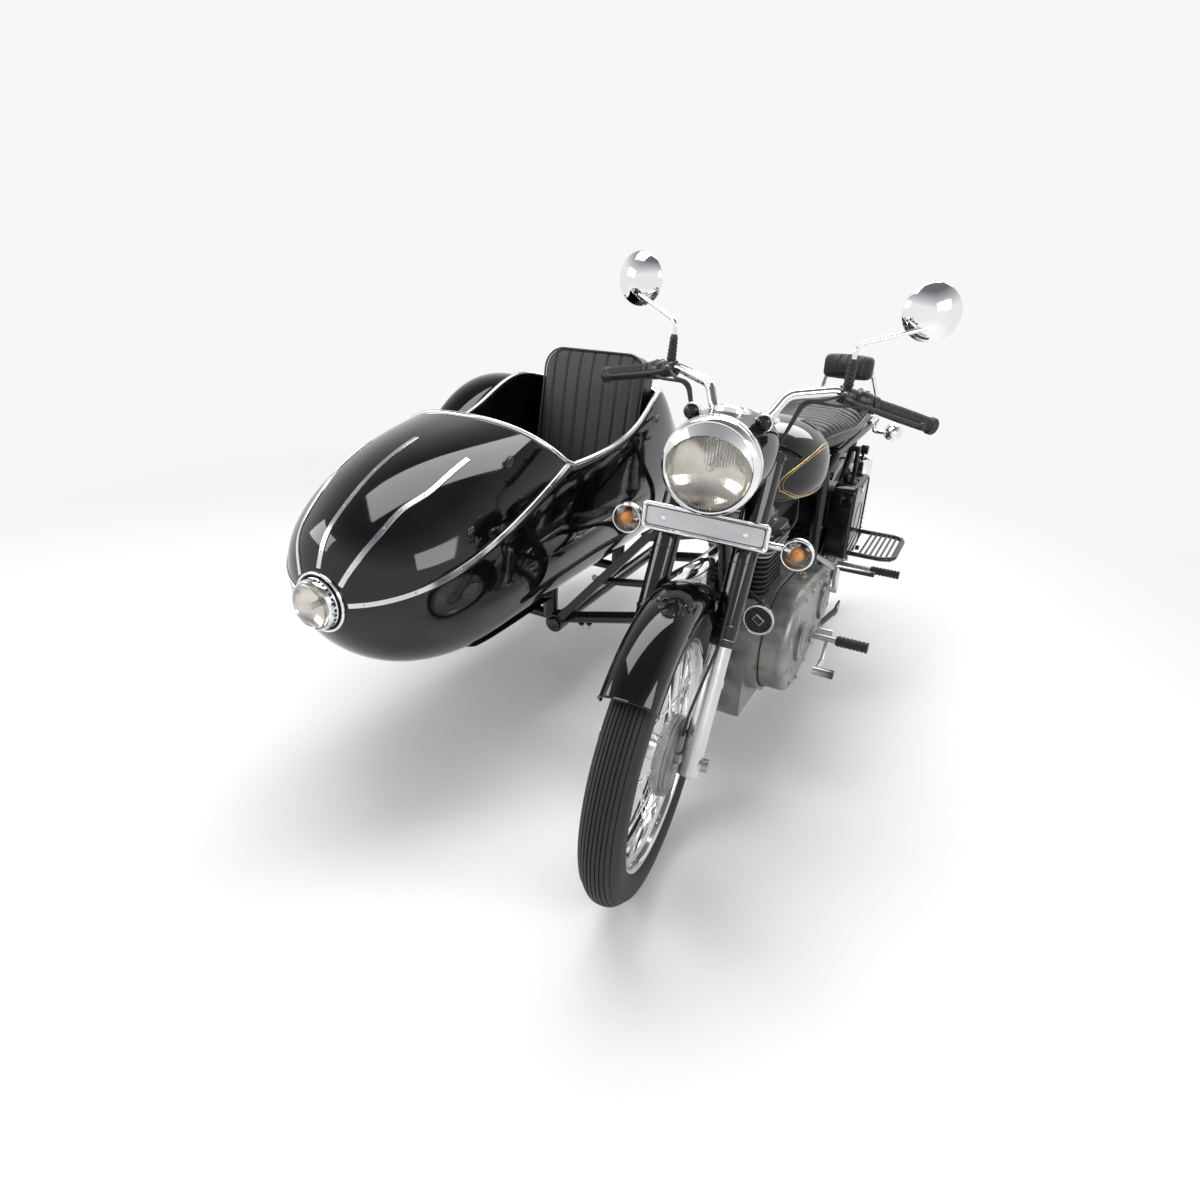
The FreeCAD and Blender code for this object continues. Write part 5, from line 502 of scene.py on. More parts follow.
def seen_rays(tree):
    """One for rays that show the surround itself: from the camera, off metal and through glass."""
    path = new_node(tree, "LightPath")
    total = path.outputs["Is Camera Ray"]
    for name in ("Is Glossy Ray", "Is Transmission Ray"):
        join = new_node(tree, "Math")
        join.operation = "MAXIMUM"
        tree.links.new(total, join.inputs[0])
        tree.links.new(path.outputs[name], join.inputs[1])
        total = join.outputs["Value"]
    return total


def mix_into(tree, factor, first, second, output):
    mix = new_node(tree, "MixShader")
    for source, target in ((factor, "Fac"), (first, 1), (second, 2)):
        tree.links.new(source, mix.inputs[target])
    tree.links.new(mix.outputs["Shader"], tree.nodes[output].inputs["Surface"])


def light_room():
    """Pale floor that fades into a pale surround, and soft light from above, ahead and both sides."""
    scene = bpy.context.scene
    scene.view_settings.view_transform = "Standard"
    world = bpy.data.worlds.new("room")
    scene.world = world
    world.use_nodes = True
    tree = world.node_tree
    shade = fill(tree.nodes["Background"], Color=(0.62, 0.63, 0.65, 1), Strength=0.7)
    split = new_node(tree, "SeparateXYZ")
    tree.links.new(new_node(tree, "TexCoord").outputs["Generated"], split.inputs["Vector"])
    seen = new_node(tree, "Background")
    sky = colour_ramp(tree, split.outputs["Z"], [(0.28, PALE), (0.85, (0.16, 0.165, 0.175))])
    tree.links.new(sky, seen.inputs["Color"])
    mix_into(tree, seen_rays(tree), shade.outputs["Background"], seen.outputs["Background"], "World Output")
    for name, spot, wide, deep, watts in LAMPS:
        lamp = bpy.data.lights.new(name, "AREA")
        lamp.shape = "RECTANGLE"
        lamp.size, lamp.size_y, lamp.energy = wide, deep, watts
        holder = bpy.data.objects.new(name, lamp)
        holder.location = spot
        holder.rotation_euler = (v3(0, 0, 0.5) - Vector(spot)).to_track_quat("-Z", "Y").to_euler()
        scene.collection.objects.link(holder)
    mesh = bpy.data.meshes.new("floor")
    corners = [(x * FLOOR_REACH, y * FLOOR_REACH, 0) for x, y in ((-1, -1), (1, -1), (1, 1), (-1, 1))]
    mesh.from_pydata(corners, [], [[0, 1, 2, 3]])
    floor = bpy.data.objects.new("floor", mesh)
    scene.collection.objects.link(floor)
    mat = bpy.data.materials.new("pale_floor")
    mat.use_nodes = True
    tree = mat.node_tree
    shader = fill(tree.nodes["Principled BSDF"], Roughness=0.9, Base_Color=(0.84, 0.84, 0.84, 1))
    length = new_node(tree, "VectorMath")
    length.operation = "LENGTH"
    fade = new_node(tree, "MapRange", From_Min=1.2, From_Max=3.6)
    glow = new_node(tree, "Emission", Color=(*PALE, 1))
    tree.links.new(new_node(tree, "TexCoord").outputs["Object"], length.inputs[0])
    tree.links.new(length.outputs["Value"], fade.inputs["Value"])
    mix_into(tree, fade.outputs["Result"], shader.outputs["BSDF"], glow.outputs["Emission"], "Material Output")
    mesh.materials.append(mat)


place_camera()
light_room()


# Finishes of the carried-over solids, by place where one solid has several

STEERED = ("front_axle fork_sliders fork_crown front_mudguard nacelle headlamp front_lamps front_plate "
           "handlebar grips bar_controls mirrors control_cables front_tyre front_wheel").split()
PLAIN_FINISHES = {
    "paint": "fork_crown side_boxes front_mudguard rear_mudguard sidecar_mudguard nacelle fuel_tank "
             "sidecar_tub sidecar_cowl",
    "frame": "main_frame swinging_arm side_step chain_guard sidecar_frame sidecar_axle side_stand",
    "chrome": "handlebar exhaust rear_carrier cockpit_rim front_lamps mirrors horn shock_absorbers",
    "vinyl": "dual_seat backrest_pad sidecar_seat_base sidecar_seat_back",
    "rim_chrome": "front_wheel rear_wheel sidecar_wheel",
    "tyre": "front_tyre rear_tyre sidecar_tyre",
    "steel": "front_axle rear_axle",
    "rubber": "control_cables grips",
    "plastic": "rear_lamps bar_controls",
    "alloy": "fork_sliders",
    "cast": "crankcase",
    "dark": "sidecar_seat_frame",
    "chain": "drive_chain",
    "strip": "trim_strips",
    "silver": "front_plate",
}
BARREL_TOP = 609.0
SPLIT_FINISHES = {
    "engine_covers": ("cast", "chrome", lambda c: c.x < 0),
    "cylinder": ("fin", "head", lambda c: c.z > BARREL_TOP),
    "carburettor": ("cast", "rubber", lambda c: c.y > 735),
    "footrests": ("steel", "rubber", lambda c: abs(c.x) > 232),
    "foot_controls": ("alloy", "rubber", lambda c: c.x > 218 or (c.x < -180 and c.y < 640)),
    "nose_lamp": ("chrome", "glass", lambda c: c.y < -224),
    "headlamp": ("chrome", "glass", lambda c: math.hypot(c.x, c.z - 905) < 84),
}


def finish_solid(name, mat, other=None, is_other=None):
    """Gives a solid its material, and another to the faces whose middle passes a test in the working frame."""
    obj = nodes[name]
    mesh = obj.data
    mesh.materials.clear()
    for used in (mat, other):
        if used:
            mesh.materials.append(M[used])
    to_work = PLACE.inverted() @ (TURN.inverted() if name in STEERED else Matrix.Identity(4))
    for face in mesh.polygons:
        face.material_index = 1 if other and is_other(to_work @ face.center) else 0
    mesh.polygons.foreach_set("use_smooth", [True] * len(mesh.polygons))
    obj.modifiers.new("weld", "WELD").merge_threshold = 0.00002
    obj.modifiers.new("split", "EDGE_SPLIT").split_angle = math.radians(32)


for finish, names in PLAIN_FINISHES.items():
    for solid in names.split():
        finish_solid(solid, finish)
for solid, finishes in SPLIT_FINISHES.items():
    finish_solid(solid, *finishes)


# Sidecar hull

HULL_SHARES = (
    (0.0, 0.232, 0.334, 0.547, 2.0, 2.0),
    (0.02, 0.47, 0.245, 0.665, 2.0, 2.0),
    (0.055, 0.7, 0.155, 0.745, 2.05, 2.0),
    (0.105, 0.86, 0.08, 0.825, 2.1, 1.9),
    (0.18, 0.96, 0.02, 0.9, 2.3, 1.8),
    (0.28, 1.0, 0.0, 0.95, 2.6, 1.7),
    (0.38, 1.0, 0.0, 0.975, 3.0, 1.7),
    (0.5, 1.0, 0.0, 1.0, 3.8, 1.7),
    (0.62, 1.0, 0.0, 1.05, 5.0, 1.8),
    (0.7, 0.98, 0.01, 1.05, 4.6, 1.9),
    (0.77, 0.93, 0.04, 0.97, 3.2, 2.0),
    (0.85, 0.8, 0.1, 0.85, 2.6, 2.0),
    (0.92, 0.6, 0.18, 0.71, 2.3, 2.0),
    (0.97, 0.38, 0.27, 0.58, 2.1, 2.0),
    (1.0, 0.16, 0.36, 0.48, 2.0, 2.0),
)
HULL_NOSE = -192.0
HULL_LENGTH = 1690.0
HULL_TAIL = HULL_NOSE + HULL_LENGTH
HULL_X = -708.0
HULL_WALL = 4.0
NOSE_LAMP_Z = 565.0
EDGE_FRONT = (421.0, 773.0)
EDGE_REAR = (1139.0, 843.0)
EDGE_PLACES = (EDGE_FRONT, (800.0, 829.0), (938.0, 884.0), EDGE_REAR)
COWL_SLOPE = 0.9126
DECK_SLOPE = 0.066
SEAM_SLOPE = 0.34046
SEAM_NOSE = (-272.0, 543.0)

hull = Loft(HULL_SHARES, HULL_NOSE, HULL_LENGTH, 284.0, 292.0, 620.0, HULL_X)
edge_z = spline(*zip(*EDGE_PLACES))


def edge_angle(y):
    """Section angle of the hull's upper boundary: the seam, then the cockpit's edge, then the deck's sides."""
    if y <= EDGE_FRONT[0]:
        return hull.angle_at(y, SEAM_NOSE[1] + (y - SEAM_NOSE[0]) * SEAM_SLOPE)
    y = min(y, EDGE_REAR[0])
    return hull.angle_at(y, edge_z(y))


def upper_run(y, count):
    angle = edge_angle(y)
    return hull.run(y, angle, math.pi - angle, count)


def lower_run(y, count):
    angle = edge_angle(y)
    return hull.run(y, angle, -math.pi - angle, count)


def bullet_places(end, count, start=HULL_NOSE):
    """Places along the hull, closer together near its blunt nose."""
    return [start + (end - start) * (i / (count - 1)) ** 1.5 for i in range(count)]


def drawn_in(row, middle, reach, degrees):
    """Rows that round a body's end off, each drawn in and moved out by its angle."""
    return [[middle + (p - middle) * math.cos(math.radians(d)) + v3(0, reach * math.sin(math.radians(d)), 0)
             for p in row] for d in degrees]


def hull_tail(row):
    middle = v3(HULL_X, HULL_TAIL, sum(p.z for p in hull.ring(HULL_TAIL, 40)) / 40)
    return drawn_in(row, middle, 16, (35, 60, 80))


def shell(name, shape, node):
    """Open skin given a thickness inwards."""
    obj = piece(name, shape, ["paint"], node)
    work = bmesh.new()
    work.from_mesh(obj.data)
    bmesh.ops.remove_doubles(work, verts=work.verts, dist=0.0003)
    bmesh.ops.recalc_face_normals(work, faces=work.faces)
    middle = sum((v.co for v in work.verts), Vector()) / len(work.verts)
    if sum((f.calc_center_median() - middle).dot(f.normal) for f in work.faces) < 0:
        bmesh.ops.reverse_faces(work, faces=work.faces)
    work.to_mesh(obj.data)
    work.free()
    wall = obj.modifiers.new("wall", "SOLIDIFY")
    wall.thickness = HULL_WALL * MM
    wall.offset = -1.0


def sidecar_hull():
    """Tub with its rear deck, the bonnet, and the bright bead round the cockpit between them."""
    deck_places = even(EDGE_REAR[0] + 8, HULL_TAIL, 34)
    places = (bullet_places(EDGE_FRONT[0], 64) + even(EDGE_FRONT[0] + 0.5, EDGE_REAR[0], 60) + deck_places)
    low_rows = [lower_run(y, 72) for y in places]
    verts, faces = grid(low_rows + hull_tail(low_rows[-1]), closed=False)
    deck_edge = [v3(p.x, EDGE_REAR[0] + DECK_SLOPE * (p.z - EDGE_REAR[1]), p.z)
                 for p in upper_run(EDGE_REAR[0], 40)]
    rows = [deck_edge] + [upper_run(y, 40) for y in deck_places]
    more, more_faces = grid(rows + hull_tail(rows[-1]), closed=False)
    faces += [[len(verts) + i for i in face] for face in more_faces]
    shell("hull_tub", (verts + more, faces), "sidecar_tub")
    across = 56
    columns = []
    for j in range(across):
        y_end = EDGE_FRONT[0]
        for _ in range(8):
            y_end = EDGE_FRONT[0] - COWL_SLOPE * (upper_run(y_end, across)[j].z - EDGE_FRONT[1])
        columns.append([upper_run(y, across)[j] for y in bullet_places(y_end, 70)])
    rows = list(zip(*columns))
    shell("hull_bonnet", grid(rows, closed=False), "sidecar_cowl")
    sides = even(EDGE_FRONT[0] + 16, EDGE_REAR[0] - 8, 60)
    path = [hull.point(y, edge_angle(y)) for y in sides] + deck_edge[1:-1]
    path += [hull.point(y, math.pi - edge_angle(y)) for y in even(sides[-1], sides[0], 60)]
    path += list(reversed(rows[-1]))[1:-1]
    piece("cockpit_bead", tube(path, 6.5, 14, closed=True), ["chrome"], "cockpit_rim")


sidecar_hull()

STRIP_OFFSETS = ((-192.0, 54.0), (-167.0, 82.0), (-140.0, 98.0), (-107.5, 108.0), (-46.7, 120.0), (5.7, 138.0),
                 (63.0, 145.0), (146.0, 148.0))
STRIP_START_Y = -191.5
STRIP_HALF, STRIP_PROUD = 6.0, 2.4
STRIP_SECTION = ((-1, -0.6), (-1, 0.7), (-0.88, 1.0), (0.88, 1.0), (1, 0.7), (1, -0.6))
RIVET = ((0, 2.6), (0.96, 2.08), (1.6, 0.78), (1.6, 0))
RIVET_PITCH = 110.0
LAMP_CLEARANCE = 71.0


def hull_normal(p):
    """Outward direction of the hull's skin at a point on it."""
    width, low, high, upper, lower = hull.section(p.y)
    middle = (low + high) / 2
    across = max(-1.0, min(1.0, (p.x - HULL_X) / width))
    rise = (p.z - middle) / ((high - middle) if p.z > middle else (middle - low))
    angle = math.atan2(*(math.copysign(abs(share) ** (upper / 2), share) for share in (rise, across)))
    along = hull.point(p.y + 2, angle) - hull.point(p.y - 2, angle)
    n = along.cross(hull.point(p.y, angle + 0.02) - hull.point(p.y, angle - 0.02)).normalized()
    return n if n.dot(hull.point(p.y, angle) - v3(HULL_X, p.y, 600)) > 0 else -n


def add_strip(kit, path):
    """Flat strip with square ends laid along the hull, with rivets, clear of the nose lamp."""
    path = [p for p in path if math.hypot(p.x - HULL_X, p.z - NOSE_LAMP_Z) > LAMP_CLEARANCE]
    normals = [hull_normal(p) for p in path]
    rows = []
    for before, p, after, n in zip(path[:1] + path, path, path[1:] + path[-1:], normals):
        side = (after - before).normalized().cross(n).normalized()
        rows.append([p + side * (a * STRIP_HALF) + n * (b * STRIP_PROUD) for a, b in STRIP_SECTION])
    kit.grid("strip", rows, caps=True)
    gone = 80.0
    for before, p, n in zip(path[:1] + path, path, normals):
        gone += (p - before).length
        if gone > RIVET_PITCH:
            kit.turn("steel", RIVET, p + n * 2.2, n, 10)
            gone = 0.0


@drawn("hull_strips", "trim_strips")
def trim_strips(kit):
    """Five bright strips with small rivets: three over the bonnet and one along each seam."""
    offset = spline(*zip(*STRIP_OFFSETS))
    for side in (-1, 0, 1):
        places = bullet_places(STRIP_OFFSETS[-1][0], 46, STRIP_START_Y)
        add_strip(kit, [hull.top_point(HULL_X + side * offset(y), y) for y in places])
    for side in SIDES:
        places = bullet_places(EDGE_FRONT[0] - 6, 64, STRIP_START_Y)
        add_strip(kit, [hull.point(y, edge_angle(y) if side > 0 else math.pi - edge_angle(y)) for y in places])


# Lamps

def dome(centre, direction, radius, bulge, rings=14, count=72, flute=0.0, pitch=8.0, axis=None, circles=0.0):
    """Bulged lens face; flutes run across it or in circles."""
    along, side, up = axes_of(direction)
    if axis:
        side = (axis - along * axis.dot(along)).normalized()
        up = side.cross(along)
    verts = [Vector(centre) + along * bulge]
    faces = [[0, 1 + k, 1 + (k + 1) % count] for k in range(count)]
    for r in range(1, rings + 1):
        radial = radius * r / rings
        for angle in round_angles(count):
            a, b = radial * math.cos(angle), radial * math.sin(angle)
            lift = bulge * math.sqrt(max(0.0, 1 - (radial / radius) ** 2 * 0.96))
            if r < rings:
                lift += flute * math.cos(FULL * a / pitch) + circles * math.cos(FULL * radial / pitch)
            verts.append(Vector(centre) + along * lift + side * a + up * b)
    for r in range(rings - 1):
        for k in range(count):
            near, far, j = 1 + r * count, 1 + (r + 1) * count, (k + 1) % count
            faces.append([near + k, far + k, far + j, near + j])
    return verts, faces


LAMP_Y, LAMP_Z = 124.0, 905.0


@drawn("headlamp_unit", "headlamp", "steering")
def headlamp(kit):
    """Chromed rim with two bands and a short peak, a fluted lens, and the reflector and bulb behind it."""
    centre = v3(0, LAMP_Y, LAMP_Z)
    rim = [(3, 84), (-2, 87), (-3, 90), (0, 94), (5, 97), (11, 98), (17, 98), (19, 96.4), (21, 96.4), (23, 98),
           (31, 98), (33, 96), (45.6, 96), (45.6, 84)]
    kit.turn("chrome", rim, centre, Y, 96, closed=True)
    rows = []
    for share in even(0, 1, 49):
        angle, rise = math.radians(6 + 168 * share), math.sin(math.pi * share)
        ray = v3(math.cos(angle), 0, math.sin(angle))
        root = centre - Y * 3 + ray * 86.5
        lip = centre - Y * (4 + 11 * rise) + ray * (86 - 21 * rise)
        rows.append([root, root + Y * 1.6, lip + Y * 1.6, lip])
    kit.grid("chrome", rows, caps=True)
    kit.bolt("chrome", centre + v3(0, 14, 97), Z, 4.5, 4)
    lens = centre + Y * 4
    kit.add("glass", dome(lens, -Y, 85, 17, 48, 240, flute=0.9, pitch=5.6, axis=X))
    kit.turn("reflector", [(0.5, 84), (6, 80), (16, 68), (26, 52), (34, 34), (38, 16), (39, 0)], lens, Y, 64)
    kit.turn("silver", [(-4, 0), (-3, 5), (2, 8), (10, 9), (18, 7), (36, 7)], lens + Y * 4, Y, 24)


def cup_lamp(kit, centre, along, radius, length, bulb="amber", lens_mat="glass"):
    """Small round lamp: chromed cup, bezel, ringed lens and a coloured bulb."""
    cup = [(0, 0), (0, 0.2), (0.06, 0.5), (0.3, 0.8), (0.62, 0.95), (0.78, 1), (0.86, 0.97), (0.9, 1), (1, 1),
           (1.03, 0.96), (1.03, 0.88), (0.9, 0.86)]
    back = centre - along * length
    kit.turn("chrome", [(length * a, radius * r) for a, r in cup], back, along, 56)
    lens = back + along * (length * 0.98)
    kit.add(lens_mat, dome(lens, along, radius * 0.9, radius * 0.42, 20, 64, circles=0.35, pitch=5.0))
    kit.turn("reflector", [(-length * 0.2, radius * 0.88), (-length * 0.5, radius * 0.6),
                           (-length * 0.62, 0)], lens, along, 40)
    if bulb:
        ball = [(-length * 0.4, radius * 0.3), (-length * 0.1, radius * 0.42), (radius * 0.05, radius * 0.36),
                (radius * 0.2, radius * 0.16), (radius * 0.24, 0)]
        kit.turn(bulb, ball, lens, along, 28)


@drawn("front_lamp_set", "front_lamps", "steering")
def front_lamps(kit):
    """Two pilot lamps on the casing and two indicators on stems."""
    half, y, z = 187.0, 252.0, 732.0
    for side in SIDES:
        pilot = v3(side * 73, 222, 986)
        cup_lamp(kit, pilot - Y * 2, -Y, 18, 32, bulb=None, lens_mat="paint")
        kit.tube("chrome", [pilot + v3(0, 12, -4), v3(pilot.x * 0.9, 236, 960)], 6, 14)
        cup_lamp(kit, v3(side * half, y - 26, z), -Y, 34, 50)
        kit.tube("chrome", [v3(side * x, y, z) for x in (112, 150, half)], 8, 18)
        kit.turn("chrome", [(0, 8), (0, 13), (7, 13), (8, 9)], v3(side * 111.5, y, z), X * side, 6)


@drawn("nose_lamp_unit", "nose_lamp")
def nose_lamp(kit):
    """Outer ring, slotted bezel and domed lens on the bullet's tip. The gap inside the ring and the bezel's
    slots are painted shade in flat black.
    """
    centre = v3(HULL_X, HULL_NOSE - 0.5, NOSE_LAMP_Z)
    ring = [(3.0 + 4.2 * math.sin(t), 66.5 + 3.6 * math.cos(t)) for t in round_angles(16)]
    kit.turn("chrome", ring, centre, -Y, 96, closed=True)
    # Dark cone in the gap between the outer ring and the bezel: painted shade.
    kit.turn("dark", [(-10, 66), (1.5, 65), (1.0, 56)], centre, -Y, 80)
    bezel = [(0, 58), (9.5, 58.6), (10.6, 57.2), (11.6, 58.4), (21, 58), (26, 56.6), (29, 54), (29, 51)]
    kit.turn("chrome", bezel, centre, -Y, 96)
    # The slots are dark boxes laid on the bezel: painted shade, not openings.
    slots = 30
    for k in range(slots):
        turn = Matrix.Translation(centre) @ Matrix.Rotation(FULL * (k + 0.5) / slots, 4, Y)
        for near, far in ((-8.6, -2.6), (-19.6, -13.0)):
            kit.box("dark", (-3.4, near, 56.0), (3.4, far, 58.9), 0.5, turn)
    lens = centre - Y * 27
    kit.add("glass", dome(lens, -Y, 53, 19, 36, 160, flute=0.5, pitch=6.0, axis=X))
    kit.turn("reflector", [(0, 52), (-8, 46), (-18, 30), (-24, 12), (-25, 0)], lens, -Y, 56)
    kit.turn("silver", [(-24, 6), (-6, 7.5), (2, 5), (4, 0)], lens, -Y, 20)


def rounded_rect(half_x, half_z, corner, count=8):
    """Outline of a rectangle with round corners, in its own plane."""
    out = []
    for sx, sz, start in ((1, 1, 0), (-1, 1, 90), (-1, -1, 180), (1, -1, 270)):
        for k in range(count + 1):
            angle = math.radians(start + 90 * k / count)
            out.append((sx * (half_x - corner) + corner * math.cos(angle),
                        sz * (half_z - corner) + corner * math.sin(angle)))
    return out


@drawn("number_plate_blank", "front_plate", "steering")
def front_plate(kit):
    """Blank silver plate with a thin black border in a bright frame, on two stays."""
    y, z, half, half_height = 160.0, 775.0, 134.0, 30.0

    def outline(inset, corner, depth=3.0):
        return [v3(a, y + depth, z + b) for a, b in rounded_rect(half - inset, half_height - inset, corner)]
    kit.tube("chrome", outline(4, 7), 4.2, 12, closed=True)
    kit.grid("silver", [outline(5, 6), outline(9, 4)])
    kit.grid("dark", [outline(9, 4), outline(11, 4)])
    rows = []
    for rise in even(-(half_height - 11), half_height - 11, 13):
        row = []
        for x in even(-(half - 11), half - 11, 61):
            squeeze = 1 - 0.25 * (max(0.0, abs(x) - (half - 15)) / 4) ** 2
            ripple = 0.21 * math.sin(x * 0.09 + rise * 0.11) * math.sin(x * 0.031 - rise * 0.17 + 1.0)
            row.append(v3(x, y + 3 + ripple, z + rise * squeeze))
        rows.append(row)
    kit.grid("silver", rows, closed=False)
    back = outline(5, 6, 5.5)
    kit.add("silver", (back, [list(range(len(back)))]))
    for side in SIDES:
        x = side * 42
        kit.tube("steel", smooth_path([v3(x, y + 6, z), v3(x, 205, z), v3(x, 232, z + 2)]), 5)
        kit.bolt("chrome", v3(side * 86, y + 2.6, z), -Y, 3.6, 3)


# Casing, tank and mudguards

@drawn("lamp_casing", "nacelle", "steering")
def lamp_casing(kit):
    """Casing drawn back from the headlamp over the fork's top, with the instrument in its upper face."""
    shares = ((0.0, 0.9, 0.0, 1.0), (0.25, 0.97, 0.06, 0.99), (0.5, 0.98, 0.14, 0.98),
              (0.75, 0.86, 0.28, 0.95), (0.95, 0.5, 0.46, 0.88))
    start, length = LAMP_Y + 46.0, 212.0
    loft = Loft(shares, start, length, 106.0, 812.0, 186.0, powers=(2.2, 2.2))
    rows = [loft.ring(y, 64) for y in even(start + 0.3, start + length * 0.95, 30)]
    rows += drawn_in(rows[-1], sum(rows[-1], Vector()) / 64, 22, (30, 55, 75))
    kit.grid("paint", rows, caps=True)
    dial = v3(0, 262, 992)
    lean = v3(0, 0.32, 1).normalized()
    kit.turn("chrome", [(-8, 38), (2, 38), (5, 35), (4.5, 31)], dial, lean, 56)
    kit.add("glass", dome(dial + lean * 3.5, lean, 31.5, 2.2, 8, 48))
    kit.turn("dark", [(2.2, 31), (2.2, 0)], dial, lean, 48)
    kit.tube("silver", [dial + lean * 2.9, dial + lean * 2.9 + v3(-14, -14, 4.4)], 0.8, 6)


TANK_SHARES = ((0.0, 0.34, 0.16, 0.84), (0.04, 0.5, 0.08, 0.91), (0.16, 0.8, 0.02, 0.97),
               (0.38, 1.0, 0.0, 1.0), (0.62, 0.95, 0.0, 0.96), (0.84, 0.72, 0.04, 0.86),
               (0.96, 0.52, 0.1, 0.74), (1.0, 0.4, 0.16, 0.66))
TANK_FRONT = 425.0
TANK_LENGTH = 420.0
PINSTRIPE = ((452, 790), (500, 768), (600, 762), (700, 764), (775, 778), (800, 800), (770, 828), (700, 858),
             (610, 872), (530, 862), (474, 838), (450, 812), (452, 790))


def rounded_ends(loft, places, count, nose, tail):
    """Closed rows along a loft, rounded off at both ends."""
    rows = [loft.ring(y, count) for y in places]
    ends = [drawn_in(row, sum(row, Vector()) / len(row), reach, (25, 48, 66, 80))
            for row, reach in ((rows[0], -nose), (rows[-1], tail))]
    return ends[0][::-1] + rows + ends[1]


@drawn("tank_shell", "fuel_tank")
def fuel_tank(kit):
    """Teardrop tank with its filler cap, gold pinstripes and a bare place for a badge."""
    tank = Loft(TANK_SHARES, TANK_FRONT, TANK_LENGTH, 150.0, 738.0, 186.0, mid_share=0.42, powers=(2.3, 3.4))
    places = even(TANK_FRONT, TANK_FRONT + TANK_LENGTH, 70)
    kit.grid("paint", rounded_ends(tank, places, 80, 9, 14), caps=True)
    centre = v3(0, 625, 816)
    for side in SIDES:
        for spread, radius in ((0.0, 1.3), (7.0, 0.6)):
            loop = []
            for p in smooth_path([(0, *q) for q in PINSTRIPE], 7)[:-1]:
                out = p - (p - centre).normalized() * spread
                angle = tank.angle_at(out.y, out.z)
                loop.append(tank.point(out.y, angle if side > 0 else math.pi - angle, 0.4))
            kit.tube("gold", loop, radius, 8, closed=True)
    cap = v3(0, TANK_FRONT + TANK_LENGTH * 0.34, 920)
    kit.turn("chrome", [(-8, 36), (3, 36), (6, 34), (6.5, 30), (9, 29), (15, 28), (18, 25), (19, 0)], cap, Z)
    for angle in round_angles(24):
        p = cap + v3(math.cos(angle) * 28.4, math.sin(angle) * 28.4, 8)
        kit.tube("chrome", [p, p + Z * 8], 1.1, 6)


def arch(radius, half_width, crown, skirt, count=22):
    """Profile of a round-shouldered mudguard as (across, radius) points from skirt to skirt."""
    spring = radius - skirt * 0.5
    out = [(half_width * math.cos(a), spring + (radius + crown - spring) * math.sin(a))
           for a in even(math.pi, 0, count + 1)]
    return [(-half_width, radius - skirt)] + out + [(half_width, radius - skirt)]


def arc_point(centre, x, radius, degrees):
    angle = math.radians(degrees)
    return centre + v3(x, -radius * math.cos(angle), radius * math.sin(angle))


def swept_guard(kit, centre, profile, span, bead_x, bead_radius, bead, count=72):
    """Mudguard skin with its inner face, swept about a wheel. Gives what adds the bead of a side."""
    wall = 2.2
    loop = profile + [(x * (1 - wall / 54), r - wall) for x, r in reversed(profile)]
    rays = [arc_point(Vector(), 0, 1, degrees) for degrees in even(*span, count + 1)]
    kit.grid("paint", [[centre + X * x + ray * r for x, r in loop] for ray in rays], caps=True)

    def edge(side):
        kit.tube("paint", [arc_point(centre, side * bead_x, bead_radius, d) for d in even(*span, 61)], bead, 8)
    return edge


FORK_X = 84.0
FORK_UP = v3(0, math.sin(RAKE), math.cos(RAKE))
FORK_BACK = v3(0, math.cos(RAKE), -math.sin(RAKE))


def fork_point(side, along, back=0.0):
    """Point on a fork leg, a distance up it and a distance behind it."""
    return v3(side * FORK_X, 0, WHEEL_RADIUS) + FORK_UP * along + FORK_BACK * back


@drawn("front_guard", "front_mudguard", "steering")
def front_mudguard(kit):
    """Deep front mudguard with rolled edges, its bridge lugs and rear stays."""
    span = (47.0, 192.0)
    profile = arch(346, 54, 20, 30)
    edge = swept_guard(kit, FRONT_AXLE, profile, span, 53, 317, 2.6)
    for side in SIDES:
        edge(side)
        foot = fork_point(side, 170, 25.5)
        low = arc_point(FRONT_AXLE, side * 56, 331, 168)
        kit.tube("frame", smooth_path([foot, v3(side * 57, foot.y + 40, foot.z), low]), 5)
        kit.tube("frame", [arc_point(FRONT_AXLE, side * x, 346, 118) for x in (52, 61)], 9, 16)
    kit.tube("paint", [arc_point(FRONT_AXLE, x, r, span[0]) for x, r in profile], 2.4, 8)


@drawn("rear_guard", "rear_mudguard")
def rear_mudguard(kit):
    """Rear mudguard with rolled edges and its upper stays."""
    edge = swept_guard(kit, REAR_AXLE, arch(350, 56, 20, 34), (38.0, 172.0), 55, 317, 2.6)
    for side in SIDES:
        edge(side)
        low = arc_point(REAR_AXLE, side * 58, 334, 100)
        high = v3(side * 88, 1296, 754)
        kit.tube("frame", [low, (low + high) / 2 + Z * 5, high], 5)


@drawn("side_guard", "sidecar_mudguard")
def sidecar_mudguard(kit):
    """Round cover of the third wheel with flat cheeks and rolled edges."""
    centre = SIDE_AXLE + Z * 90
    cheek = (270, 300, 330, 360, 385)
    profile = [(-66, r) for r in cheek] + arch(420, 66, 14, 30)[1:-1] + [(66, r) for r in reversed(cheek)]
    edge = swept_guard(kit, centre, profile, (4.0, 176.0), 65, 271, 3, count=84)
    for side in SIDES:
        edge(side)
    for degrees in (28, 152):
        top = arc_point(centre, 65, 285, degrees)
        foot = v3(HULL_X - 244, top.y, 330)
        elbow = v3(top.x + 33, top.y, foot.z + (top.z - foot.z) / 4)
        kit.tube("frame", smooth_path([top, elbow, foot]), 10, 14)


# Handlebar, grips and controls

BAR_PLACES = ((55.0, 352.0, 962.0), (84.0, 392.0, 1016.0), (172.0, 446.0, 1030.0), (377.0, 540.0, 974.0))
PERCH_SHARE = 0.05
SWITCH_SHARE = 0.2
LEVER_SHARE = 0.93


def bar_place(side, share):
    """Point at a share of the bar's straight end, and the direction outwards along it."""
    start, end = (v3(side * x, y, z) for x, y, z in BAR_PLACES[2:])
    return start + (end - start) * share, (end - start).normalized()


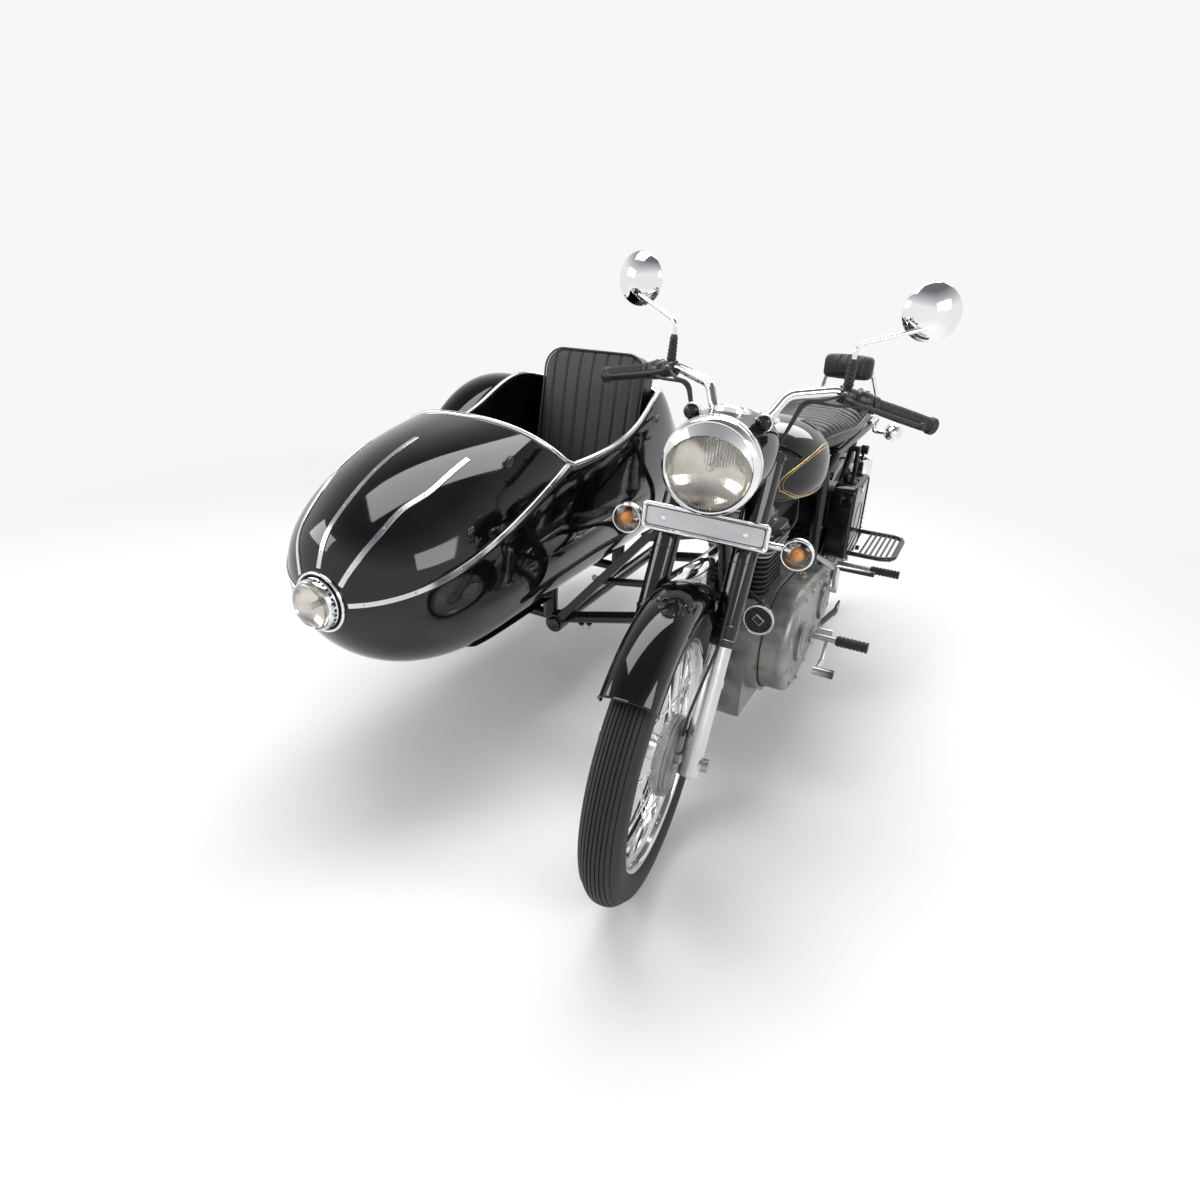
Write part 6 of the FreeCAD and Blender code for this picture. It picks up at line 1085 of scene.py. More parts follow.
@drawn("bar_tube", "handlebar", "steering")
def handlebar(kit):
    """One chromed tube with smooth bends on two risers."""
    line = [v3(-x, y, z) for x, y, z in reversed(BAR_PLACES)] + [v3(*place) for place in BAR_PLACES]
    kit.tube("chrome", bent(line, 44.0), 11.0, 24)
    for side in SIDES:
        top = v3(side * 27.5, *BAR_PLACES[0][1:])
        kit.tube("chrome", [top + v3(0, -34, -44), top], 14, 24)
        kit.turn("chrome", [(-13, 11), (-13, 18), (-11, 20), (11, 20), (13, 18), (13, 11)], top, X, 36)
        kit.bolt("steel", top + v3(0, -12, 14), (0, -0.5, 1), 5, 5)


@drawn("bar_grips", "grips", "steering")
def grips(kit):
    """Rubber grips with close ribs, a collar inboard and a rounded end cap."""
    length, ribs = 128.0, 22
    pitch = (length - 8) / ribs
    for side in SIDES:
        end, along = bar_place(side, 1)
        profile = [(-16, 11.3), (-16, 17), (-14, 19), (-4, 19), (-2, 17), (0, 16)]
        for i in range(ribs):
            swell = 0.7 * math.sin(math.pi * i / ribs)
            profile += [(3 + pitch * (i + share), r + swell)
                        for share, r in ((0, 15.0), (0.2, 16.3), (0.62, 16.3), (0.8, 15.0))]
        profile += [(length + a, r) for a, r in ((-3, 16), (0, 18.8), (10, 18.8), (14, 16), (16, 9), (16, 0))]
        kit.turn("rubber", profile, end - along * length, along, 40)


@drawn("bar_levers", "bar_controls", "steering")
def bar_controls(kit):
    """Perches, flattened ball-ended levers, and the switch housings with their buttons."""
    house = [(0, 11.2), (0, 17), (4, 20.5), (8, 21.6), (19, 21.8), (19.6, 20.8), (20.4, 20.8), (21, 21.8),
             (34, 21.4), (38, 19), (40, 15), (40, 11.2)]
    for side in SIDES:
        at_perch, along = bar_place(side, PERCH_SHARE)
        clamp = [(0, 11.2), (0, 16.5), (3, 18.5), (31, 18.5), (34, 16.5), (34, 11.2)]
        kit.turn("plastic", clamp, at_perch, along, 36)
        root = at_perch + along * 17 - Y * 13.5
        kit.turn("plastic", [(-9, 0), (-9, 8), (-7, 9), (7, 9), (9, 8), (9, 0)], root - Y * 10, Z, 28)
        kit.tube("plastic", [root + Y * 4, root - Y * 16], 8, 16, flat=0.8)
        kit.bolt("steel", root + v3(0, -10, 8.5), Z, 4, 3)
        tip = bar_place(side, LEVER_SHARE)[0] - Y * 44
        path = bent([root - Y * 6, root - Y * 44 + along * 17, tip], 30, 5)
        fine = []
        for a, b in zip(path, path[1:]):
            fine += even(a, b, max(1, int((b - a).length / 9)) + 1)[:-1]
        kit.tube("rubber", fine + [tip], 5.0, 16, flat=1.15, scale=lambda t: 1.0 - 0.22 * t, up_hint=Z)
        ball = [(-8.6 * math.cos(t), 8.4 * math.sin(t)) for t in even(0, math.pi, 13)]
        kit.turn("rubber", ball, tip, along, 24)
        start = bar_place(side, SWITCH_SHARE)[0]
        kit.turn("plastic", house, start, along, 44)
        up = v3(0, 0.45, 0.9).normalized()
        button = [(-3, 5.5), (2, 5.5), (3.6, 4.4), (4.2, 2), (4.2, 0)]
        kit.turn("orange" if side < 0 else "plastic", button, start + along * 12 + up * 20.5, up, 24)
        toggle = Matrix.Translation(start + along * 28 + up * 20.5)
        kit.box("plastic", (-5, -3.2, -2), (5, 3.2, 4.4), 1.0, toggle)
        rearward = v3(0, 0.95, 0.3).normalized()
        push = [(-2, 3.6), (2.2, 3.6), (3, 2.4), (3, 0)]
        kit.turn("plastic", push, start + along * 12 + rearward * 20.6, rearward, 20)


@drawn("mirror_pair", "mirrors", "steering")
def mirrors(kit):
    """Round mirrors: domed chrome back, bright ring, glass, cranked rod and ribbed boot."""
    tilt = math.radians(14.0)
    dish = [(-31.5, 0), (-31, 8), (-28, 20), (-23, 33), (-16, 45), (-10, 53), (-5, 58), (-2.5, 60), (-1, 60),
            (0, 58.6), (0.2, 56)]
    for side in SIDES:
        head = v3(side * 324, 557, 1199)
        facing = v3(-side * math.sin(tilt), math.cos(tilt), 0)
        kit.turn("chrome", dish, head, facing, 72)
        kit.turn("mirror", [(-1.4, 56.4), (-1.4, 0)], head, facing, 72)
        at_perch, along = bar_place(side, PERCH_SHARE)
        foot = at_perch + along * 17 + Z * 19.3
        boot = [(-2, 0), (-2, 9)]
        for i in range(6):
            a, less = 1 + i * 8.6, i * 0.35
            boot += [(a, 10.9 - less), (a + 5.2, 10.9 - less), (a + 6.4, 9.4 - less), (a + 7.8, 9.4 - less)]
        kit.turn("rubber", boot + [(54, 7.4), (56, 5.6), (56, 0)], foot, Z, 28)
        back = head - facing * 16 + v3(-side * 5, 0, -30)
        kit.tube("chrome", bent([foot + Z * 52, foot + Z * 84, back], 22), 5, 18)
        kit.turn("chrome", [(-6, 5), (-6, 8), (6, 8), (6, 5)], back + Z * 2, Z, 20)


@drawn("fork_fittings", body="steering")
def fork_details(kit):
    """Dust covers, clamp bolts, drain screws, axle nuts and the shrouds' bands."""
    seal = [(0, 23.6), (0, 26.4), (3, 26.8), (14, 26.4), (15.8, 25), (15.8, 23)]
    band = [(0, 27), (0, 28), (1, 28.6), (9, 28.6), (10, 28), (10, 27)]
    ring = [(0, 27.05), (0.6, 27.5), (1.6, 27.5), (2.2, 27.05)]
    for side in SIDES:
        kit.turn("rubber", seal, fork_point(side, 246), FORK_UP, 40)
        for along in (284, 448):
            kit.turn("frame", band, fork_point(side, along), FORK_UP, 40)
        kit.turn("steel", [(0.2, 12), (-3, 12), (-4, 10), (-4, 0)], fork_point(side, -30), FORK_UP, 6)
        for across in SIDES:
            kit.bolt("steel", fork_point(side, -14, across * 17), -FORK_UP, 5, 5)
        nut = [(-0.5, 14), (9, 14), (10.5, 12.2), (10.5, 8)]
        kit.turn("chrome", nut, FRONT_AXLE + X * (side * 108), X * side, 6)
        kit.turn("chrome", [(0, 15), (6, 15), (8, 13), (8, 0)], fork_point(side, 604), FORK_UP, 6)
        for along in (300, 420):
            kit.turn("frame", ring, fork_point(side, along), FORK_UP, 40)
    for x in (-60, 60):
        spot = fork_point(1, 482, -36.5)
        kit.bolt("steel", v3(x, spot.y, spot.z), -FORK_BACK, 7, 6)


@drawn("brake_fittings", body="steering")
def brake_details(kit):
    """Raised rings, cam arm and cable stop on the front brake plate."""
    face = FRONT_AXLE + X * 50
    rings = [(-1.2, 80), (1.2, 80), (1.6, 76), (0.6, 72), (0.6, 52), (2.2, 49), (2.2, 34), (0.6, 31),
             (0.6, 16)]
    kit.turn("cast", rings, face, X, 80)
    cam = face + FORK_UP * 58
    kit.bolt("steel", cam + X, X, 6, 6)
    end = cam + v3(9, -30, 6)
    kit.tube("steel", [cam + X * 7, end], 4, 10)
    cable = [end, end + v3(6, -4, 60), fork_point(1, 250, -30), fork_point(1, 430, -34)]
    kit.tube("rubber", bent(cable, 60), 3.2, 10)


# Wheels and tyres

RIM_PROFILE = ((-31, 252), (-32.6, 250.5), (-32.4, 246), (-30.5, 242.6), (-27, 240.6), (-22, 239.6),
               (-17.5, 238.2), (-15.5, 235), (-14.6, 230), (-12, 227), (0, 226.2), (12, 227), (14.6, 230),
               (15.5, 235), (17.5, 238.2), (22, 239.6), (27, 240.6), (30.5, 242.6), (32.4, 246),
               (32.6, 250.5), (31, 252), (29.6, 250), (29, 246), (0, 243), (-29, 246), (-29.6, 250))
SPOKES = 36
SPOKE_LEAN = math.radians(34.0)
NIPPLE_RADIUS = 228.5
TEETH = 30
TREAD_BLOCKS = 64
WALL_MARKS = (262.0, 276.0)


def round_point(centre, x, radius, angle):
    """Point at a place across a wheel, and at a radius and an angle round its axle."""
    return centre + v3(x, radius * math.cos(angle), radius * math.sin(angle))


def spoke_set(kit, centre):
    """Round crossed spokes with heads at the flanges and nipples at the rim."""
    for i in range(SPOKES):
        side = 1 if i % 2 else -1
        lean = SPOKE_LEAN * (1 if (i // 2) % 2 else -1)
        spin = Matrix.Translation(centre) @ Matrix.Rotation(FULL * i / SPOKES, 4, X)
        root = spin @ v3(side * 38, 0, 36)
        tip = spin @ v3(side * 4, NIPPLE_RADIUS * math.sin(lean), NIPPLE_RADIUS * math.cos(lean))
        kit.tube("chrome", [root, root + (tip - root) * 0.94], 1.9, 8)
        kit.turn("steel", [(-17, 1.9), (-17, 3.2), (-4, 3.4), (-2, 4.2), (0, 4.2)], tip, tip - root, 8)
        kit.turn("steel", [(-3, 0), (-3, 3.2), (0, 3.6), (1, 0)], root, X * side, 10)


def wheel(kit, centre, kind):
    """Deep chromed rim, spokes and an alloy hub with flanges, a ribbed drum or a sprocket."""
    kit.turn("rim_chrome", RIM_PROFILE, centre, X, 144, closed=True)
    spoke_set(kit, centre)
    hub = [(-47, 8.2), (-47, 19), (-45, 20), (-42, 20), (-41, 43), (-40, 44.5), (-36, 44.5), (-35, 43),
           (-34, 30), (-26, 25), (-10, 22), (8, 22)]
    if kind == "drum":
        hub += [(14, 26), (17, 40), (17.5, 60), (19, 78), (21, 86)]
        for a in even(21.5, 37.5, 5):
            hub += [(a, 88.8), (a + 2, 88.8), (a + 2.4, 86.4), (a + 3.6, 86.4)]
        hub += [(41, 87), (41, 80), (40, 76), (40, 8.2)]
    else:
        hub += [(26, 25), (34, 30), (35, 43), (36, 44.5), (40, 44.5), (41, 43), (42, 20), (45, 20), (47, 19),
                (47, 8.2)]
    kit.turn("alloy", hub, centre, X, 96)
    if kind == "sprocket":
        radii = (78.0, 78.0, 73.0, 73.0) * TEETH
        plate = [[round_point(centre, x, r, a) for r, a in zip(radii, round_angles(TEETH * 4))]
                 for x in (60.5, 67.5)]
        kit.grid("steel", plate, caps=True)
        kit.turn("alloy", [(44, 40), (60, 44), (68.5, 44), (69, 40), (69, 8.2)], centre, X, 64)
        for angle in round_angles(6):
            kit.bolt("steel", round_point(centre, 67.5, 56, angle), X, 5.5, 4.5)
    valve = [(0, 4), (16, 4), (18, 3.4), (30, 3.2), (32, 2.6), (32, 0)]
    kit.turn("rubber", valve, centre - Z * 226, Z, 14)


def tyre_outline(half_width, count=22):
    """Half outline of the tyre's outside from the bead to the crown as (x, radius)."""
    points = [(30.7, 252.3), (half_width * 0.93, 262.0)]
    points += [(half_width * across, WHEEL_RADIUS - half_width * drop)
               for across, drop in ((1, 1), (0.95, 0.62), (0.62, 0.24), (0.32, 0.06), (0, 0))]
    gone = running_length(points)
    across, up = (spline(gone, values) for values in zip(*points))
    return [(max(0.0, across(t)), min(WHEEL_RADIUS, up(t))) for t in even(0.0, gone[-1], count + 1)]


def groove_depth(x, turn, half_width, blocks):
    """Depth of the tread's grooves at a place across and round the tyre."""
    if abs(x) > half_width * 0.82:
        return 0.0
    if not blocks:
        return 3.6 if abs(abs(x) % 8.0 - 4.0) < 0.9 and abs(x) < 31 else 0.0
    if any(abs(abs(x) - line) < 2.2 for line in (9.0, 27.0)):
        return 6.0
    pitch = (turn * TREAD_BLOCKS / FULL + (0.5 if abs(x) < 18 else 0.0) + (0.18 * x / 10)) % 1
    return 6.0 if pitch < 0.24 else 0.0


def tyre(kit, centre, half_width, blocks):
    """Tyre with moulded sidewall rings and a cut tread."""
    crown_x = half_width * 0.84
    wall = [(x, r) for x, r in tyre_outline(half_width)[:-1]
            if x > crown_x or r < WHEEL_RADIUS - half_width * 0.62]
    gauge = spline([half_width * share for share in (0.0, 0.32, 0.62, 0.86)],
                   [-half_width * share for share in (0.0, 0.045, 0.24, 0.5)])
    tread = [(x, WHEEL_RADIUS + gauge(abs(x))) for x in even(-crown_x, crown_x, 45 if blocks else 97)]
    profile = []
    for x, r in [(-x, r) for x, r in wall] + tread + wall[::-1]:
        marks = sum(abs(x) > crown_x and abs(r - mark) < 2.2 for mark in WALL_MARKS)
        profile.append((x, math.copysign(min(half_width, abs(x) + 0.9 * marks), x), r))
    turns = round_angles(336 if blocks else 160)
    rows = [[round_point(centre, across, r - groove_depth(x, turn, half_width, blocks), turn)
             for x, across, r in profile] for turn in turns]
    bead = [[round_point(centre, x, r, turn)
             for x, r in ((30.7, 252.3), (27, 244), (-27, 244), (-30.7, 252.3))] for turn in turns]
    for part in (rows, bead):
        kit.grid("tyre", part + part[:1], closed=False)


for place, node_start, axle, kind in (("front", "front", FRONT_AXLE, "drum"),
                                      ("rear", "rear", REAR_AXLE, "sprocket"),
                                      ("side", "sidecar", SIDE_AXLE, "plain")):
    add_wheel = drawn(place + "_wheel_set", node_start + "_wheel", place + "_roller")
    add_wheel(lambda kit: wheel(kit, axle, kind))
for place, node_start, axle, half_width, blocks in (("front", "front", FRONT_AXLE, 43.0, False),
                                                    ("rear", "rear", REAR_AXLE, 48.0, True),
                                                    ("side", "sidecar", SIDE_AXLE, 43.0, True)):
    add_tyre = drawn(place + "_tyre_tread", node_start + "_tyre", place + "_roller")
    add_tyre(lambda kit: tyre(kit, axle, half_width, blocks))


# Engine

CRANK = (566.0, 372.0)
GEARBOX = (790.0, 400.0)
CRANK_RADIUS, GEARBOX_RADIUS = 150.0, 112.0


def belt_points(first, first_radius, second, second_radius, count):
    """Points at even distances round two circles and their tangents."""
    heading = math.atan2(second[1] - first[1], second[0] - first[0])
    open_angle = math.acos((first_radius - second_radius) / math.dist(first, second))
    outline = []
    for middle, radius, start, end in (
            (first, first_radius, heading + open_angle, heading + FULL - open_angle),
            (second, second_radius, heading - open_angle, heading + open_angle)):
        outline += [(middle[0] + radius * math.cos(a), middle[1] + radius * math.sin(a))
                    for a in even(start, end, 25)]
    outline.append(outline[0])
    gone = running_length(outline)
    wanted = [gone[-1] * i / count for i in range(count)]
    return list(zip(*(numpy.interp(wanted, gone, values) for values in zip(*outline))))


@drawn("engine_fittings")
def engine_details(kit):
    """Cover screws, gasket lines, cover rings, filler plug, rocker nuts, plug and pushrod tubes."""
    screw = [(-2, 7.5), (1.2, 7.5), (1.2, 5.5), (3.6, 5.2), (4.4, 4.0), (4.4, 2.4), (2.4, 2.4), (2.4, 0)]
    for side, face_x, inset in ((1, 163.3, 26.0), (-1, -147.3, 40.0)):
        circle = inset + 10
        for y, z in belt_points(CRANK, CRANK_RADIUS - circle, GEARBOX, GEARBOX_RADIUS - circle, 14):
            kit.turn("steel", screw, v3(face_x, y, z), X * side, 20)
        circle = inset * 0.5 - 1.2
        joint = belt_points(CRANK, CRANK_RADIUS - circle, GEARBOX, GEARBOX_RADIUS - circle, 90)
        kit.tube("dark", [v3(side * 96.5, y, z) for y, z in joint], 1.6, 6, closed=True)
    radius = 52.0
    rings = [(-1, radius), (0.6, radius - 1.5), (0.6, radius * 0.78), (-0.2, radius * 0.74),
             (-0.2, radius * 0.5), (1.4, radius * 0.46), (1.8, radius * 0.2), (1.8, 0)]
    for y, z in (GEARBOX, CRANK):
        face = v3(171.3, y, z)
        kit.turn("cast", rings, face, X, 64)
        for angle in round_angles(3, math.pi / 2):
            spot = round_point(face, 0.3, radius * 0.86, angle)
            kit.turn("steel", [(0, 4.5), (2.4, 4.2), (3, 3), (3, 0)], spot, X, 16)
    kit.turn("chrome", [(-1, 52), (0.6, 50), (0.6, 30), (2, 27), (2.4, 8), (2.4, 0)],
             v3(-155.3, *CRANK), -X, 64)
    kit.turn("cast", [(-10, 13), (4, 13), (6, 11), (6, 6), (12, 5), (12, 0)],
             v3(120, 690, 500), (0.3, 0, 1), 20)
    for x in (-23, 23):
        for y in (512, 578):
            kit.turn("chrome", [(-3, 15), (3, 15), (5, 13), (7, 9), (8, 0)], v3(x, y, 708), Z, 6)
    for x in (-48, 48):
        for y in (496, 594):
            kit.bolt("steel", v3(x, y, 674.5), Z, 6.5, 6)
    foot = v3(60, 500, 660)
    lean = v3(0.8, -0.4, 0.45).normalized()
    kit.turn("rubber", [(-4, 9), (6, 9), (6, 6), (30, 5.6), (30, 8), (56, 8), (58, 5), (58, 0)],
             foot, lean, 20)
    wire = [foot + lean * 54, foot + lean * 74 + v3(4, 20, 18), v3(90, 620, 742), v3(60, 700, 748)]
    kit.tube("rubber", smooth_path(wire), 3.5, 10)
    for x in (-34, -52):
        kit.tube("chrome", [v3(x, 622, 500), v3(x, 612, 664)], 7, 16)


# Chain, shock absorbers, horn, rear lamps and fittings

CHAIN_X = 64.0
LINKS = 148


@drawn("chain_links", "drive_chain")
def drive_chain(kit):
    """Links and rollers round both sprockets."""
    path = belt_points((WHEELBASE, WHEEL_RADIUS), 86.0, GEARBOX, 44.5, LINKS)
    path = [v3(CHAIN_X, y, z) for y, z in path]
    for i, (a, b) in enumerate(zip(path, path[1:] + path[:1])):
        along = b - a
        up = X.cross(along).normalized()
        across = 5.4 if i % 2 else 3.6
        plate = []
        for t in round_angles(14):
            waist = 6.2 - 1.6 * (1 - abs(math.cos(t))) ** 2
            plate.append(a + along * (0.5 + 0.7644 * math.cos(t)) + up * (waist * math.sin(t)))
        for side in SIDES:
            kit.grid("chain", [[p + X * (side * x) for p in plate] for x in (across - 1, across)], caps=True)
        kit.tube("chain", [a - X * 6, a + X * 6], 3.6, 8)


@drawn("shock_pair", "shock_absorbers")
def shock_absorbers(kit):
    """Damper body, bare coil spring and bright shroud with its eyes."""
    body = ((0.1, 8), (0.1, 22), (0.14, 27), (0.16, 29.5), (0.18, 29.5), (0.18, 20), (0.7, 20))
    shroud = ((0.66, 20), (0.655, 28), (0.67, 29), (0.9, 29), (0.93, 24), (0.94, 8))
    turns, steps = 10, 20
    for side in SIDES:
        low, high = v3(side * 128, WHEELBASE, 372), v3(side * 128, 1296, 724)
        length = (high - low).length
        axis, right, up = axes_of(high - low)
        kit.turn("frame", [(14, 0), (14, 8)] + [(length * share, r) for share, r in body], low, axis, 40)
        top = [(length - 12, 8), (length - 12, 0)]
        kit.turn("chrome", [(length * share, r) for share, r in shroud] + top, low, axis, 40)
        coil = []
        for k in range(turns * steps + 1):
            angle = FULL * k / steps
            rise = length * (0.185 + 0.47 * k / (turns * steps))
            coil.append(low + axis * rise + right * (26 * math.cos(angle)) + up * (26 * math.sin(angle)))
        kit.tube("chrome", coil, 3.8, 10)
        for end in (low, high):
            eye = [(-11, 8.4), (-11, 13), (-10, 14), (10, 14), (11, 13), (11, 8.4)]
            kit.turn("frame", eye, end, X, 32, closed=True)
            cap = [(11, 0), (11, 12), (13, 12), (15, 10), (15, 0)]
            kit.turn("chrome", [(side * a, r) for a, r in cap], end, X, 6)


@drawn("horn_unit", "horn")
def horn(kit):
    """Round horn with a bright rim, slanted slats, a dark disc of painted shade behind them and a bare
    rectangle in the middle.
    """
    centre = v3(101, 388, 503)
    front = centre - Y * 30
    bowl = [(30, 0), (29, 18), (26, 30), (18, 35), (6, 37), (2, 38), (0, 38), (-0.4, 36), (0.4, 33),
            (3, 32), (6, 32)]
    kit.turn("chrome", bowl, front, Y, 56)
    # Dark disc closing the bowl behind the slats: painted shade for the horn's hollow.
    kit.turn("dark", [(6, 32.2), (6, 0)], front, Y, 40)
    tilt = Matrix.Translation(front) @ Matrix.Rotation(math.radians(35), 4, Y)
    for rise in even(-28, 28, 11):
        half = math.sqrt(32.0 ** 2 - rise ** 2) - 0.6
        kit.box("plastic", (-half, 2.0, rise - 1.5), (half, 5.0, rise + 1.5), 0.6, tilt)
    kit.box("steel", (-12, -0.4, -9), (12, 3.4, 9), 0.8, tilt)
    kit.box("plastic", (-10, -1.0, -7), (10, 0.4, 7), 0.6, tilt)
    kit.tube("frame",
             bent([centre - Y * 2, centre + v3(0, 10, 22), v3(40, 404, 560), v3(17, 412, 590)], 14), 5)


@drawn("tail_lamp_set", "rear_lamps")
def rear_lamps(kit):
    """Red tail lamp in a black housing over a blank plate, and two indicators facing back."""
    for side in SIDES:
        cup_lamp(kit, v3(side * 162, 1618, 727), Y, 32, 50)
        stem = [v3(side * 100, 1588, 753), v3(side * 100, 1592, 727), v3(side * 162, 1592, 727)]
        kit.tube("chrome", bent(stem, 16), 8, 16)
    kit.box("plastic", (-44, 1598, 617), (44, 1624, 678), 3)
    kit.box("chrome", (-45, 1621, 616), (45, 1626, 679), 1.5)
    kit.box("red", (-42, 1624, 619), (42, 1647, 676), 6)
    for z in even(626, 668, 7):
        kit.box("red", (-35, 1646, z - 1), (35, 1648, z + 1), 0.6)
    kit.box("silver", (-100, 1623, 597), (100, 1627, 616), 1)


@drawn("side_box_fittings")
def side_box_fittings(kit):
    """Lid edge, round lock and raised ring of each side box."""
    for side in SIDES:
        loop = [v3(side * 178.6, 1052.5 + a, 577 + b) for a, b in rounded_rect(96, 104, 20)]
        kit.tube("dark", loop, 1.3, 8, closed=True)
        lock = [(0, 12), (4, 12), (5.5, 10.5), (5.5, 4), (3.5, 3.6), (3.5, 0)]
        kit.turn("chrome", lock, v3(side * 177, 1052, 664), X * side, 32)
        kit.turn("paint", [(0, 46), (1.2, 46), (2.0, 44), (0.4, 43)],
                 v3(side * 177.4, 1052, 577), X * side, 56)


@drawn("frame_fittings")
def frame_fittings(kit):
    """Rail caps, clamp bolts, and the eye bolt of the sidecar's struts."""
    for x in (-943, -473):
        for y, outwards in ((385, -Y), (1400, Y)):
            kit.turn("frame", [(0, 19.2), (3, 18), (5, 12), (5.5, 0)], v3(x, y, 330), outwards, 28)
    eye = v3(-349, 396, 492)
    ring = [eye + v3(8 * math.cos(t), -2, 8 * math.sin(t)) for t in round_angles(24)]
    kit.tube("steel", ring, 3.2, 10, closed=True)
    kit.bolt("steel", eye + v3(0, 6, -9), -Y, 7, 7)
    for x in (-410, -386):
        low = v3(x, 434, 333 + (x + 398) * 0.27)
        kit.bolt("frame", low, -Z, 7, 8)
        kit.tube("steel", [low, low - Z * 20], 4.5)
    for y in (396, 424):
        kit.bolt("steel", v3(-36.4, y, 520), -X, 6.5, 6)


# Soft goods

TO_WORK = PLACE.inverted()


def settle(obj):
    """Applies the modifiers of an object to its mesh."""
    graph = bpy.context.evaluated_depsgraph_get()
    done = bpy.data.meshes.new_from_object(obj.evaluated_get(graph))
    obj.modifiers.clear()
    old = obj.data
    obj.data = done
    bpy.data.meshes.remove(old)


def vertex_places(mesh):
    flat = numpy.empty(len(mesh.vertices) * 3)
    mesh.vertices.foreach_get("co", flat)
    return flat.reshape(-1, 3)


def swell(obj, cap, voxel, pinned):
    """Puffs a closed mesh up as sewn and stuffed cloth, each point held within a cap of its start."""
    remesh = obj.modifiers.new("even", "REMESH")
    remesh.mode = "VOXEL"
    remesh.voxel_size = voxel
    settle(obj)
    start = vertex_places(obj.data)
    cloth = obj.modifiers.new("cloth", "CLOTH")
    settings = cloth.settings
    if pinned:
        group = obj.vertex_groups.new(name="held")
        group.add([v.index for v in obj.data.vertices if pinned(TO_WORK @ v.co)], 1.0, "REPLACE")
        settings.vertex_group_mass = "held"
    settings.quality = 5
    settings.use_pressure = True
    settings.uniform_pressure_force = 4.0
    settings.tension_stiffness = settings.compression_stiffness = 12
    settings.shear_stiffness = 5
    settings.bending_stiffness = 0.6
    settings.effector_weights.gravity = 0
    cloth.collision_settings.use_collision = False
    scene = bpy.context.scene
    for number in range(1, 21):
        scene.frame_set(number)
    settle(obj)
    scene.frame_set(1)
    shift = vertex_places(obj.data) - start
    length = numpy.linalg.norm(shift, axis=1)
    share = numpy.minimum(1.0, cap * MM / numpy.maximum(length, 1e-9))
    obj.data.vertices.foreach_set("co", (start + shift * share[:, None]).ravel())
    obj.data.update()


def dress(obj, press):
    """One subdivision, then the seams and channels pressed into the surface by a function of place."""
    divide = obj.modifiers.new("divide", "SUBSURF")
    divide.levels = divide.render_levels = 1
    settle(obj)
    mesh = obj.data
    normals = [v.normal.copy() for v in mesh.vertices]
    for vertex, normal in zip(mesh.vertices, normals):
        vertex.co = vertex.co + normal * (press(TO_WORK @ vertex.co, normal) * MM)
    mesh.update()
    mesh.polygons.foreach_set("use_smooth", [True] * len(mesh.polygons))


def channel(value, pitch, depth, width):
    """Sewn channel: a narrow valley every pitch between rounded pads."""
    phase = abs((value / pitch) % 1 - 0.5) * 2
    return -depth * math.exp(-((1 - phase) * pitch / 2 / width) ** 2)


def cushion(name, node, rows, cap, voxel, press, pinned=None):
    """Stuffed vinyl cushion from closed rows of points, with its channels pressed in."""
    obj = piece(name, grid(rows, caps=True), ["vinyl"], node)
    swell(obj, cap, voxel, pinned)
    dress(obj, press)


SEAT_FRONT, SEAT_REAR = 856.0, 1462.0
SEAT_SHARES = ((0.0, 0.5, 0.06, 0.5), (0.03, 0.62, 0.02, 0.62), (0.1, 0.74, 0.0, 0.72), (0.3, 0.92, 0.0, 0.74),
               (0.48, 1.0, 0.0, 0.78), (0.6, 1.0, 0.0, 0.93), (0.72, 0.98, 0.0, 0.98), (0.9, 0.92, 0.0, 0.96),
               (0.97, 0.8, 0.04, 0.88), (1.0, 0.66, 0.12, 0.74))
seat = Loft(SEAT_SHARES, SEAT_FRONT + 4, SEAT_REAR - SEAT_FRONT - 8, 122.0, 783.0, 102.0, powers=(3.4, 4.0))


def below_piping(p):
    low, high = seat.section(p.y)[1:3]
    return p.z < low + (high - low) * 0.68


def seat_pleats(p, n):
    if n.z < 0.35 or not SEAT_FRONT + 30 < p.y < SEAT_REAR - 40:
        return 0.0
    return channel(p.y, 27.0, 4.5, 3.2) * min(1.0, (n.z - 0.35) * 3)


# Long pleated seat with a stepped rear half and a plain skirt
seat_rows = rounded_ends(seat, even(SEAT_FRONT + 5, SEAT_REAR - 5, 60), 64, 5, 5)
cushion("seat_cushion", "dual_seat", seat_rows, 6.0, 0.0055, seat_pleats, below_piping)


@drawn("seat_piping")
def seat_piping(kit):
    """Piping round the top of the dual seat."""
    loop = []
    for y in even(SEAT_FRONT + 14, SEAT_REAR - 14, 60):
        width, low, high = seat.section(y)[:3]
        loop.append(v3(width + 3.0, y, low + (high - low) * 0.62))
    kit.tube("piping", loop + [v3(-p.x, p.y, p.z) for p in reversed(loop)], 3.0, 10, closed=True)


# Upright pad behind the dual seat
PAD_INSETS = ((1472, 6), (1474, 3), (1478, 1.0), (1486, 0), (1494, 0), (1502, 0), (1508, 1.5), (1511, 4),
              (1512.5, 7))
pad_rows = [[v3(a, y, 946 + b) for a, b in rounded_rect(80 - inset, 37.5 - inset, 18)]
            for y, inset in PAD_INSETS]
cushion("backrest_cushion", "backrest_pad", pad_rows, 5.0, 0.0045,
        lambda p, n: channel(p.x, 26.0, 3.0, 2.6) if n.y < -0.5 else 0.0)


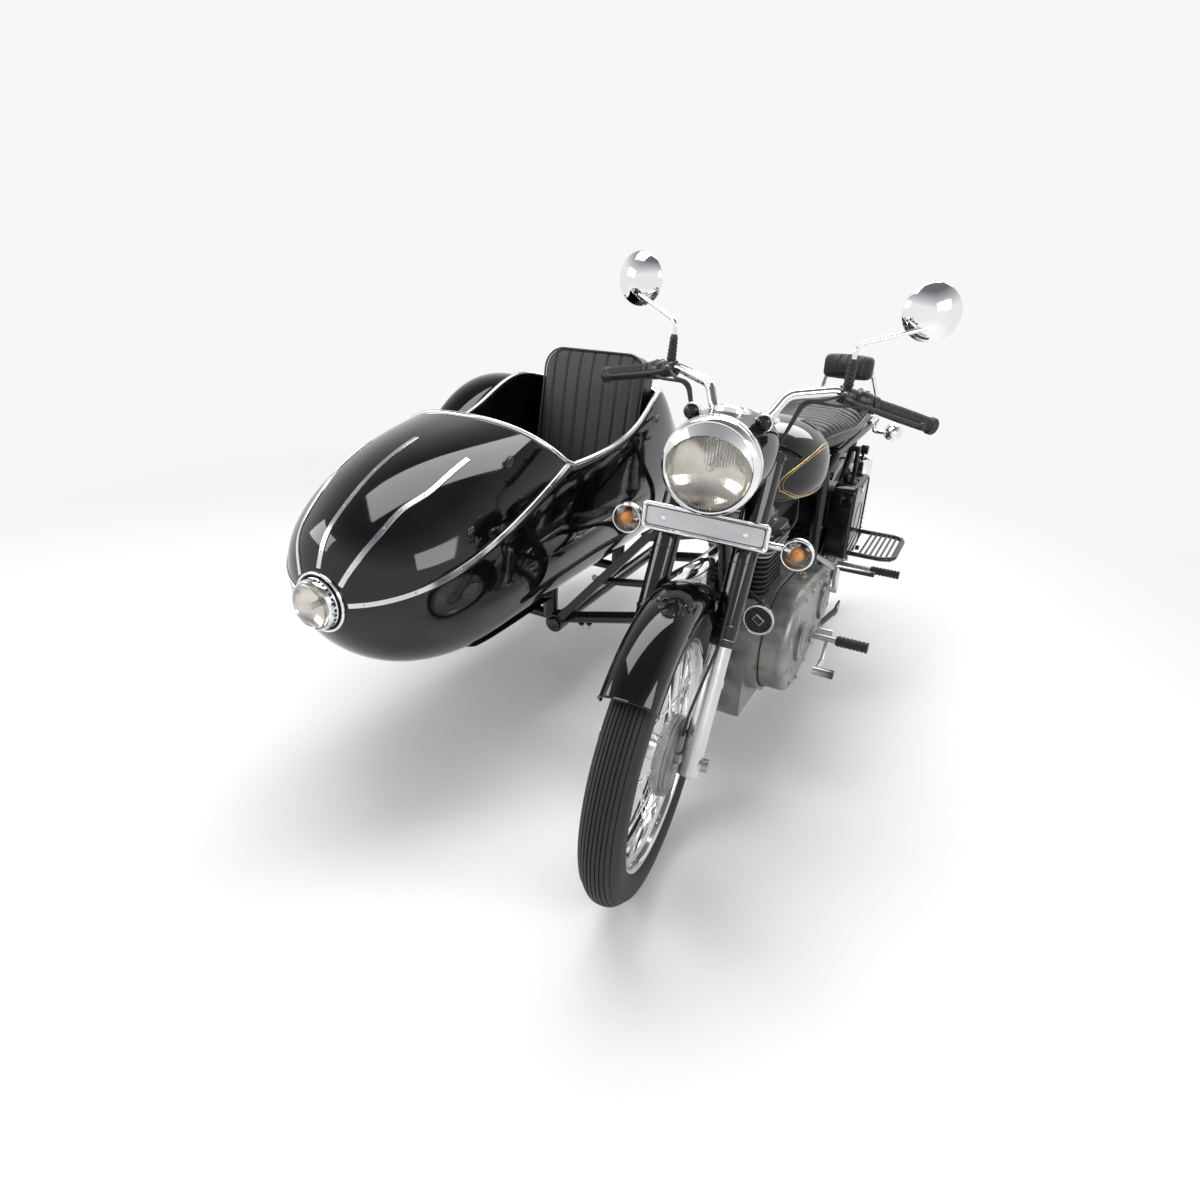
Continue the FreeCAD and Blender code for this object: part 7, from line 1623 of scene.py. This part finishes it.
# Tall leaning back and flat base of the sidecar's seat, pleated upright and piped at the back's edge
LEAN = math.radians(12.0)
LEAN_UP = v3(0, math.sin(LEAN), math.cos(LEAN))
LEAN_AHEAD = v3(0, -math.cos(LEAN), math.sin(LEAN))
BACK_HALF, BACK_RISE, BACK_CORNER = 182.0, 276.5, 62.0
BACK_MIDDLE = v3(HULL_X, 946, 424) + LEAN_UP * (BACK_RISE + 4)
BACK_INSETS = ((-40, 10), (-38, 5), (-33, 1.5), (-25, 0), (0, 0), (25, 0), (33, 1.5), (38, 5), (41, 10))
BASE_INSETS = ((396, 10), (399, 4), (404, 1), (412, 0), (470, 0), (490, 1), (502, 5), (508, 12))
PLEAT = 47.0


def back_outline(depth, inset, corner, count):
    return [BACK_MIDDLE + X * a + LEAN_UP * b + LEAN_AHEAD * depth
            for a, b in rounded_rect(BACK_HALF - inset, BACK_RISE - inset, corner, count)]


def near_edge(p):
    """True within ten millimetres of the seat back's outline."""
    spot = p - BACK_MIDDLE
    side, rise = abs(spot.x) - (BACK_HALF - BACK_CORNER), abs(spot.dot(LEAN_UP)) - (BACK_RISE - BACK_CORNER)
    outer = math.hypot(max(side, 0.0), max(rise, 0.0)) + min(max(side, rise), 0.0)
    return BACK_CORNER - outer < 10.0


def back_pleats(p, n):
    facing = n.dot(LEAN_AHEAD) - 0.4
    if facing < 0 or abs(p.x - HULL_X) >= 168:
        return 0.0
    return channel(p.x - HULL_X, PLEAT, 5.0, 2.6) * min(1.0, facing * 2.5)


def base_pleats(p, n):
    return channel(p.x - HULL_X, PLEAT, 4.0, 2.8) * max(0.0, n.z) if abs(p.x - HULL_X) < 170 else 0.0


back_rows = [back_outline(depth, inset, BACK_CORNER, 12) for depth, inset in BACK_INSETS]
cushion("sidecar_back_cushion", "sidecar_seat_back", back_rows, 8.0, 0.006, back_pleats, near_edge)


@drawn("sidecar_back_piping")
def back_piping(kit):
    kit.tube("piping", back_outline(38, 0, 64, 14), 3.4, 10, closed=True)


base_rows = [[v3(HULL_X + a, 725 + b, z) for a, b in rounded_rect(194 - inset, 158 - inset, 46, 10)]
             for z, inset in BASE_INSETS]
cushion("sidecar_base_cushion", "sidecar_seat_base", base_rows, 7.0, 0.006, base_pleats)


@drawn("floor_mat")
def floor_mat(kit):
    """Ribbed rubber mat on the sidecar's floor."""
    rows = []
    for i, y in enumerate(even(150, 530, 61)):
        low = hull.section(y)[1] + 26 + (1.6 if i % 2 else 0.0)
        rows.append([v3(HULL_X + x, y, low + 18 * (abs(x) / 150) ** 4) for x in even(-150, 150, 25)])
    kit.grid("mat", rows, closed=False)
